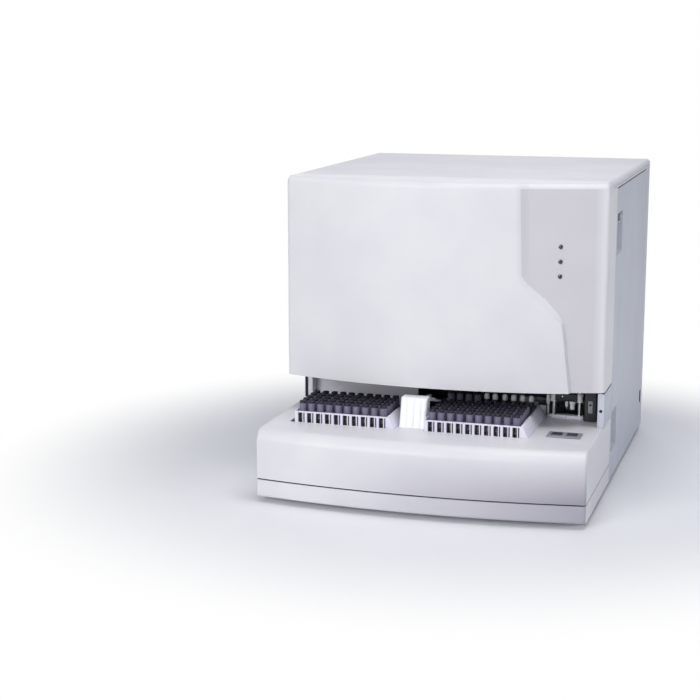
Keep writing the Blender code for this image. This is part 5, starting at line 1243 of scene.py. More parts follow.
piece("bay_walls", liner_shape(), BAY_PANEL_PAINTED_LIGHT, ["bay_liner"], angle=34)
flange = pushed([(PILLAR_LOW.x, PILLAR_LOW.z), (PILLAR_HIGH.x - 0.0015, PILLAR_LOW.z),
        (PILLAR_HIGH.x - 0.0015, PILLAR_HIGH.z - 0.004), (PILLAR_HIGH.x - 0.004, PILLAR_HIGH.z),
        (PILLAR_LOW.x + 0.002, PILLAR_HIGH.z), (PILLAR_LOW.x, PILLAR_HIGH.z - 0.002)], PILLAR_LOW.y
    + 0.0016, PILLAR_LOW.y + 0.0046, edge=0.0004)
skin = inside(PILLAR, (-3, 0), (1.6, 0), (0, -2.2), 0.0006)
pillar_screw = screw((HALF - 0.007, PILLAR_LOW.y + 0.0016, (PILLAR_LOW.z + 0.23) / 2), FRONT, 0.0034,
    0.0015)
piece("pillar_shell", gather((united(flange, skin), 0), (pillar_screw, 1)), [PANEL, BLACK],
    ["right_pillar"], angle=34)

# %% [markdown]
# Four rubber feet carry the plinth. Each is turned, with a shallow hollow below, so that it stands on a
# ring.

# %% Feet
for node in ("foot_front_left", "foot_front_right", "foot_rear_left", "foot_rear_right"):
    low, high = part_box(node)
    centre = ((low.x + high.x) / 2, (low.y + high.y) / 2, 0)
    profile = [(0, 0.001), (0.009, 0.001), (0.01, 0), (0.0148, 0), (0.016, 0.001), (0.0164, 0.004),
        (0.0172, 0.0052), (0.018, 0.011), (0.0178, high.z), (0, high.z)]
    piece(node + "_pad", turned(profile, centre, UP, 40), RUBBER, [node], angle=50)
print("casing made")

# %% [markdown]
# What stands in rows is made once and copied by a small Geometry Nodes tree: points are numbered, the
# number gives each its column and row, and a copy lands on each. A fixed seed gives the tubes a slight lean
# and turn, so that they don't look stamped. The copies are realized and turned into one plain mesh for each
# moving body.

# %% A tree that sets copies in rows
def rows_tree():
    tree = bpy.data.node_groups.new("rows_of_copies", "GeometryNodeTree")
    kinds = {"Shape": "Object", "Columns": "Int", "Rows": "Int", "Column Step": "Vector",
        "Row Step": "Vector", "First Place": "Vector", "Lean": "Float", "Turn": "Float", "Seed": "Int",
        "Finish": "Material"}
    for label, kind in kinds.items():
        tree.interface.new_socket(label, in_out="INPUT", socket_type="NodeSocket" + kind)
    tree.interface.new_socket("Geometry", in_out="OUTPUT", socket_type="NodeSocketGeometry")
    given = wired(tree, "NodeGroupInput").outputs

    def worked(kind, operation, first, second, socket=1):
        """What a mathematical node makes of two values."""
        return wired(tree, kind, {0: first, socket: second}, operation=operation).outputs[0]

    whole, vector = "FunctionNodeIntegerMath", "ShaderNodeVectorMath"
    number = wired(tree, "GeometryNodeInputIndex").outputs[0]
    column = worked(whole, "MODULO", number, given["Columns"])
    row = worked(whole, "DIVIDE_FLOOR", number, given["Columns"])
    across = worked(vector, "SCALE", given["Column Step"], column, 3)
    along = worked(vector, "SCALE", given["Row Step"], row, 3)
    place = worked(vector, "ADD", worked(vector, "ADD", across, along), given["First Place"])
    count = worked(whole, "MULTIPLY", given["Columns"], given["Rows"])
    points = wired(tree, "GeometryNodePoints", {"Count": count, "Position": place})
    reach = wired(tree, "ShaderNodeCombineXYZ",
        {"X": given["Lean"], "Y": given["Lean"], "Z": given["Turn"]})
    back = worked(vector, "SCALE", reach.outputs[0], -1, 3)
    chance = wired(tree, "FunctionNodeRandomValue",
        {"Min": back, "Max": reach.outputs[0], "Seed": given["Seed"]}, data_type="FLOAT_VECTOR")
    source = wired(tree, "GeometryNodeObjectInfo", {"Object": given["Shape"]})
    copies = wired(tree, "GeometryNodeInstanceOnPoints", {"Points": points.outputs[0],
            "Instance": source.outputs["Geometry"], "Rotation": chance.outputs["Value"]})
    real = wired(tree, "GeometryNodeRealizeInstances", {0: copies.outputs[0]})
    paint = wired(tree, "GeometryNodeSetMaterial",
        {"Geometry": real.outputs[0], "Material": given["Finish"]})
    wired(tree, "NodeGroupOutput", {0: paint.outputs[0]})
    return tree


ROWS_TREE = rows_tree()
print("tree nodes", len(ROWS_TREE.nodes))


# %% [markdown]
# One function sets the inputs of the tree, keeps its result as a plain mesh and throws the helpers away.

# %% Use the tree
def in_rows(name, shape, finish, slot, first, column_step, columns, row_step=(0, 0, 0), rows=1, body="casing",
            lean=0.0, turn=0.0, seed=1, replaces=(), angle=38):
    """Copies of one bmesh in columns and rows, as one plain mesh on one body."""
    source = scratch_object(shape)
    carrier = bpy.data.objects.new(name + "_rows", bpy.data.meshes.new(name + "_rows"))
    bpy.context.scene.collection.objects.link(carrier)
    step = carrier.modifiers.new("rows", "NODES")
    step.node_group = ROWS_TREE
    values = {"Shape": source, "Columns": columns, "Rows": rows, "Column Step": column_step,
        "Row Step": row_step, "First Place": first, "Lean": lean, "Turn": turn, "Seed": seed,
        "Finish": finish}
    for item in ROWS_TREE.interface.items_tree:
        if item.in_out == "INPUT":
            step[item.identifier] = values[item.name]
    evaluated = carrier.evaluated_get(bpy.context.evaluated_depsgraph_get())
    data = bpy.data.meshes.new_from_object(evaluated)
    data.name = name
    for old in (carrier, source):
        mesh = old.data
        bpy.data.objects.remove(old, do_unlink=True)
        bpy.data.meshes.remove(mesh)
    made = bpy.data.objects.new(name, data)
    bpy.context.scene.collection.objects.link(made)
    return finish_piece(made, body, replaces, angle)


# %% [markdown]
# A tray is a white moulding with a window in its front wall for every tube. Beside each window a narrow slit
# lets the operator see how far the racks have moved. Its right-hand wall flares out into a skirt on the deck.

# %% Trays
TUBE_PITCH = 0.02
TUBE_COUNT = 10
TRAY_WALL = 0.0025
RIM_Z = TRAYS[0][1].z
DECK_Z = DECK_HIGH.z


def tray_shape(low, high):
    right = high.x - TRAY_FLARE
    outline = [(low.x + 0.002, low.y), (low.x + 0.0006, low.y + 0.0006), (low.x, low.y + 0.002),
        (low.x, high.y), (right, high.y), (right, low.y + 0.002), (right - 0.0006, low.y + 0.0006),
        (right - 0.002, low.y)]
    body = pushed(outline, low.z, RIM_Z, axis=2)
    skirt = pushed([(right - 0.0012, DECK_Z + 0.0003), (high.x, DECK_Z + 0.0003), (high.x, DECK_Z + 0.0016),
            (high.x - 0.001, DECK_Z + 0.003), (right + 0.0028, RIM_Z - 0.0016),
            (right + 0.0016, RIM_Z - 0.0006), (right, RIM_Z - 0.0003), (right - 0.0012, RIM_Z - 0.0003)],
        low.y, high.y - TRAY_WALL)
    hollow = block((low.x + TRAY_WALL, low.y + TRAY_WALL, low.z + 0.003),
        (right - TRAY_WALL, high.y + 0.02, RIM_Z + 0.02), 0)
    first = low.x + TRAY_WALL + 0.001 + TUBE_PITCH / 2
    near, far = low.y - 0.01, low.y + TRAY_WALL + 0.002
    middle_z, half_z = (DECK_Z + RIM_Z - 0.0026) / 2, (RIM_Z - DECK_Z - 0.0034) / 2
    windows = [pushed(rounded(first + number * TUBE_PITCH + x, middle_z, half_x, half_z, radius, 3), near,
            far) for number in range(TUBE_COUNT)
        for x, half_x, radius in ((-0.0004, 0.0048, 0.0012), (0.0078, 0.0015, 0.0008))]
    return carved(united(body, skirt), hollow, gather(*windows))


for side, (low, high) in zip(("left", "right"), TRAYS):
    piece(f"{side}_tray", tray_shape(low, high), TRAY_WHITE, [f"tray_{side}"], angle=30,
        bevel=0.0004)
print("trays made")

# %% [markdown]
# A rack holds ten tubes in wells, and each well has a slot in front, so that the reader sees the label. Five
# racks share one mesh because they move as one body.

# %% Racks
RACK_LOW, RACK_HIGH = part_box("rack_left_1")
RACK_TOP = 0.179
RACK_PITCH = 0.025


def rack_shape():
    """One rack, with its lower left front corner at the origin."""
    length, depth, tall = RACK_HIGH.x - RACK_LOW.x, RACK_HIGH.y - RACK_LOW.y, RACK_TOP - RACK_LOW.z
    body = block((0, 0, 0), (length, depth, tall), 0.0008, 2)
    wells, slots = [], []
    for number in range(TUBE_COUNT):
        x = TUBE_PITCH * (number + 0.5)
        wells.append(turned([(0, 0.003), (0.0068, 0.003), (0.0068, tall - 0.0008), (0.0078, tall + 0.0002),
                    (0.0078, tall + 0.01), (0, tall + 0.01)], (x, depth / 2, 0), UP, 20))
        slots.append(block((x - 0.004, -0.01, 0.012), (x + 0.004, depth / 2, tall + PAST), 0))
    ends = [block((x - 0.004, depth * 0.36, -0.01), (x + 0.004, depth * 0.64, 0.004), 0)
        for x in (0, length)]
    return carved(body, gather(*wells), gather(*slots), gather(*ends))


def tube_shapes():
    """The glass, the blood, the paper label, the cap's skirt and its head of one tube. Its foot is at
    the origin."""
    glass = turned(mm((0, 0), (2.2, 0.4), (4.4, 1.9), (5.9, 4.4), (6.4, 7.4), (6.4, 73), (6, 73), (6, 7.4),
            (5, 4), (0, 1.2)), sides=20)
    blood = turned(mm((0, 1.4), (4, 3.4), (5.8, 7.6), (5.8, 52), (0, 52)), sides=16)
    paper = lofted([[(radius * math.cos(turn), radius * math.sin(turn), z)
                for radius, z in ((0.0066, 0.014), (0.0066, 0.06), (0.00645, 0.06), (0.00645, 0.014))]
            for turn in [math.radians(-30 + 15 * step) for step in range(17)]])
    top = 0.0924
    skirt = turned([(0.006, 0.069), (0.0074, 0.069), (0.0079, 0.0696), (0.0079, top - 0.006),
            (0.0077, top - 0.0052), (0.0066, top - 0.005), (0.006, top - 0.0052)], sides=24)
    head = turned([(0, top - 0.006), (0.0071, top - 0.006), (0.0072, top - 0.0008), (0.0066, top - 0.0001),
            (0.0046, top), (0.004, top - 0.001), (0, top - 0.0012)], sides=24)
    return {"glass": (glass, GLASS, "clear_plastic"), "blood": (blood, BLOOD, None),
        "labels": (paper, LABEL, None), "cap_skirts": (skirt, CAP_SKIRT, "rack_plastic"),
        "cap_heads": (head, CAP_HEAD, "rack_plastic")}


def rack_set(name, node, body, count, replaces, tubes=TUBE_COUNT):
    """The racks of one body with their tubes."""
    low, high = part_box(node)
    middle_y = (low.y + high.y) / 2
    in_rows(f"{name}_racks", rack_shape(), RACK_GREY, "rack_plastic", low, (0, 0, 0), 1, (0, RACK_PITCH, 0),
        count, body=body, replaces=replaces, angle=34)
    first = (low.x + TUBE_PITCH / 2, middle_y, high.z - 0.0924)
    for part, (shape, finish, slot) in tube_shapes().items():
        columns = tubes if part.startswith("cap") else TUBE_COUNT
        in_rows(f"{name}_{part}", shape, finish, slot, first, (TUBE_PITCH, 0, 0), columns,
            (0, RACK_PITCH, 0), count, body=body, lean=0.006, turn=0.6, seed=len(name))


rack_set("left", "rack_left_1", "left_racks", 5, [f"rack_left_{number}" for number in range(1, 6)])
rack_set("right", "rack_right_1", "right_racks", 5, [f"rack_right_{number}" for number in range(1, 6)])
rack_set("lane", "rack_in_lane", "lane_rack", 1, ["rack_in_lane"], 4)

# %% [markdown]
# The rack in the lane ends with six vials with white caps. They are turned pieces, and the tree sets them
# in a row as it does the tubes.

# %% Small vials with white caps at the lane rack's right end
lane_low, lane_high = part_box("rack_in_lane")
vial_cap = turned(mm((0, 79), (5.6, 79), (6, 79.7), (6, 85.8), (5.4, 86.6), (5.3, 89.6), (4.2, 91.4),
        (2.2, 92.2), (0, 92.4)), sides=24)
vial_neck = turned(mm((0, 69), (6, 69), (6.2, 70), (6.2, 74.5), (5.2, 76), (5.2, 79.5), (0, 79.5)),
    sides=20)
vial_place = (lane_low.x + TUBE_PITCH * 4.5, (lane_low.y + lane_high.y) / 2, lane_high.z - 0.0924)
in_rows("lane_vial_caps", vial_cap, VIAL_WHITE, "white_plastic", vial_place, (TUBE_PITCH, 0, 0), 6,
    body="lane_rack", lean=0.01, seed=8)
in_rows("lane_vial_necks", vial_neck, CAP_HEAD, "rack_plastic", vial_place, (TUBE_PITCH, 0, 0), 6,
    body="lane_rack", lean=0.01, seed=8)

# %% [markdown]
# Two steel blades push the racks along the trays. Each is a thin plate with a row of holes that make it
# lighter.

# %% Pushers
for node, body in (("load_pusher", "left_racks"), ("unload_pusher", "unload_pusher")):
    low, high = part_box(node)
    blade = block(low, high, 0.0005)
    holes = [rod((x, low.y - PAST, low.z + 0.021), (x, high.y + PAST, low.z + 0.021), 0.0035, 24, 0)
        for x in even(low.x + 0.015, high.x - 0.015, 4)]
    piece(node + "_blade", carved(blade, gather(*holes)), BRUSHED_X, [node], body=body)

# %% [markdown]
# The barcode reader stands between the trays. Its white head has a face that leans back, with soft corners
# and three faint ribs, so it is lofted from rounded sections. A low dark body behind it looks into the
# lane.

# %% Barcode reader
READER_HEAD_DEEP = 0.044
READER_LEAN = 0.016
READER_BODY_TOP = READER_HIGH.z - 0.031


def reader_section(z, front, back, inset, radius):
    """One rounded outline of the head, with faint ribs along its front."""
    left, right = READER_LOW.x + inset, READER_HIGH.x - inset
    front, back = front + inset, back - inset
    middle, points = (left + right) / 2, []
    for x in even(left + radius, right - radius, 36):
        near = min(abs(x - middle), abs(abs(x - middle) - 0.015))
        rib = math.cos(near / 0.0026 * math.pi / 2) if near < 0.0026 else 0
        points.append((x, front - 0.0006 * rib, z))
    corners = ((right - radius, front + radius, -1), (right - radius, back - radius, 0),
        (left + radius, back - radius, 1), (left + radius, front + radius, 2))
    for corner_x, corner_y, start in corners:
        for step in range(1, 7) if start < 2 else range(1, 6):
            turn = math.pi / 2 * (start + step / 6)
            points.append((corner_x + radius * math.cos(turn), corner_y + radius * math.sin(turn), z))
    return points


def reader_head():
    low, top, edge = READER_LOW.z, READER_HIGH.z, 0.003
    levels = [(z, 0.0) for z in even(low, top - edge, 8)]
    levels += [(top - edge + edge * math.sin(turn), edge - edge * math.cos(turn)) for turn in quarter(5, 1)]
    rings = []
    for z, inset in levels:
        front = READER_LOW.y + 0.0006 + READER_LEAN * (z - low) / (top - low)
        rings.append(reader_section(z, front, READER_LOW.y + READER_HEAD_DEEP, inset, 0.0045 - inset * 0.5))
    return lofted(rings)


piece("reader_head", reader_head(), READER_WHITE, ["barcode_reader"], angle=45)
body_low = (READER_LOW.x + 0.001, READER_LOW.y + READER_HEAD_DEEP - 0.001, READER_LOW.z)
body_high = (READER_HIGH.x - 0.001, READER_HIGH.y, READER_BODY_TOP)
BODY_CORNER = (READER_LOW.x, body_low[1], READER_BODY_TOP)
slot_z = (READER_LOW.z + READER_BODY_TOP) / 2
slot = block((READER_LOW.x + 0.006, READER_HIGH.y - 0.04, slot_z - 0.008),
    (READER_HIGH.x - 0.006, READER_HIGH.y + PAST, slot_z + 0.008), 0)
body = carved(block(body_low, body_high, 0.002, 3), slot)
cover_plate = block(at(BODY_CORNER, 7, 6, -1),
    (READER_HIGH.x - 0.007, READER_HIGH.y - 0.01, READER_BODY_TOP + 0.0022), 0.0008)
ribs = [block((x - 0.001, body_low[1] + 0.012, READER_BODY_TOP + 0.001),
        (x + 0.001, READER_HIGH.y - 0.018, READER_BODY_TOP + 0.0042), 0.0005)
    for x in even(READER_LOW.x + 0.014, READER_HIGH.x - 0.014, 5)]
window = block((READER_LOW.x + 0.008, READER_HIGH.y - 0.0405, slot_z - 0.006),
    (READER_HIGH.x - 0.008, READER_HIGH.y - 0.0385, slot_z + 0.006), 0.0004)
plug = block(at(BODY_CORNER, 12, 2, 1), at(BODY_CORNER, 24, 9, 12), 0.001)
lead = bent_tube([at(BODY_CORNER, 18, 6, 10), at(BODY_CORNER, 18, 14, 14.5), at(BODY_CORNER, 22, 32, 11.5),
        at(BODY_CORNER, 21, 55, 4), at(BODY_CORNER, 19, 72, 1)], 0.0022, 12)
piece("reader_body",
    gather((body, 0), (cover_plate, 1), *((rib, 1) for rib in ribs), (window, 2), (plug, 0), (lead, 1)),
    [DARK, BLACK, WINDOW], angle=34)
head_screws = [screw((x, y, READER_BODY_TOP + 0.0022 - 0.0006), UP, 0.002, 0.001, 16)
    for x in (READER_LOW.x + 0.01, READER_HIGH.x - 0.01)
    for y in (body_low[1] + 0.0125, READER_HIGH.y - 0.014)]
piece("reader_screws", gather(*head_screws), BRUSHED_Z)

# %% [markdown]
# Two keys sit in a grey plate at the right of the deck. Their tops are dished so that a gloved finger finds
# them. Each dish is one cut with a wide cylinder.

# %% Keys
KEY_PLATE_LOW, KEY_PLATE_HIGH = KEY_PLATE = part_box("key_plate")
key_boxes = {name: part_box(name) for name in ("key_start", "key_priority")}
plate = block(KEY_PLATE_LOW, KEY_PLATE_HIGH, 0.001, 3)
openings = [block((low.x - 0.0006, low.y - 0.0006, KEY_PLATE_LOW.z - PAST),
        (high.x + 0.0006, high.y + 0.0006, KEY_PLATE_HIGH.z + PAST), 0) for low, high in key_boxes.values()]
groove = carved(inside(KEY_PLATE, (3, -3), (3, -3), (-0.5, None), 0), block((KEY_PLATE_LOW.x + 0.0038,
            KEY_PLATE_LOW.y + 0.0038, KEY_PLATE_HIGH.z - 0.001), at(KEY_PLATE_HIGH, -3.8, -3.8, 20), 0))
piece("key_frame", carved(plate, *openings, groove), KEY_GREY, ["key_plate"], angle=34)
for name, (low, high) in key_boxes.items():
    cap = block(low, high, 0.0014, 3)
    dish = rod(((low.x + high.x) / 2, low.y - PAST, high.z + 0.0545),
        ((low.x + high.x) / 2, high.y + PAST, high.z + 0.0545), 0.0552, 160, 0)
    piece(name + "_cap", carved(cap, dish), KEY_DARK, [name], body=name, angle=30)
print("keys made")

# %% [markdown]
# At the right of the bay an open tube is held up to a probe. The probe head runs on two polished guides in
# nylon bushes, and a dark sensor beside it sees the tube. A white cup next to the needle rinses it.

# %% Open sampling station
GUIDES_LOW, GUIDES_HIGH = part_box("probe_guides")
OPEN_LOW, OPEN_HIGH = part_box("open_probe_head")
GUIDE_Y = (GUIDES_LOW.y + GUIDES_HIGH.y) / 2
GUIDE_XS = (GUIDES_LOW.x + 0.009, GUIDES_HIGH.x - 0.009)
NEEDLE_X = sum(GUIDE_XS) / 2
blocks = []
for low_z, high_z in ((GUIDES_LOW.z, GUIDES_LOW.z + 0.008), (GUIDES_HIGH.z - 0.008, GUIDES_HIGH.z)):
    blocks.append((block((GUIDES_LOW.x, GUIDES_LOW.y, low_z), (GUIDES_HIGH.x, GUIDES_HIGH.y, high_z),
                0.0012, 2), 1))
    for x in GUIDE_XS:
        blocks.append((turned(mm((0, 0), (6.6, 0), (6.6, 1), (6, 1.5), (0, 1.5)),
                    (x, GUIDE_Y, high_z if low_z == GUIDES_LOW.z else low_z),
                    (0, 0, 1 if low_z == GUIDES_LOW.z else -1), 32), 0))
shafts = [(rod((x, GUIDE_Y, GUIDES_LOW.z + 0.004), (x, GUIDE_Y, GUIDES_HIGH.z - 0.004), 0.004, 32), 0)
    for x in GUIDE_XS]
bolts = [(screw((x, GUIDES_LOW.y + 0.0002, z), FRONT, 0.0018, 0.0012, 16), 2)
    for x in (GUIDES_LOW.x + 0.004, GUIDES_HIGH.x - 0.004, NEEDLE_X) for z in (GUIDES_LOW.z + 0.004,)]
piece("guide_frame", gather(*blocks, *shafts, *bolts), [CHROME, TRAY_WHITE, BRUSHED_Z],
    ["probe_guides"], angle=34)

OPEN_HEAD_Z = OPEN_HIGH.z - 0.018
NEEDLE = (NEEDLE_X, GUIDE_Y, OPEN_HEAD_Z)
head = block((GUIDE_XS[0] + 0.004, OPEN_LOW.y + 0.001, OPEN_HEAD_Z + 0.0015),
    (GUIDE_XS[1] - 0.004, OPEN_HIGH.y - 0.001, OPEN_HIGH.z), 0.0012, 3)
bores = [rod((x, GUIDE_Y, OPEN_HEAD_Z - PAST), (x, GUIDE_Y, OPEN_HIGH.z + PAST), 0.007, 32, 0)
    for x in GUIDE_XS]
parts = [(carved(head, gather(*bores)), 0)]
for x in GUIDE_XS:
    bush = [(0.0043, 0), (0.0078, 0), (0.0086, 0.0008), (0.0086, 0.003), (0.0072, 0.004), (0.0069, 0.009),
        (0.0072, 0.014), (0.0086, 0.015), (0.0086, 0.0172), (0.0078, 0.018), (0.0043, 0.018), (0.0043, 0)]
    parts.append((turned(bush, (x, GUIDE_Y, OPEN_HEAD_Z), UP, 36), 1))
parts.append((turned(mm((1.2, 0), (2.4, 0), (3, 1), (3, 12), (4.4, 13.5), (4.4, 18), (0, 18)),
            at(NEEDLE, z=-11.5), UP, 28), 1))
parts.append((turned(mm((0, 0), (4.4, 0), (5.2, 0.8), (5.2, 11), (6.8, 12.5), (6.8, 17.5), (6, 18.5),
                (0, 18.5)), at(NEEDLE, 12.5, -2, -16.5), UP, 32), 1))
parts.append((rod(at(NEEDLE, z=-16.5), at(NEEDLE, z=4), 0.001, 16), 2))
parts.append((turned(mm((0, 0), (3.4, 0), (3.4, 3), (2.2, 4.2), (2.2, 6.6), (0, 6.6)),
            (NEEDLE_X, GUIDE_Y, OPEN_HIGH.z - 0.0004), UP, 24), 1))
parts.append((screw((NEEDLE_X - 0.008, OPEN_LOW.y + 0.0012, OPEN_HIGH.z - 0.006), FRONT, 0.0018, 0.001, 16),
        2))
piece("open_probe", gather(*parts), [BLACK, NYLON, CHROME], ["open_probe_head"],
    body="open_probe", angle=34)

SENSOR_LOW, SENSOR_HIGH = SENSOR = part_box("sample_sensor")
case = block(SENSOR_LOW, SENSOR_HIGH, 0.0022, 3)
middle_x = (SENSOR_LOW.x + SENSOR_HIGH.x) / 2
SENSOR_FOOT = (middle_x, SENSOR_LOW.y, SENSOR_LOW.z)
recess = block(at(SENSOR_FOOT, -5.6, -10, 18), at(SENSOR_FOOT, 5.6, 2.2, 46), 0)
insert = block(at(SENSOR_FOOT, -5.2, 0.4, 18.4), at(SENSOR_FOOT, 5.2, 3, 45.6), 0.0012, 3)
eye = turned(mm((0, 0), (3, 0), (2.6, 0.6), (0, 0.9)), at(SENSOR_FOOT, 0, 0.4, 37), FRONT, 24)
seam = carved(inside(SENSOR, (None, None), (None, None), (56, 56.8), 0),
    inside(SENSOR, (0.6, -0.6), (0.6, -0.6), (50, 60), 0))
piece("tube_sensor", gather((carved(case, recess, seam), 0), (insert, 1), (eye, 2)), [DARK, KEY_GREY, LENS],
    ["sample_sensor"], angle=34)

# %% [markdown]
# Three small pieces finish the bay: a white rinse fitting, a dark stop on the deck and a dark rubber strip at
# the left edge. The stop and the strip are painted shade: dark pieces set where the tray's foot and the
# panel's edge lie in shadow. None of them moves, so they ride on the casing.

# %% Rinse fitting, and a dark tray stop and edge strip as painted shade
RINSE_FOOT = (0.2187, -0.142, DECK_Z + 0.0003)
rinse = turned(mm((0, 0), (3.6, 0), (3.6, 1.6), (2.1, 2.6), (2.1, 27), (3, 28), (4.2, 31), (4.4, 44),
        (3.6, 49), (1.6, 50.5), (0, 50.5)), RINSE_FOOT, UP, 28)
piece("rinse_fitting", rinse, NYLON, angle=40)
# A dark wedge beside the left tray's foot: painted shadow, where the tray's flared foot shades the deck.
stop = pushed([(-0.304, DECK_Z + 0.0003), (-0.2948, DECK_Z + 0.0003), (-0.2948, DECK_Z + 0.006),
        (-0.2962, DECK_Z + 0.0068)], -0.35, -0.338, edge=0.0006)
piece("tray_stop", stop, DARK, angle=34)
# A dark rubber strip on the left panel's front edge: painted shade where that edge lies in shadow.
seal = pushed([(-HALF + 0.0003, -0.1128), (-HALF + 0.006, -0.1128), (-HALF + 0.006, -0.1101),
        (-HALF + 0.0003, -0.1101)], DECK_Z + 0.0004, COVER_LOW.z - 0.0006, axis=2, edge=0.0006)
piece("edge_seal", seal, RUBBER, angle=34)

# %% [markdown]
# Behind the lane a white rail keeps the rack straight. Nylon rollers stand along its top, each with a waist
# and a steel pin, so one roller is turned once and copied in a row.

# %% Lane guide rail
RAIL_LOW, RAIL_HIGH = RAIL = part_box("lane_guide_rail")
FEED_DECK_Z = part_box("feed_deck")[1].z
rail_top = RAIL_HIGH.z - 0.006
rail = block(RAIL_LOW, (RAIL_HIGH.x, RAIL_LOW.y + 0.003, rail_top), 0.0006)
notches = [block((x - 0.009, RAIL_LOW.y - PAST, rail_top - 0.0035),
        (x + 0.009, RAIL_LOW.y + 0.02, rail_top + PAST), 0)
    for x in even(RAIL_LOW.x + 0.0484, RAIL_HIGH.x - 0.0484, 4)]
lips = [block((RAIL_LOW.x + 0.004, RAIL_LOW.y + 0.002, z),
        (RAIL_HIGH.x - 0.004, RAIL_LOW.y + 0.0052, z + 0.002), 0.0006)
    for z in (RAIL_LOW.z + 0.012, RAIL_LOW.z + 0.036)]
foot = inside(RAIL, (0, 0), (1, 0), (0, 2), 0.0006)
piece("rack_rail", gather(carved(rail, gather(*notches)), foot, *lips), TRAY_WHITE,
    ["lane_guide_rail"], angle=34)
spacing = (RAIL_HIGH.x - RAIL_LOW.x) / 6
roller = turned(mm((1.2, -5.8), (5, -5.8), (5.9, -5.2), (5.9, -3), (4.9, -1.5), (4.9, 1.5), (5.9, 3),
        (5.9, 5.2), (5, 5.8), (1.2, 5.8)), sides=28)
place = (RAIL_LOW.x + spacing / 2, RAIL_LOW.y + 0.006, rail_top)
in_rows("rail_rollers", roller, NYLON, "white_plastic", place, (spacing, 0, 0), 6, angle=40)
in_rows("roller_pins", rod((0, 0, -0.0085), (0, 0, 0.0066), 0.0011, 14), BRUSHED_Z, "steel", place,
    (spacing, 0, 0), 6)

# %% [markdown]
# Behind the front cover, the bulkhead carries the fluidics. It is seen only with the cover up, but then from
# close by. The shelf, the bulkhead and the feed deck are flat sheet metal whose solids already have the right
# shape, so they keep their meshes and get the zinc finish, and screws are added in rows.

# %% Sheet-metal frame
def repaint(node, finish):
    """Gives a kept CAD node a procedural finish."""
    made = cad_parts[node]
    made.data.materials.clear()
    made.data.materials.append(finish)


BULK_LOW, BULK_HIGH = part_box("fluidics_bulkhead")
FACE_Y = BULK_LOW.y
for node in ("chassis_frame", "feed_deck", "fluidics_bulkhead"):
    repaint(node, ZINC)
SHELF_TOP = BULK_LOW.z - 0.0003
flat_head = turned(mm((0, -0.6), (3, -0.6), (3.2, 0), (2.4, 1.4), (1.2, 1.8), (0, 1.8)), sides=20)
bulk_head = turned(mm((0, 0.6), (3, 0.6), (3.2, 0), (2.4, -1.4), (1.2, -1.8), (0, -1.8)), along=BACK,
    sides=20)
in_rows("bulkhead_screws", bulk_head, BRUSHED_Z, "steel", (-0.312, FACE_Y, BULK_LOW.z + 0.012),
    (0.104, 0, 0), 7, (0, 0, 0.3768), 2, angle=40)
in_rows("deck_screws", flat_head, BRUSHED_Z, "steel", (-0.318, -0.358, FEED_DECK_Z), (0.636, 0, 0), 2,
    (0, 0.15, 0), 3, angle=40)
flange = block((BULK_LOW.x, FACE_Y - 0.01, BULK_HIGH.z - 0.003), (BULK_HIGH.x, FACE_Y + 0.001, BULK_HIGH.z),
    0.0006)
toe = block((BULK_LOW.x, FACE_Y - 0.012, BULK_LOW.z), (BULK_HIGH.x, FACE_Y + 0.001, BULK_LOW.z + 0.002),
    0.0006)
piece("bulkhead_folds", gather(flange, toe), ZINC)


# %% [markdown]
# Two glass syringes meter the reagents. Each barrel is a thin-walled turned tube with a steel cap, and each
# plunger is a turned rod with a seal and a flange, so a lathe profile gives both.

# %% Syringes
SYR_LOW, SYR_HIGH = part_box("syringe_block")
plunger_boxes = [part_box(f"syringe_plunger_{number}") for number in (1, 2)]
SYR_Y = (plunger_boxes[0][0].y + plunger_boxes[0][1].y) / 2
SYR_XS = [(low.x + high.x) / 2 for low, high in plunger_boxes]
barrel_low, block_high = SYR_LOW.z, SYR_HIGH.z
block_low = block_high - 0.022
barrel_radius = (SYR_Y - SYR_LOW.y) - 0.002
syringe_parts = []
body = block((SYR_LOW.x, SYR_LOW.y, block_low), (SYR_HIGH.x, SYR_HIGH.y, block_high), 0.002, 3)
dimple_z = (block_low + block_high) / 2
dimples = [rod((x, SYR_LOW.y - PAST, dimple_z), (x, SYR_LOW.y + 0.003, dimple_z), 0.0075, 36, 0)
    for x in SYR_XS]
syringe_parts.append((carved(body, gather(*dimples)), 0))
syringe_parts += [(screw((x + side * 0.022, SYR_LOW.y + 0.0004, block_low + 0.011), FRONT, 0.0028), 2)
    for x in SYR_XS for side in (-1, 1)]
for x in SYR_XS:
    wall = barrel_radius - 0.0019
    glass_top = block_low - barrel_low + 0.001
    syringe_parts.append((turned([(wall, 0), (barrel_radius, 0), (barrel_radius, glass_top),
                    (wall, glass_top), (wall, 0)], (x, SYR_Y, barrel_low), UP, 40), 1))
    for low_z, tall in ((barrel_low, 0.007), (block_low - 0.0068, 0.007)):
        syringe_parts.append((turned([(wall, 0), (barrel_radius + 0.0012, 0),
                        (barrel_radius + 0.0014, 0.001), (barrel_radius + 0.0014, tall - 0.001),
                        (barrel_radius + 0.0006, tall), (wall, tall), (wall, 0)], (x, SYR_Y, low_z), UP,
                    40), 2))
    syringe_parts.append((turned(mm((0, 0), (6, 0), (6, 3), (3.6, 4), (3.6, 10), (2.2, 11), (2.2, 14),
                    (0, 14)), (x, SYR_Y, block_high - 0.001), UP, 28), 0))
piece("syringe_pair", gather(*syringe_parts), [NYLON, GLASS, BRUSHED_Z], ["syringe_block"],
    angle=40)
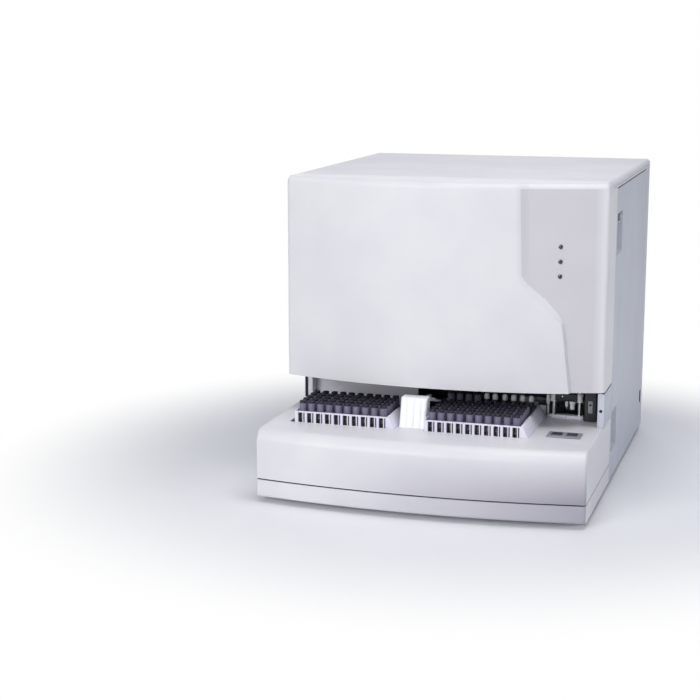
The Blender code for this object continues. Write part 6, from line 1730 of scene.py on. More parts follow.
for number, (low, high) in enumerate(plunger_boxes, 1):
    x = (low.x + high.x) / 2
    tall = high.z - low.z
    reach = barrel_radius - 0.0021
    flange_radius = (high.x - low.x) / 2
    profile = [(0, 0), (flange_radius - 0.001, 0), (flange_radius, 0.001), (flange_radius, 0.003),
        (flange_radius - 0.001, 0.004), (0.0045, 0.004), (0.0032, 0.0052), (0.0032, tall - 0.013),
        (0.005, tall - 0.012), (reach - 0.0004, tall - 0.011), (reach, tall - 0.01), (reach, tall - 0.008),
        (reach - 0.0009, tall - 0.0074), (reach - 0.0009, tall - 0.006), (reach, tall - 0.0054),
        (reach, tall - 0.0016), (reach - 0.0012, tall), (0, tall)]
    made = turned(profile, (x, SYR_Y, low.z), UP, 40)
    for face in made.faces:
        if face.calc_center_median().z > low.z + tall - 0.0112:
            face.material_index = 1
    piece(f"plunger_{number}", made, [BRUSHED_Z, RUBBER], [f"syringe_plunger_{number}"],
        body=f"syringe_plunger_{number}", angle=34)

# %% [markdown]
# A peristaltic pump squeezes a soft tube with three rollers. The head is a rounded block with a horseshoe
# groove, and the rotor is two discs with the rollers between them on steel pins.

# %% Pump
PUMP_LOW, PUMP_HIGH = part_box("pump_head")
ROTOR_LOW, ROTOR_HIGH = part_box("pump_rotor")
PUMP_X, PUMP_Z = (PUMP_LOW.x + PUMP_HIGH.x) / 2, (PUMP_LOW.z + PUMP_HIGH.z) / 2
PUMP_HALF = (PUMP_HIGH.x - PUMP_LOW.x) / 2
PUMP_FRONT = (PUMP_X, PUMP_LOW.y, PUMP_Z)
PORT_OUT, HOSE_LOW_Z = 0.026, PUMP_Z - PUMP_HALF - 0.018
port_y = PUMP_LOW.y + 0.01
head = pushed(rounded(PUMP_X, PUMP_Z, PUMP_HALF, PUMP_HALF, 0.015), PUMP_LOW.y, PUMP_HIGH.y, edge=0.0018)
bore = rod(at(PUMP_FRONT, y=-10), at(PUMP_FRONT, y=20), 0.038, 72, 0)
ports = [rod((x, port_y, PUMP_Z - PUMP_HALF - PAST), (x, port_y, PUMP_Z), 0.0052, 28, 0)
    for x in (PUMP_X - PORT_OUT, PUMP_X + PORT_OUT)]
ring = carved(rod(at(PUMP_FRONT, y=-1.2), at(PUMP_FRONT, y=2), 0.0412, 72, 0.0006),
    rod(at(PUMP_FRONT, y=-10), at(PUMP_FRONT, y=10), 0.0381, 72, 0))
turns = [math.radians(205 - 230 * step / 14) for step in range(15)]
loop = [(PUMP_X + 0.0358 * math.cos(turn), PUMP_LOW.y + 0.011, PUMP_Z + 0.0358 * math.sin(turn))
    for turn in turns]
squeezed = [(PUMP_X - PORT_OUT, port_y, HOSE_LOW_Z), at(PUMP_FRONT, -26, 10, -34), *loop,
    at(PUMP_FRONT, 26, 10, -34), (PUMP_X + PORT_OUT, port_y, HOSE_LOW_Z)]
corner_bolts = [screw((PUMP_X + x * 0.036, PUMP_LOW.y + 0.0004, PUMP_Z + z * 0.036), FRONT, 0.0034, 0.0018)
    for x in (-1, 1) for z in (-1, 1)]
piece("pump_body",
    gather((carved(head, bore, *ports), 0), (ring, 1), *((bolt, 1) for bolt in corner_bolts)),
    [PUMP_GREY, BRUSHED_Z], ["pump_head"], angle=34)
piece("pump_hose", bent_tube(squeezed, 0.0019, 14, 4), HOSE, angle=60)

hub_near, hub_far = ROTOR_HIGH.y - 0.0004, ROTOR_LOW.y + 0.0004
rotor = []
for y, thick in ((hub_far, 0.0028), (hub_near - 0.0028, 0.0028)):
    outline = []
    for step in range(72):
        turn = math.tau * step / 72
        reach = 0.0265 + 0.0062 * max(math.cos(3 * turn), -0.3)
        outline.append((PUMP_X + reach * math.cos(turn), PUMP_Z + reach * math.sin(turn)))
    rotor.append((pushed(outline, y, y + thick, edge=0.0004), 0))
rotor.append((rod((PUMP_X, hub_far, PUMP_Z), (PUMP_X, hub_near, PUMP_Z), 0.0095, 40, 0.0003), 0))
rotor.append((turned(mm((0, 0), (6, 0), (6, 1.2), (4.8, 1.6), (0, 1.6)), (PUMP_X, hub_far + 0.0002, PUMP_Z),
            FRONT, 6), 1))
for number in range(3):
    turn = math.tau * number / 3
    x, z = PUMP_X + 0.027 * math.cos(turn), PUMP_Z + 0.027 * math.sin(turn)
    rotor.append((rod((x, hub_far + 0.0032, z), (x, hub_near - 0.0032, z), 0.0062, 32, 0.0006), 1))
    rotor.append((rod((x, hub_far - 0.0003, z), (x, hub_near, z), 0.0018, 16, 0.0002), 1))
piece("pump_wheel", gather(*rotor), [NYLON, BRUSHED_Z], ["pump_rotor"], body="pump_rotor",
    angle=34)

# %% [markdown]
# Six pinch valves stand on one bar. Each is a coil can with a waisted nose, turned once and copied. The
# counting chamber is a clear jar between two grey end caps, so that the operator can see bubbles in it.

# %% Valves and chamber
VALVE_LOW, VALVE_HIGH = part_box("valve_bank")
VALVE_Z = (VALVE_LOW.z + VALVE_HIGH.z) / 2
bar_front = VALVE_HIGH.y - 0.016
VALVE_PITCH = 0.03
bar = block((VALVE_LOW.x, bar_front, VALVE_LOW.z), VALVE_HIGH, 0.0014, 3)
grooves = [block((VALVE_LOW.x + VALVE_PITCH * number - 0.0005, bar_front - PAST, VALVE_LOW.z - PAST),
        (VALVE_LOW.x + VALVE_PITCH * number + 0.0005, bar_front + 0.0012, VALVE_HIGH.z + PAST), 0)
    for number in range(1, 6)]
piece("valve_bar", carved(bar, gather(*grooves)), TRAY_WHITE, ["valve_bank"], angle=34)
valve_place = (VALVE_LOW.x + VALVE_PITCH / 2, bar_front, VALVE_Z)
can = turned(mm((0, -1), (10, -1), (10, 6), (9.4, 6.6), (9.4, 7.2), (10, 7.8), (10, 23), (9.2, 24),
        (6, 24.4), (0, 24.4)), along=FRONT, sides=28)
nose = turned(mm((0, 24), (5.6, 24), (5.6, 26.2), (4, 27), (4, 30), (6, 30.8), (6, 33.4), (5.2, 34),
        (0, 34)), along=FRONT, sides=24)
in_rows("valve_coils", can, BLACK, "dark_plastic", valve_place, (VALVE_PITCH, 0, 0), 6)
in_rows("valve_noses", nose, NYLON, "white_plastic", valve_place, (VALVE_PITCH, 0, 0), 6)
nipple = turned(mm((1, 0), (3, 0), (3, 1.4), (1.8, 2), (2.2, 4), (1.6, 6), (1, 6), (1, 0)), sides=18)
in_rows("valve_nipples", nipple, NYLON, "white_plastic",
    (valve_place[0], bar_front + 0.006, VALVE_HIGH.z - 0.0004), (VALVE_PITCH, 0, 0), 6)

CHAMBER_LOW, CHAMBER_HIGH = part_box("counting_chamber")
CHAMBER_X = (CHAMBER_LOW.x + CHAMBER_HIGH.x) / 2
CHAMBER_Y = CHAMBER_LOW.y + 0.022
jar_low, jar_high = CHAMBER_LOW.z, CHAMBER_HIGH.z
CHAMBER_FOOT = (CHAMBER_X, CHAMBER_Y, jar_low)
jar = turned(mm((18.6, 8), (20.6, 8), (20.6, 62), (18.6, 62), (18.6, 8)), CHAMBER_FOOT, UP, 48)
ends = [turned(mm((0, 0), (21.2, 0), (22, 0.8), (22, 8.2), (21.2, 9), (0, 9)), (CHAMBER_X, CHAMBER_Y, z),
        UP, 48) for z in (jar_low, jar_high - 0.009)]
inner_tube = turned(mm((3, 0), (4.2, 0), (4.2, 54), (3, 54), (3, 0)), at(CHAMBER_FOOT, 6, 0, 8.5), UP, 24)
mount = block(at(CHAMBER_FOOT, -12, 19.5, 12), (CHAMBER_X + 0.012, CHAMBER_HIGH.y, jar_high - 0.012), 0.001)
clamp = [turned(mm((20.7, 0), (21.6, 0.3), (21.6, 4.7), (20.7, 5), (20.7, 0)), (CHAMBER_X, CHAMBER_Y, z),
        UP, 48) for z in (jar_low + 0.016, jar_high - 0.021)]
piece("chamber",
    gather((jar, 0), (ends[0], 1), (ends[1], 1), (inner_tube, 0), (mount, 1), (clamp[0], 2), (clamp[1], 2)),
    [CLEAR, KEY_GREY, BRUSHED_X], ["counting_chamber"], angle=38)

# %% [markdown]
# Fixed hoses join the syringes, the pump, the valves and the chamber. They don't cross a moving joint, so
# each is a tube along a smooth path from one fitting to the next, held close to the bulkhead.

# %% Fixed hoses
syringe_top = block_high + 0.012
hose_paths = []
for number, x in enumerate(SYR_XS):
    hose_paths.append([(x, SYR_Y, syringe_top - 0.002), (x, SYR_Y, syringe_top + 0.01),
            (x + 0.004, SYR_Y + 0.006, 0.58 + 0.007 * number),
            (x + 0.03, FACE_Y - 0.008, 0.592 + 0.007 * number),
            (PUMP_X - 0.03, FACE_Y - 0.008, 0.602 + 0.007 * number),
            (PUMP_X + 0.06, FACE_Y - 0.008, 0.602 + 0.007 * number),
            (VALVE_LOW.x + 0.002 + VALVE_PITCH * number, FACE_Y - 0.008, 0.598 + 0.006 * number),
            (valve_place[0] + VALVE_PITCH * number, bar_front + 0.006, VALVE_HIGH.z + 0.014),
            (valve_place[0] + VALVE_PITCH * number, bar_front + 0.006, VALVE_HIGH.z + 0.003)])
for number in range(2, 6):
    x = valve_place[0] + VALVE_PITCH * number
    hose_paths.append([(x, bar_front + 0.006, VALVE_HIGH.z + 0.003),
            (x, bar_front + 0.006, VALVE_HIGH.z + 0.016),
            (x + 0.008, FACE_Y - 0.009, VALVE_HIGH.z + 0.024 + 0.005 * number),
            (x + 0.018, FACE_Y - 0.006, VALVE_HIGH.z + 0.014),
            (x + 0.018, FACE_Y - 0.004, VALVE_LOW.z - 0.012),
            (x + 0.01, FACE_Y - 0.004, VALVE_LOW.z - 0.026)])
grommets = [turned(mm((2.2, 0), (5, 0), (5, 2.2), (3, 3), (2.2, 3), (2.2, 0)),
        (valve_place[0] + VALVE_PITCH * number + 0.01, FACE_Y, VALVE_LOW.z - 0.0285), FRONT, 24)
    for number in range(2, 6)]
piece("fixed_hoses", gather(*(bent_tube(path, 0.0018, 12, 6) for path in hose_paths)), HOSE,
    angle=60)
piece("hose_grommets", gather(*grommets), RUBBER, angle=40)
clips = [block((x - 0.005, FACE_Y - 0.0104, 0.5955), (x + 0.005, FACE_Y + 0.0003, 0.6155), 0.001)
    for x in (-0.15, 0.01)]
piece("hose_clips", gather(*clips), NYLON)

# %% [markdown]
# The closed sampler works above the lane: an arm on one rail lifts a tube out of its rack and turns it
# over, and a probe on the other rail pierces the cap. Both rails are milled steel bars with a groove for
# the carriage.

# %% Mixer and piercing probe
RAILS_LOW, RAILS_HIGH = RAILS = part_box("sampling_rails")
MIXER_LOW, MIXER_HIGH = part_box("mixer_arm")
GRIP_LOW, GRIP_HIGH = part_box("mixer_gripper")
PIERCE_LOW, PIERCE_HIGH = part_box("piercing_probe")
bars = []
for x in (RAILS_LOW.x + 0.008, RAILS_HIGH.x - 0.008):
    bar = block((x - 0.008, RAILS_LOW.y, RAILS_LOW.z), (x + 0.008, RAILS_HIGH.y, RAILS_HIGH.z), 0.0006)
    cuts = [block((x + side * 0.0055 - 0.0012, RAILS_LOW.y - PAST, RAILS_LOW.z - PAST),
            (x + side * 0.0055 + 0.0012, RAILS_LOW.y + 0.0012, RAILS_HIGH.z + PAST), 0) for side in (-1, 1)]
    bars.append((carved(bar, *cuts), 0))
    for z in even(RAILS_LOW.z + 0.01, RAILS_HIGH.z - 0.026, 4):
        bars.append((turned(mm((0, 0), (2.6, 0), (2.6, 0.1), (1.2, 0.1), (1.2, 0), (0, 0)),
                    (x, RAILS_LOW.y + 0.00005, z), FRONT, 20), 1))
tie_shape = inside(RAILS, (8, -8), (0.5, 0), (-16, 0), 0.0006)
piece("sampler_rails", gather(*bars, (tie_shape, 0)), [BRUSHED_Z, BLACK], ["sampling_rails"],
    angle=34)

MIXER_X = (MIXER_LOW.x + MIXER_HIGH.x) / 2
arm_low_z = MIXER_LOW.z
carriage = block((MIXER_LOW.x, MIXER_HIGH.y - 0.008, arm_low_z), MIXER_HIGH, 0.0012, 3)
pocket = block((MIXER_LOW.x + 0.004, MIXER_HIGH.y - 0.02, arm_low_z + 0.026), at(MIXER_HIGH, -4, -6.5, -4),
    0)
arm_x = MIXER_HIGH.x - 0.008
arm = block((arm_x, MIXER_LOW.y, arm_low_z), (MIXER_HIGH.x, MIXER_HIGH.y - 0.004, arm_low_z + 0.02), 0.0012,
    3)
holes = [rod((arm_x - PAST, y, arm_low_z + 0.01), (MIXER_HIGH.x + PAST, y, arm_low_z + 0.01), 0.0048, 32, 0)
    for y in even(MIXER_LOW.y + 0.024, MIXER_HIGH.y - 0.018, 1)]
motor = turned(mm((0, 0), (7.8, 0), (8.2, 0.6), (8.2, 3.4), (0, 3.4)),
    (MIXER_X, MIXER_HIGH.y - 0.0066, arm_low_z + 0.036), FRONT, 32)
arm_bolts = [screw((MIXER_X + side * 0.0075, MIXER_HIGH.y - 0.0076, MIXER_HIGH.z - 0.0022), FRONT, 0.0012,
        0.0008, 14) for side in (-1, 1)]
pivot = turned(mm((0, -1), (7, -1), (7, 0.4), (5, 1.2), (0, 1.2)),
    (MIXER_HIGH.x - 0.0006, (GRIP_LOW.y + GRIP_HIGH.y) / 2, GRIP_HIGH.z - 0.011), RIGHT, 32)
piece("lift_arm", gather((united(carved(carriage, pocket), carved(arm, gather(*holes))), 0), (motor, 1),
        (pivot, 1), *((bolt, 2) for bolt in arm_bolts)), [PANEL, BLACK, BRUSHED_Z],
    ["mixer_arm"], body="mixer_arm", angle=34)

lane_y, grip_z = (GRIP_LOW.y + GRIP_HIGH.y) / 2, GRIP_HIGH.z - 0.011
barrel = turned(mm((0, 0), (10, 0), (11, 0.8), (11, 4), (10.4, 4.6), (10.4, 11.4), (11, 12), (11, 15.2),
        (10, 16), (0, 16)), (GRIP_LOW.x, lane_y, grip_z), RIGHT, 48)
fingers = []
for side in (-1, 1):
    outline = [(lane_y + side * 0.01, grip_z), (lane_y + side * 0.013, grip_z),
        (lane_y + side * 0.013, grip_z - 0.03), (lane_y + side * 0.012, grip_z - 0.034),
        (lane_y + side * 0.0102, grip_z - 0.034), (lane_y + side * 0.009, grip_z - 0.029),
        (lane_y + side * 0.01, grip_z - 0.024)]
    fingers.append((pushed(outline, GRIP_LOW.x + 0.003, GRIP_HIGH.x - 0.003, axis=0, edge=0.0005), 0))
    fingers.append((block((GRIP_LOW.x + 0.0034, lane_y + side * 0.0096 - 0.001, grip_z - 0.0285),
                (GRIP_HIGH.x - 0.0034, lane_y + side * 0.0096 + 0.001, grip_z - 0.025), 0.0005), 1))
bridge = block((GRIP_LOW.x + 0.003, lane_y - 0.013, grip_z - 0.003),
    (GRIP_HIGH.x - 0.003, lane_y + 0.013, grip_z), 0.0008)
piece("tube_gripper", gather((barrel, 0), (bridge, 0), *fingers), [BRUSHED_X, RUBBER],
    ["mixer_gripper"], body="mixer_gripper", angle=34)

pierce_x = (PIERCE_LOW.x + PIERCE_HIGH.x) / 2
head_low = PIERCE_HIGH.z - 0.028
head = block((PIERCE_LOW.x, PIERCE_LOW.y, head_low), PIERCE_HIGH, 0.0014, 3)
relief = [block((PIERCE_LOW.x - PAST, PIERCE_LOW.y - PAST, z),
        (PIERCE_HIGH.x + PAST, PIERCE_LOW.y + 0.0012, z + 0.0012), 0)
    for z in (head_low + 0.007, head_low + 0.0195)]
pierce_y = (PIERCE_LOW.y + PIERCE_HIGH.y) / 2
gland = turned(mm((1.4, 0), (4.6, 0), (6, 2), (6, 7), (0, 7)), (pierce_x, pierce_y, head_low - 0.0066), UP,
    28)
needle = turned([(0, 0), (0.0003, 0.0002), (0.0014, 0.006), (0.0014, head_low - PIERCE_LOW.z + 0.002),
        (0, head_low - PIERCE_LOW.z + 0.002)], (pierce_x, pierce_y, PIERCE_LOW.z), UP, 20)
nut = turned(mm((0, 0), (4.6, 0), (5, 0.6), (5, 4.6), (3, 5.4), (3, 8), (0, 8)),
    (pierce_x, pierce_y, PIERCE_HIGH.z - 0.0004), UP, 6)
face_bolts = [screw((pierce_x + side * 0.009, PIERCE_LOW.y + 0.0004, z), FRONT, 0.0022, 0.0012, 18)
    for side in (-1, 1) for z in (head_low + 0.004, head_low + 0.024)]
piece("piercer", gather((carved(head, *relief), 0), (gland, 1), (needle, 2), (nut, 1),
        *((bolt, 2) for bolt in face_bolts)), [ZINC, NYLON, BRUSHED_Z], ["piercing_probe"],
    body="piercing_probe", angle=34)

# %% [markdown]
# The optics sit in a sealed black housing, so that no stray light reaches the detectors: a milled base, a lid
# with a groove all round, and a laser in a finned can at its left. The fins are rings on one turned profile.

# %% Optics
OPTICS_LOW, OPTICS_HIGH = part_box("optics_unit")
laser_radius = 0.018
housing_x = OPTICS_LOW.x + 0.06
laser_y, laser_z = (OPTICS_LOW.y + OPTICS_HIGH.y) / 2, (OPTICS_LOW.z + OPTICS_HIGH.z) / 2
lid_z = OPTICS_HIGH.z - 0.012
base = block((housing_x, OPTICS_LOW.y, OPTICS_LOW.z), (OPTICS_HIGH.x, OPTICS_HIGH.y, lid_z - 0.0008),
    0.0016, 3)
neck = block((housing_x + 0.0014, OPTICS_LOW.y + 0.0014, lid_z - 0.004),
    (OPTICS_HIGH.x - 0.0014, OPTICS_HIGH.y - 0.0014, lid_z + 0.002), 0)
cover = block((housing_x, OPTICS_LOW.y, lid_z), at(OPTICS_HIGH, 0, 0, -1.6), 0.0016, 3)
raised = block((housing_x + 0.026, OPTICS_LOW.y + 0.026, lid_z + 0.006), at(OPTICS_HIGH, -26, -26, 0),
    0.0012, 3)
can = [(0, 0), (laser_radius - 0.004, 0), (laser_radius - 0.003, 0.001)]
for number in range(9):
    z = 0.004 + number * 0.005
    can += [(laser_radius - 0.003, z), (laser_radius, z + 0.0004), (laser_radius, z + 0.0024),
        (laser_radius - 0.003, z + 0.0028)]
can += [(laser_radius - 0.003, 0.05), (laser_radius, 0.0504), (laser_radius, 0.062), (0, 0.062)]
laser = turned(can, (OPTICS_LOW.x, laser_y, laser_z), RIGHT, 48)
flow_port = turned(mm((0, -4), (15, -4), (15, 2), (14, 3), (8, 3), (7, 1.4), (0, 1.4)),
    (housing_x + 0.15, OPTICS_LOW.y, laser_z), FRONT, 48)
nipples = [turned(mm((0, -3), (3.2, -3), (3.2, 2), (2.2, 2.6), (2.6, 5.2), (1.8, 7.8), (0, 7.8)),
        (housing_x + 0.15 + x, OPTICS_LOW.y - 0.002, laser_z + z), FRONT, 20)
    for x, z in ((-0.0045, 0), (0.0045, 0))]
piece("optics_housing", gather((base, 0), (neck, 1), (cover, 0), (raised, 0), (laser, 0), (flow_port, 2),
        *((nipple, 3) for nipple in nipples)), [BLACK, RUBBER, BRUSHED_X, NYLON],
    ["optics_unit"], angle=34)
cap_bolt = turned(mm((0, -1), (3, -1), (3, 2.4), (2.6, 2.8), (1.6, 2.8), (1.4, 1.2), (0, 1.2)), sides=20)
in_rows("optics_bolts", cap_bolt, BRUSHED_Z, "steel",
    (housing_x + 0.01, OPTICS_LOW.y + 0.01, OPTICS_HIGH.z - 0.0016),
    ((OPTICS_HIGH.x - housing_x - 0.02) / 4, 0, 0), 5, (0, OPTICS_HIGH.y - OPTICS_LOW.y - 0.02, 0), 2)

# %% [markdown]
# The main board stands on edge by the left panel. Its solder mask shows the copper tracks below as fine
# raised lines, which a brick pattern gives. Chips, capacitors and resistors come in rows, as a placing
# machine sets them.

# %% Main board
BOARD_LOW, BOARD_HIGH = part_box("main_board")
board_face = BOARD_LOW.x + 0.002
plate_low = BOARD_LOW.z + 0.006
plate = block((BOARD_LOW.x, BOARD_LOW.y, plate_low), (board_face, BOARD_HIGH.y, BOARD_HIGH.z), 0.0002, 1)
corners = [(y, z) for y in (BOARD_LOW.y + 0.008, BOARD_HIGH.y - 0.008)
    for z in (plate_low + 0.022, BOARD_HIGH.z - 0.008)]
holes = [rod((BOARD_LOW.x - PAST, y, z), (board_face + PAST, y, z), 0.0018, 20, 0) for y, z in corners]
pads = [turned(mm((1.9, 0), (3.6, 0), (3.6, 0.16), (1.9, 0.16), (1.9, 0)), (board_face - 0.00004, y, z),
        RIGHT, 24) for y, z in corners]
brackets = []
for y in (BOARD_LOW.y + 0.012, BOARD_HIGH.y - 0.024):
    brackets.append((block((board_face - 0.0002, y + 0.0003, BOARD_LOW.z + 0.0004),
                (board_face + 0.0016, y + 0.0117, BOARD_LOW.z + 0.012), 0.0003), 2))
    brackets.append((block((board_face, y, BOARD_LOW.z), (BOARD_HIGH.x, y + 0.012, BOARD_LOW.z + 0.0016),
                0.0003), 2))
    brackets.append((screw((BOARD_HIGH.x - 0.0038, y + 0.006, BOARD_LOW.z + 0.0016), UP, 0.0026, 0.0014,
                18), 2))
    brackets.append((screw((board_face + 0.0016, y + 0.006, BOARD_LOW.z + 0.0084), RIGHT, 0.0022, 0.0012,
                18), 2))
piece("circuit_board", gather((carved(plate, gather(*holes)), 0), *((pad, 1) for pad in pads), *brackets),
    [BOARD, COPPER, ZINC], ["main_board"], angle=34)


def chip(half_y, half_z, thick, pins):
    """A flat package with its legs, lying on the plane x = 0."""
    made = block((0.0004, -half_y, -half_z), (thick, half_y, half_z), 0.0003, 2)
    parts = [(made, 0)]
    for step in range(pins):
        along = (step - (pins - 1) / 2) * (1.7 * half_z / pins)
        for side in (-1, 1):
            low, high = sorted((side * (half_y - 0.0002), side * (half_y + 0.0014)))
            parts.append((block((0, low, along - 0.0003), (0.0005, high, along + 0.0003), 0), 1))
    return gather(*parts)


def dressed_rows(name, shape, finishes, *place):
    """Rows of a shape with two finishes, as one piece for each finish."""
    for index, (finish, slot) in enumerate(finishes):
        part = shape.copy()
        bmesh.ops.delete(part, geom=[face for face in part.faces if face.material_index != index],
            context="FACES")
        in_rows(f"{name}_{index + 1}", part, finish, slot, *place)
    shape.free()


package = ((BLACK, "dark_plastic"), (BRUSHED_Z, "steel"))
dressed_rows("large_chips", chip(0.01, 0.01, 0.0026, 14), package, (board_face, 0.075, 0.4), (0, 0.048, 0),
    3, (0, 0, -0.052), 2)
dressed_rows("small_chips", chip(0.0032, 0.0062, 0.0018, 8), package, (board_face, 0.048, 0.298),
    (0, 0.019, 0), 12, (0, 0, 0.016), 2)
dressed_rows("memory_chips", chip(0.0042, 0.0075, 0.0016, 10), package, (board_face, 0.232, 0.352),
    (0, 0.017, 0), 4, (0, 0, 0.026), 3)
electrolytic = turned(mm((0, -0.2), (4.6, -0.2), (4.6, 1.4), (4.2, 1.8), (4.6, 2.2), (4.6, 9.4), (4.2, 10),
        (0, 10)), along=RIGHT, sides=24)
in_rows("board_capacitors", electrolytic, BRUSHED_X, "steel", (board_face, 0.04, 0.47), (0, 0.0135, 0), 7,
    (0, 0, -0.014), 2)
resistor = block((-0.0001, -0.0006, -0.0011), (0.0006, 0.0006, 0.0011), 0)
in_rows("board_resistors", resistor, DARK, "dark_plastic", (board_face, 0.04, 0.33), (0, 0.0062, 0), 41,
    (0, 0, -0.0098), 2)
filter_shape = block((-0.0001, -0.001, -0.0007), (0.0009, 0.001, 0.0007), 0)
in_rows("board_filters", filter_shape, TAN, "white_plastic", (board_face, 0.046, 0.436), (0, 0.0072, 0), 17)
socket_shape = carved(block((-0.0002, -0.0105, -0.0042), (0.0086, 0.0105, 0.0042), 0.0004),
    block((0.0016, -0.0095, -0.0032), (0.01, 0.0095, 0.0032), 0))
in_rows("board_sockets", socket_shape, NYLON, "white_plastic", (board_face, 0.16, 0.488), (0, 0.027, 0), 5)
pin_shape = block((0.001, -0.0003, -0.0003), (0.007, 0.0003, 0.0003), 0)
in_rows("socket_pins", pin_shape, COPPER, "steel", (board_face, 0.152, 0.4866), (0, 0.002, 0), 9,
    (0, 0, 0.0028), 2)
sink = block((board_face - 0.0002, 0.18, 0.446), (board_face + 0.003, 0.25, 0.47), 0.0004)
fins = [block((board_face + 0.0026, y, 0.446), (board_face + 0.015, y + 0.0014, 0.47), 0.0003)
    for y in even(0.18, 0.2486, 14)]
piece("board_heat_sink", gather(sink, *fins), BLACK, angle=34)

# %% [markdown]
# The power supply is a folded tray with a slotted lid, so that air can pass. The slots are cut right through,
# and a terminal strip with a screw for every wire stands at its front.

# %% Power supply
SUPPLY_LOW, SUPPLY_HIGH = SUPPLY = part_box("power_supply")
shell = block(SUPPLY_LOW, SUPPLY_HIGH, 0.0016, 3)
hollow = inside(SUPPLY, (1.2, -1.2), (1.2, -1.2), (1.2, -1.2), 0.0006)
cuts = []
for x in even(SUPPLY_LOW.x + 0.02, SUPPLY_HIGH.x - 0.02, 22):
    for y in (SUPPLY_LOW.y + 0.04, SUPPLY_LOW.y + 0.086):
        cuts.append(block((x - 0.0015, y - 0.018, SUPPLY_HIGH.z - 0.006),
                (x + 0.0015, y + 0.018, SUPPLY_HIGH.z + PAST), 0))
for x in even(SUPPLY_LOW.x + 0.02, SUPPLY_HIGH.x - 0.06, 16):
    cuts.append(block((x - 0.0013, SUPPLY_LOW.y - PAST, SUPPLY_LOW.z + 0.04),
            (x + 0.0013, SUPPLY_LOW.y + 0.006, SUPPLY_HIGH.z - 0.014), 0))
mouth = inside(SUPPLY, (30, -60), (None, 6), (10, 30), 0)
case = carved(shell, hollow, gather(*cuts), mouth)
strip = inside(SUPPLY, (30.2, -60.2), (0.4, 12), (10.2, 29.8), 0.0006)
wells = [block((x - 0.004, SUPPLY_LOW.y - PAST, SUPPLY_LOW.z + 0.013),
        (x + 0.004, SUPPLY_LOW.y + 0.004, SUPPLY_LOW.z + 0.027), 0)
    for x in even(SUPPLY_LOW.x + 0.038, SUPPLY_HIGH.x - 0.068, 11)]
piece("supply_case", gather((case, 0), (carved(strip, gather(*wells)), 1)), [ZINC, DARK],
    ["power_supply"], angle=34)
clamp_screw = turned(mm((0, 0.2), (3, 0.2), (3, -1.2), (2.4, -1.8), (0, -1.8)), along=BACK, sides=18)
in_rows("terminal_screws", clamp_screw, BRUSHED_Z, "steel", at(SUPPLY_LOW, 38, 4, 20),
    ((SUPPLY_HIGH.x - SUPPLY_LOW.x - 0.106) / 11, 0, 0), 12)

# %% [markdown]
# The fan is an axial one: a square frame with two flanges and a round duct between them, a motor on four
# arms, and a hub with seven blades. A blade is a thin curved section carried from the hub to the tip. A
# wire guard in the opening of the rear shell keeps fingers out.

# %% Fan
FAN_ROTOR_LOW, FAN_ROTOR_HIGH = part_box("fan_rotor")
FAN_HALF, DUCT, MOTOR = (FAN_HIGH.x - FAN_LOW.x) / 2, 0.056, 0.02
FAN_INNER, FAN_OUTER = (FAN_X, FAN_LOW.y, FAN_Z), (FAN_X, FAN_HIGH.y, FAN_Z)
FAN_BOLTS = [(FAN_X + x * 0.0525, FAN_Z + z * 0.0525) for x in (-1, 1) for z in (-1, 1)]
flanges = [pushed(rounded(FAN_X, FAN_Z, FAN_HALF, FAN_HALF, 0.006), near, near + 0.005, edge=0.0006)
    for near in (FAN_LOW.y, FAN_HIGH.y - 0.005)]
duct = rod(at(FAN_INNER, y=2), at(FAN_OUTER, y=-2), FAN_HALF - 0.0008, 96, 0)
posts = [rod((x, FAN_LOW.y + 0.002, z), (x, FAN_HIGH.y - 0.002, z), 0.0046, 28, 0) for x, z in FAN_BOLTS]
bores = [rod((x, FAN_LOW.y - PAST, z), (x, FAN_HIGH.y + PAST, z), 0.0022, 20, 0) for x, z in FAN_BOLTS]
tunnel = rod(at(FAN_INNER, y=-10), at(FAN_OUTER, y=10), DUCT, 96, 0)
frame_body = carved(united(flanges[0], flanges[1], duct, *posts), tunnel, gather(*bores))
arms = []
for turn in quarter(1) + [math.pi, math.pi * 1.5]:
    across = Vector((-math.sin(turn), math.cos(turn)))
    out = Vector((math.cos(turn), math.sin(turn)))
    ends = ((MOTOR - 0.002, -1), (DUCT + 0.0006, -1), (DUCT + 0.0006, 1), (MOTOR - 0.002, 1))
    outline = [Vector((FAN_X, FAN_Z)) + out * reach + across * side * 0.003 for reach, side in ends]
    arms.append((pushed([tuple(point) for point in outline], FAN_LOW.y, FAN_LOW.y + 0.003, edge=0.0006), 0))
motor_disc = turned([(0, 0), (MOTOR - 0.0008, 0), (MOTOR, 0.0008), (MOTOR, 0.003), (0, 0.003)], FAN_INNER,
    BACK, 56)
piece("fan_housing", gather((frame_body, 0), (motor_disc, 0), *arms), [BLACK],
    ["fan_frame"], angle=34)
blades = []
hub_deep = FAN_ROTOR_HIGH.y - FAN_ROTOR_LOW.y
depth = hub_deep - 0.0012
for number in range(7):
    angle = math.tau * number / 7
    out = Vector((math.cos(angle), 0, math.sin(angle)))
    aside = Vector((-math.sin(angle), 0, math.cos(angle)))
    rings = []
    for reach in even(MOTOR - 0.001, 0.0528, 6):
        twist = 0.0058 + 0.0016 * (reach - MOTOR) / 0.033
        ring = []
        for face, stations in ((1, range(9)), (-1, range(8, -1, -1))):
            for station in stations:
                share = station / 8
                thick = face * (0.0005 + 0.0009 * math.sin(math.pi * share))
                hollow = 0.0024 * math.sin(math.pi * share)
                ring.append(Vector((FAN_X, FAN_ROTOR_LOW.y + 0.0006 + depth * share, FAN_Z)) + out * reach
                    + aside * (twist * (2 * share - 1) + hollow + thick))
        rings.append(ring)
    blades.append((lofted(rings), 0))
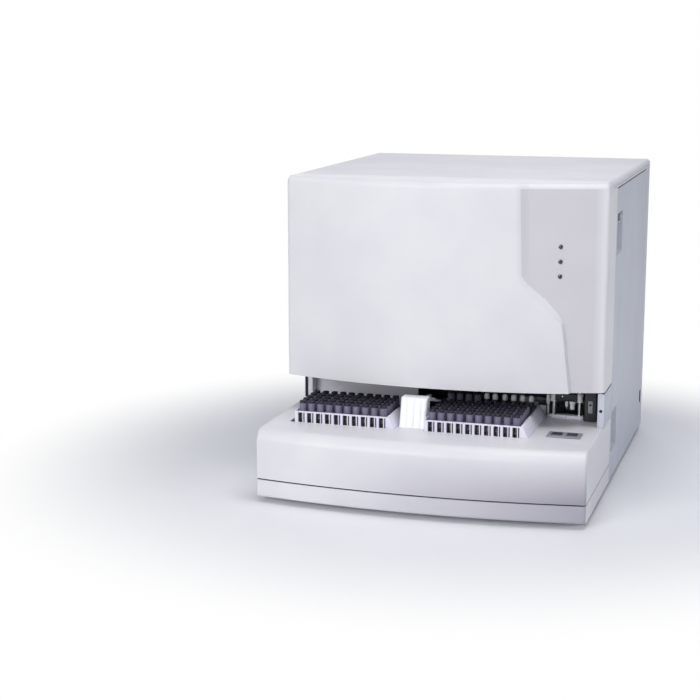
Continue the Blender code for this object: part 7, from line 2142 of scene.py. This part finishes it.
hub = turned([(0, 0), (MOTOR - 0.0004, 0), (MOTOR, 0.0004), (MOTOR, hub_deep - 0.003),
        (MOTOR - 0.001, hub_deep - 0.0008), (MOTOR - 0.003, hub_deep), (0, hub_deep)],
    (FAN_X, FAN_ROTOR_LOW.y, FAN_Z), BACK, 56)
piece("fan_wheel", gather((hub, 0), *blades), [DARK], ["fan_rotor"], body="fan_rotor",
    angle=40)
guard = []
GUARD_WIRE = 0.0008
for radius in (0.013, 0.0235, 0.034, 0.0445):
    turns = [math.tau * step / 10 for step in range(11)]
    ring_path = [(radius + GUARD_WIRE * math.cos(turn), GUARD_WIRE * math.sin(turn)) for turn in turns]
    guard.append(turned(ring_path, (FAN_X, REAR_HIGH.y - 0.0012, FAN_Z), BACK, 72))
for turn in [math.pi / 4 + math.pi / 2 * number for number in range(4)]:
    near, far = [(FAN_X + reach * math.cos(turn), REAR_HIGH.y - 0.0021, FAN_Z + reach * math.sin(turn))
        for reach in (0.0125, 0.057)]
    guard.append(rod(near, far, GUARD_WIRE, 12, 0))
piece("fan_guard", gather(*guard), BRUSHED_X, angle=40)
fan_screws = [screw((x, REAR_HIGH.y - 0.0016, z), BACK, 0.0034) for x, z in FAN_BOLTS]
piece("fan_screws", gather(*fan_screws), BRUSHED_Z)

# %% [markdown]
# At the foot of the rear shell are the mains inlet, with three flat pins in a shaped socket, and a dished
# plate with four hose ports. The ports are barbed, so that a push-on hose stays on. The rocker switch is in
# the side.

# %% Inlet, ports and rocker
inlet_x_low, inlet_x_high = INLET_X - 0.015, INLET_X + 0.015
shell = block((inlet_x_low, INLET_LOW.y, INLET_LOW.z), (inlet_x_high, INLET_HIGH.y, INLET_HIGH.z), 0.0008)
throat = [(inlet_x_low + 0.0025, INLET_LOW.z + 0.0025), (inlet_x_high - 0.0025, INLET_LOW.z + 0.0025),
    (inlet_x_high - 0.0025, INLET_HIGH.z - 0.0065), (inlet_x_high - 0.0065, INLET_HIGH.z - 0.0025),
    (inlet_x_low + 0.0065, INLET_HIGH.z - 0.0025), (inlet_x_low + 0.0025, INLET_HIGH.z - 0.0065)]
socket = carved(shell, pushed(throat, INLET_LOW.y + 0.003, INLET_HIGH.y + 0.01))
EARS_NEAR, EARS_FAR = 0.4617, 0.4667
flange = block((INLET_LOW.x, EARS_NEAR, INLET_LOW.z + 0.0025),
    (INLET_HIGH.x, EARS_FAR, INLET_HIGH.z - 0.0025), 0.0006)
flange = carved(flange, block((inlet_x_low + 0.001, 0.45, INLET_LOW.z - PAST),
        (inlet_x_high - 0.001, 0.48, INLET_HIGH.z + PAST), 0))
pins = [block((x - 0.001, INLET_LOW.y + 0.002, z - 0.002), (x + 0.001, INLET_LOW.y + 0.0165, z + 0.002),
        0.0005) for x, z in ((INLET_X - 0.007, INLET_Z - 0.002), (INLET_X, INLET_Z + 0.002),
        (INLET_X + 0.007, INLET_Z - 0.002))]
piece("mains_inlet", gather((socket, 0), (flange, 0), *((pin, 1) for pin in pins)), [DARK, BRASS],
    ["power_inlet"], angle=34)

port_x, port_z = (PORT_LOW.x + PORT_HIGH.x) / 2, (PORT_LOW.z + PORT_HIGH.z) / 2
port_half_x, port_half_z = (PORT_HIGH.x - PORT_LOW.x) / 2, (PORT_HIGH.z - PORT_LOW.z) / 2
dish = pushed(rounded(port_x, port_z, port_half_x, port_half_z, 0.002), PORT_LOW.y, PORT_HIGH.y,
    edge=0.0006)
pan = pushed(rounded(port_x, port_z, port_half_x - 0.0036, port_half_z - 0.0036, 0.004), PORT_LOW.y + 0.003,
    PORT_HIGH.y + 0.01)
piece("port_dish", carved(dish, pan), ZINC, ["fluid_port_plate"], angle=34)
barb = [(0, -0.001), (0.006, -0.001), (0.006, 0.0022), (0.0054, 0.0028), (0.0036, 0.0028), (0.0036, 0.0036)]
for step in range(3):
    z = 0.0036 + step * 0.002
    barb += [(0.0046, z), (0.0036, z + 0.0018)]
barb += [(0.0034, 0.01), (0.002, 0.01), (0.002, 0.006), (0, 0.006)]
in_rows("hose_barbs", turned(barb, along=BACK, sides=28), NYLON, "white_plastic",
    (-0.281, PORT_LOW.y + 0.003, port_z), (0.034, 0, 0), 4, angle=34)
collar = turned(mm((6.2, 0.2), (8.8, 0.2), (8.8, 1.2), (8.2, 1.6), (6.2, 1.6), (6.2, 0.2)), along=BACK,
    sides=6)
in_rows("barb_nuts", collar, BRUSHED_Z, "steel", (-0.281, PORT_LOW.y + 0.0028, port_z), (0.034, 0, 0), 4,
    angle=30)

rocker_z = (ROCKER_LOW.z + ROCKER_HIGH.z) / 2
reach = (ROCKER_HIGH.z - ROCKER_LOW.z) / 2
outline = [(ROCKER_LOW.x, rocker_z - reach * 0.9), (ROCKER_HIGH.x - 0.0012, rocker_z - reach),
    (ROCKER_HIGH.x - 0.0003, rocker_z - reach * 0.97), (ROCKER_HIGH.x, rocker_z - reach * 0.9)]
outline += [(ROCKER_HIGH.x - 0.0013 * (1 - (place / 0.9) ** 2), rocker_z + reach * place)
    for place in even(-0.75, 0.75, 10)]
outline += [(ROCKER_HIGH.x, rocker_z + reach * 0.9), (ROCKER_HIGH.x - 0.0003, rocker_z + reach * 0.97),
    (ROCKER_HIGH.x - 0.0012, rocker_z + reach), (ROCKER_LOW.x, rocker_z + reach * 0.9)]
piece("rocker_key", pushed(outline, ROCKER_LOW.y, ROCKER_HIGH.y, edge=0.0003), [KEY_DARK],
    ["power_rocker"], body="power_rocker", angle=40)

# %% [markdown]
# The fixed wires run from the supply to the inlet and to the board, from the board to the optics as a flat
# ribbon, and to the fan. Each follows the shelf or the panel, as clips would hold it.

# %% Fixed wires
looms = [bent_tube([(INLET_X + x, INLET_LOW.y + 0.001, INLET_Z + z),
            (INLET_X + x, INLET_LOW.y - 0.006, INLET_Z + z),
            (INLET_X + x * 1.2 + 0.002, SUPPLY_HIGH.y - 0.0005, INLET_Z + z - 0.012)], 0.0013, 10, 5)
    for x, z in ((-0.007, -0.002), (0, 0.002), (0.007, -0.002))]
looms.append(bent_tube([at(FAN_INNER, -12, 0.5), at(FAN_INNER, -26, -3, 1), at(FAN_INNER, -56, -3, 1),
            at(FAN_INNER, -78, -3, 12), at(FAN_INNER, -108, -10, 22), (-0.326, 0.39, 0.524),
            (-0.318, 0.34, 0.516), (-0.302, 0.302, 0.508), (board_face + 0.009, 0.285, 0.5),
            (board_face + 0.01, 0.268, 0.492), (board_face + 0.006, 0.268, 0.489)], 0.0018, 12, 6))
piece("wire_looms", gather(*looms), RUBBER, angle=60)
ribbon_y, ribbon_half = 0.19, 0.009
ribbon_path = smooth_path([(board_face + 0.003, ribbon_y, 0.264), (board_face + 0.01, ribbon_y, 0.256),
        (board_face + 0.024, ribbon_y, SHELF_TOP + 0.0022), (-0.2, ribbon_y, SHELF_TOP + 0.0012),
        (-0.08, ribbon_y, SHELF_TOP + 0.0012), (housing_x - 0.012, ribbon_y, SHELF_TOP + 0.004),
        (housing_x + 0.0006, ribbon_y, SHELF_TOP + 0.01)], 6)
profile = [(-ribbon_half + 2 * ribbon_half * step / 36, 0.0005 + (0.0002 if step % 2 else 0))
    for step in range(37)]
ring = profile + [(place, -rise) for place, rise in reversed(profile)]
rings = []
for i, point in enumerate(ribbon_path):
    up = heading_at(ribbon_path, i).cross(Vector(BACK)).normalized()
    rings.append([point + Vector(BACK) * across + up * rise for across, rise in ring])
plug = block((board_face - 0.0002, ribbon_y - 0.0115, 0.26),
    (board_face + 0.0064, ribbon_y + 0.0115, 0.268), 0.0006)
piece("ribbon_cable", gather((lofted(rings), 0), (plug, 1)), [KEY_GREY, BLACK], angle=30)

# %% [markdown]
# The last step notes the size of the finished analyzer, to set beside the CAD box printed at the start.

# %% Note the size
low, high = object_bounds()
print("size", [round(far - near, 4) for near, far in zip(low, high)])
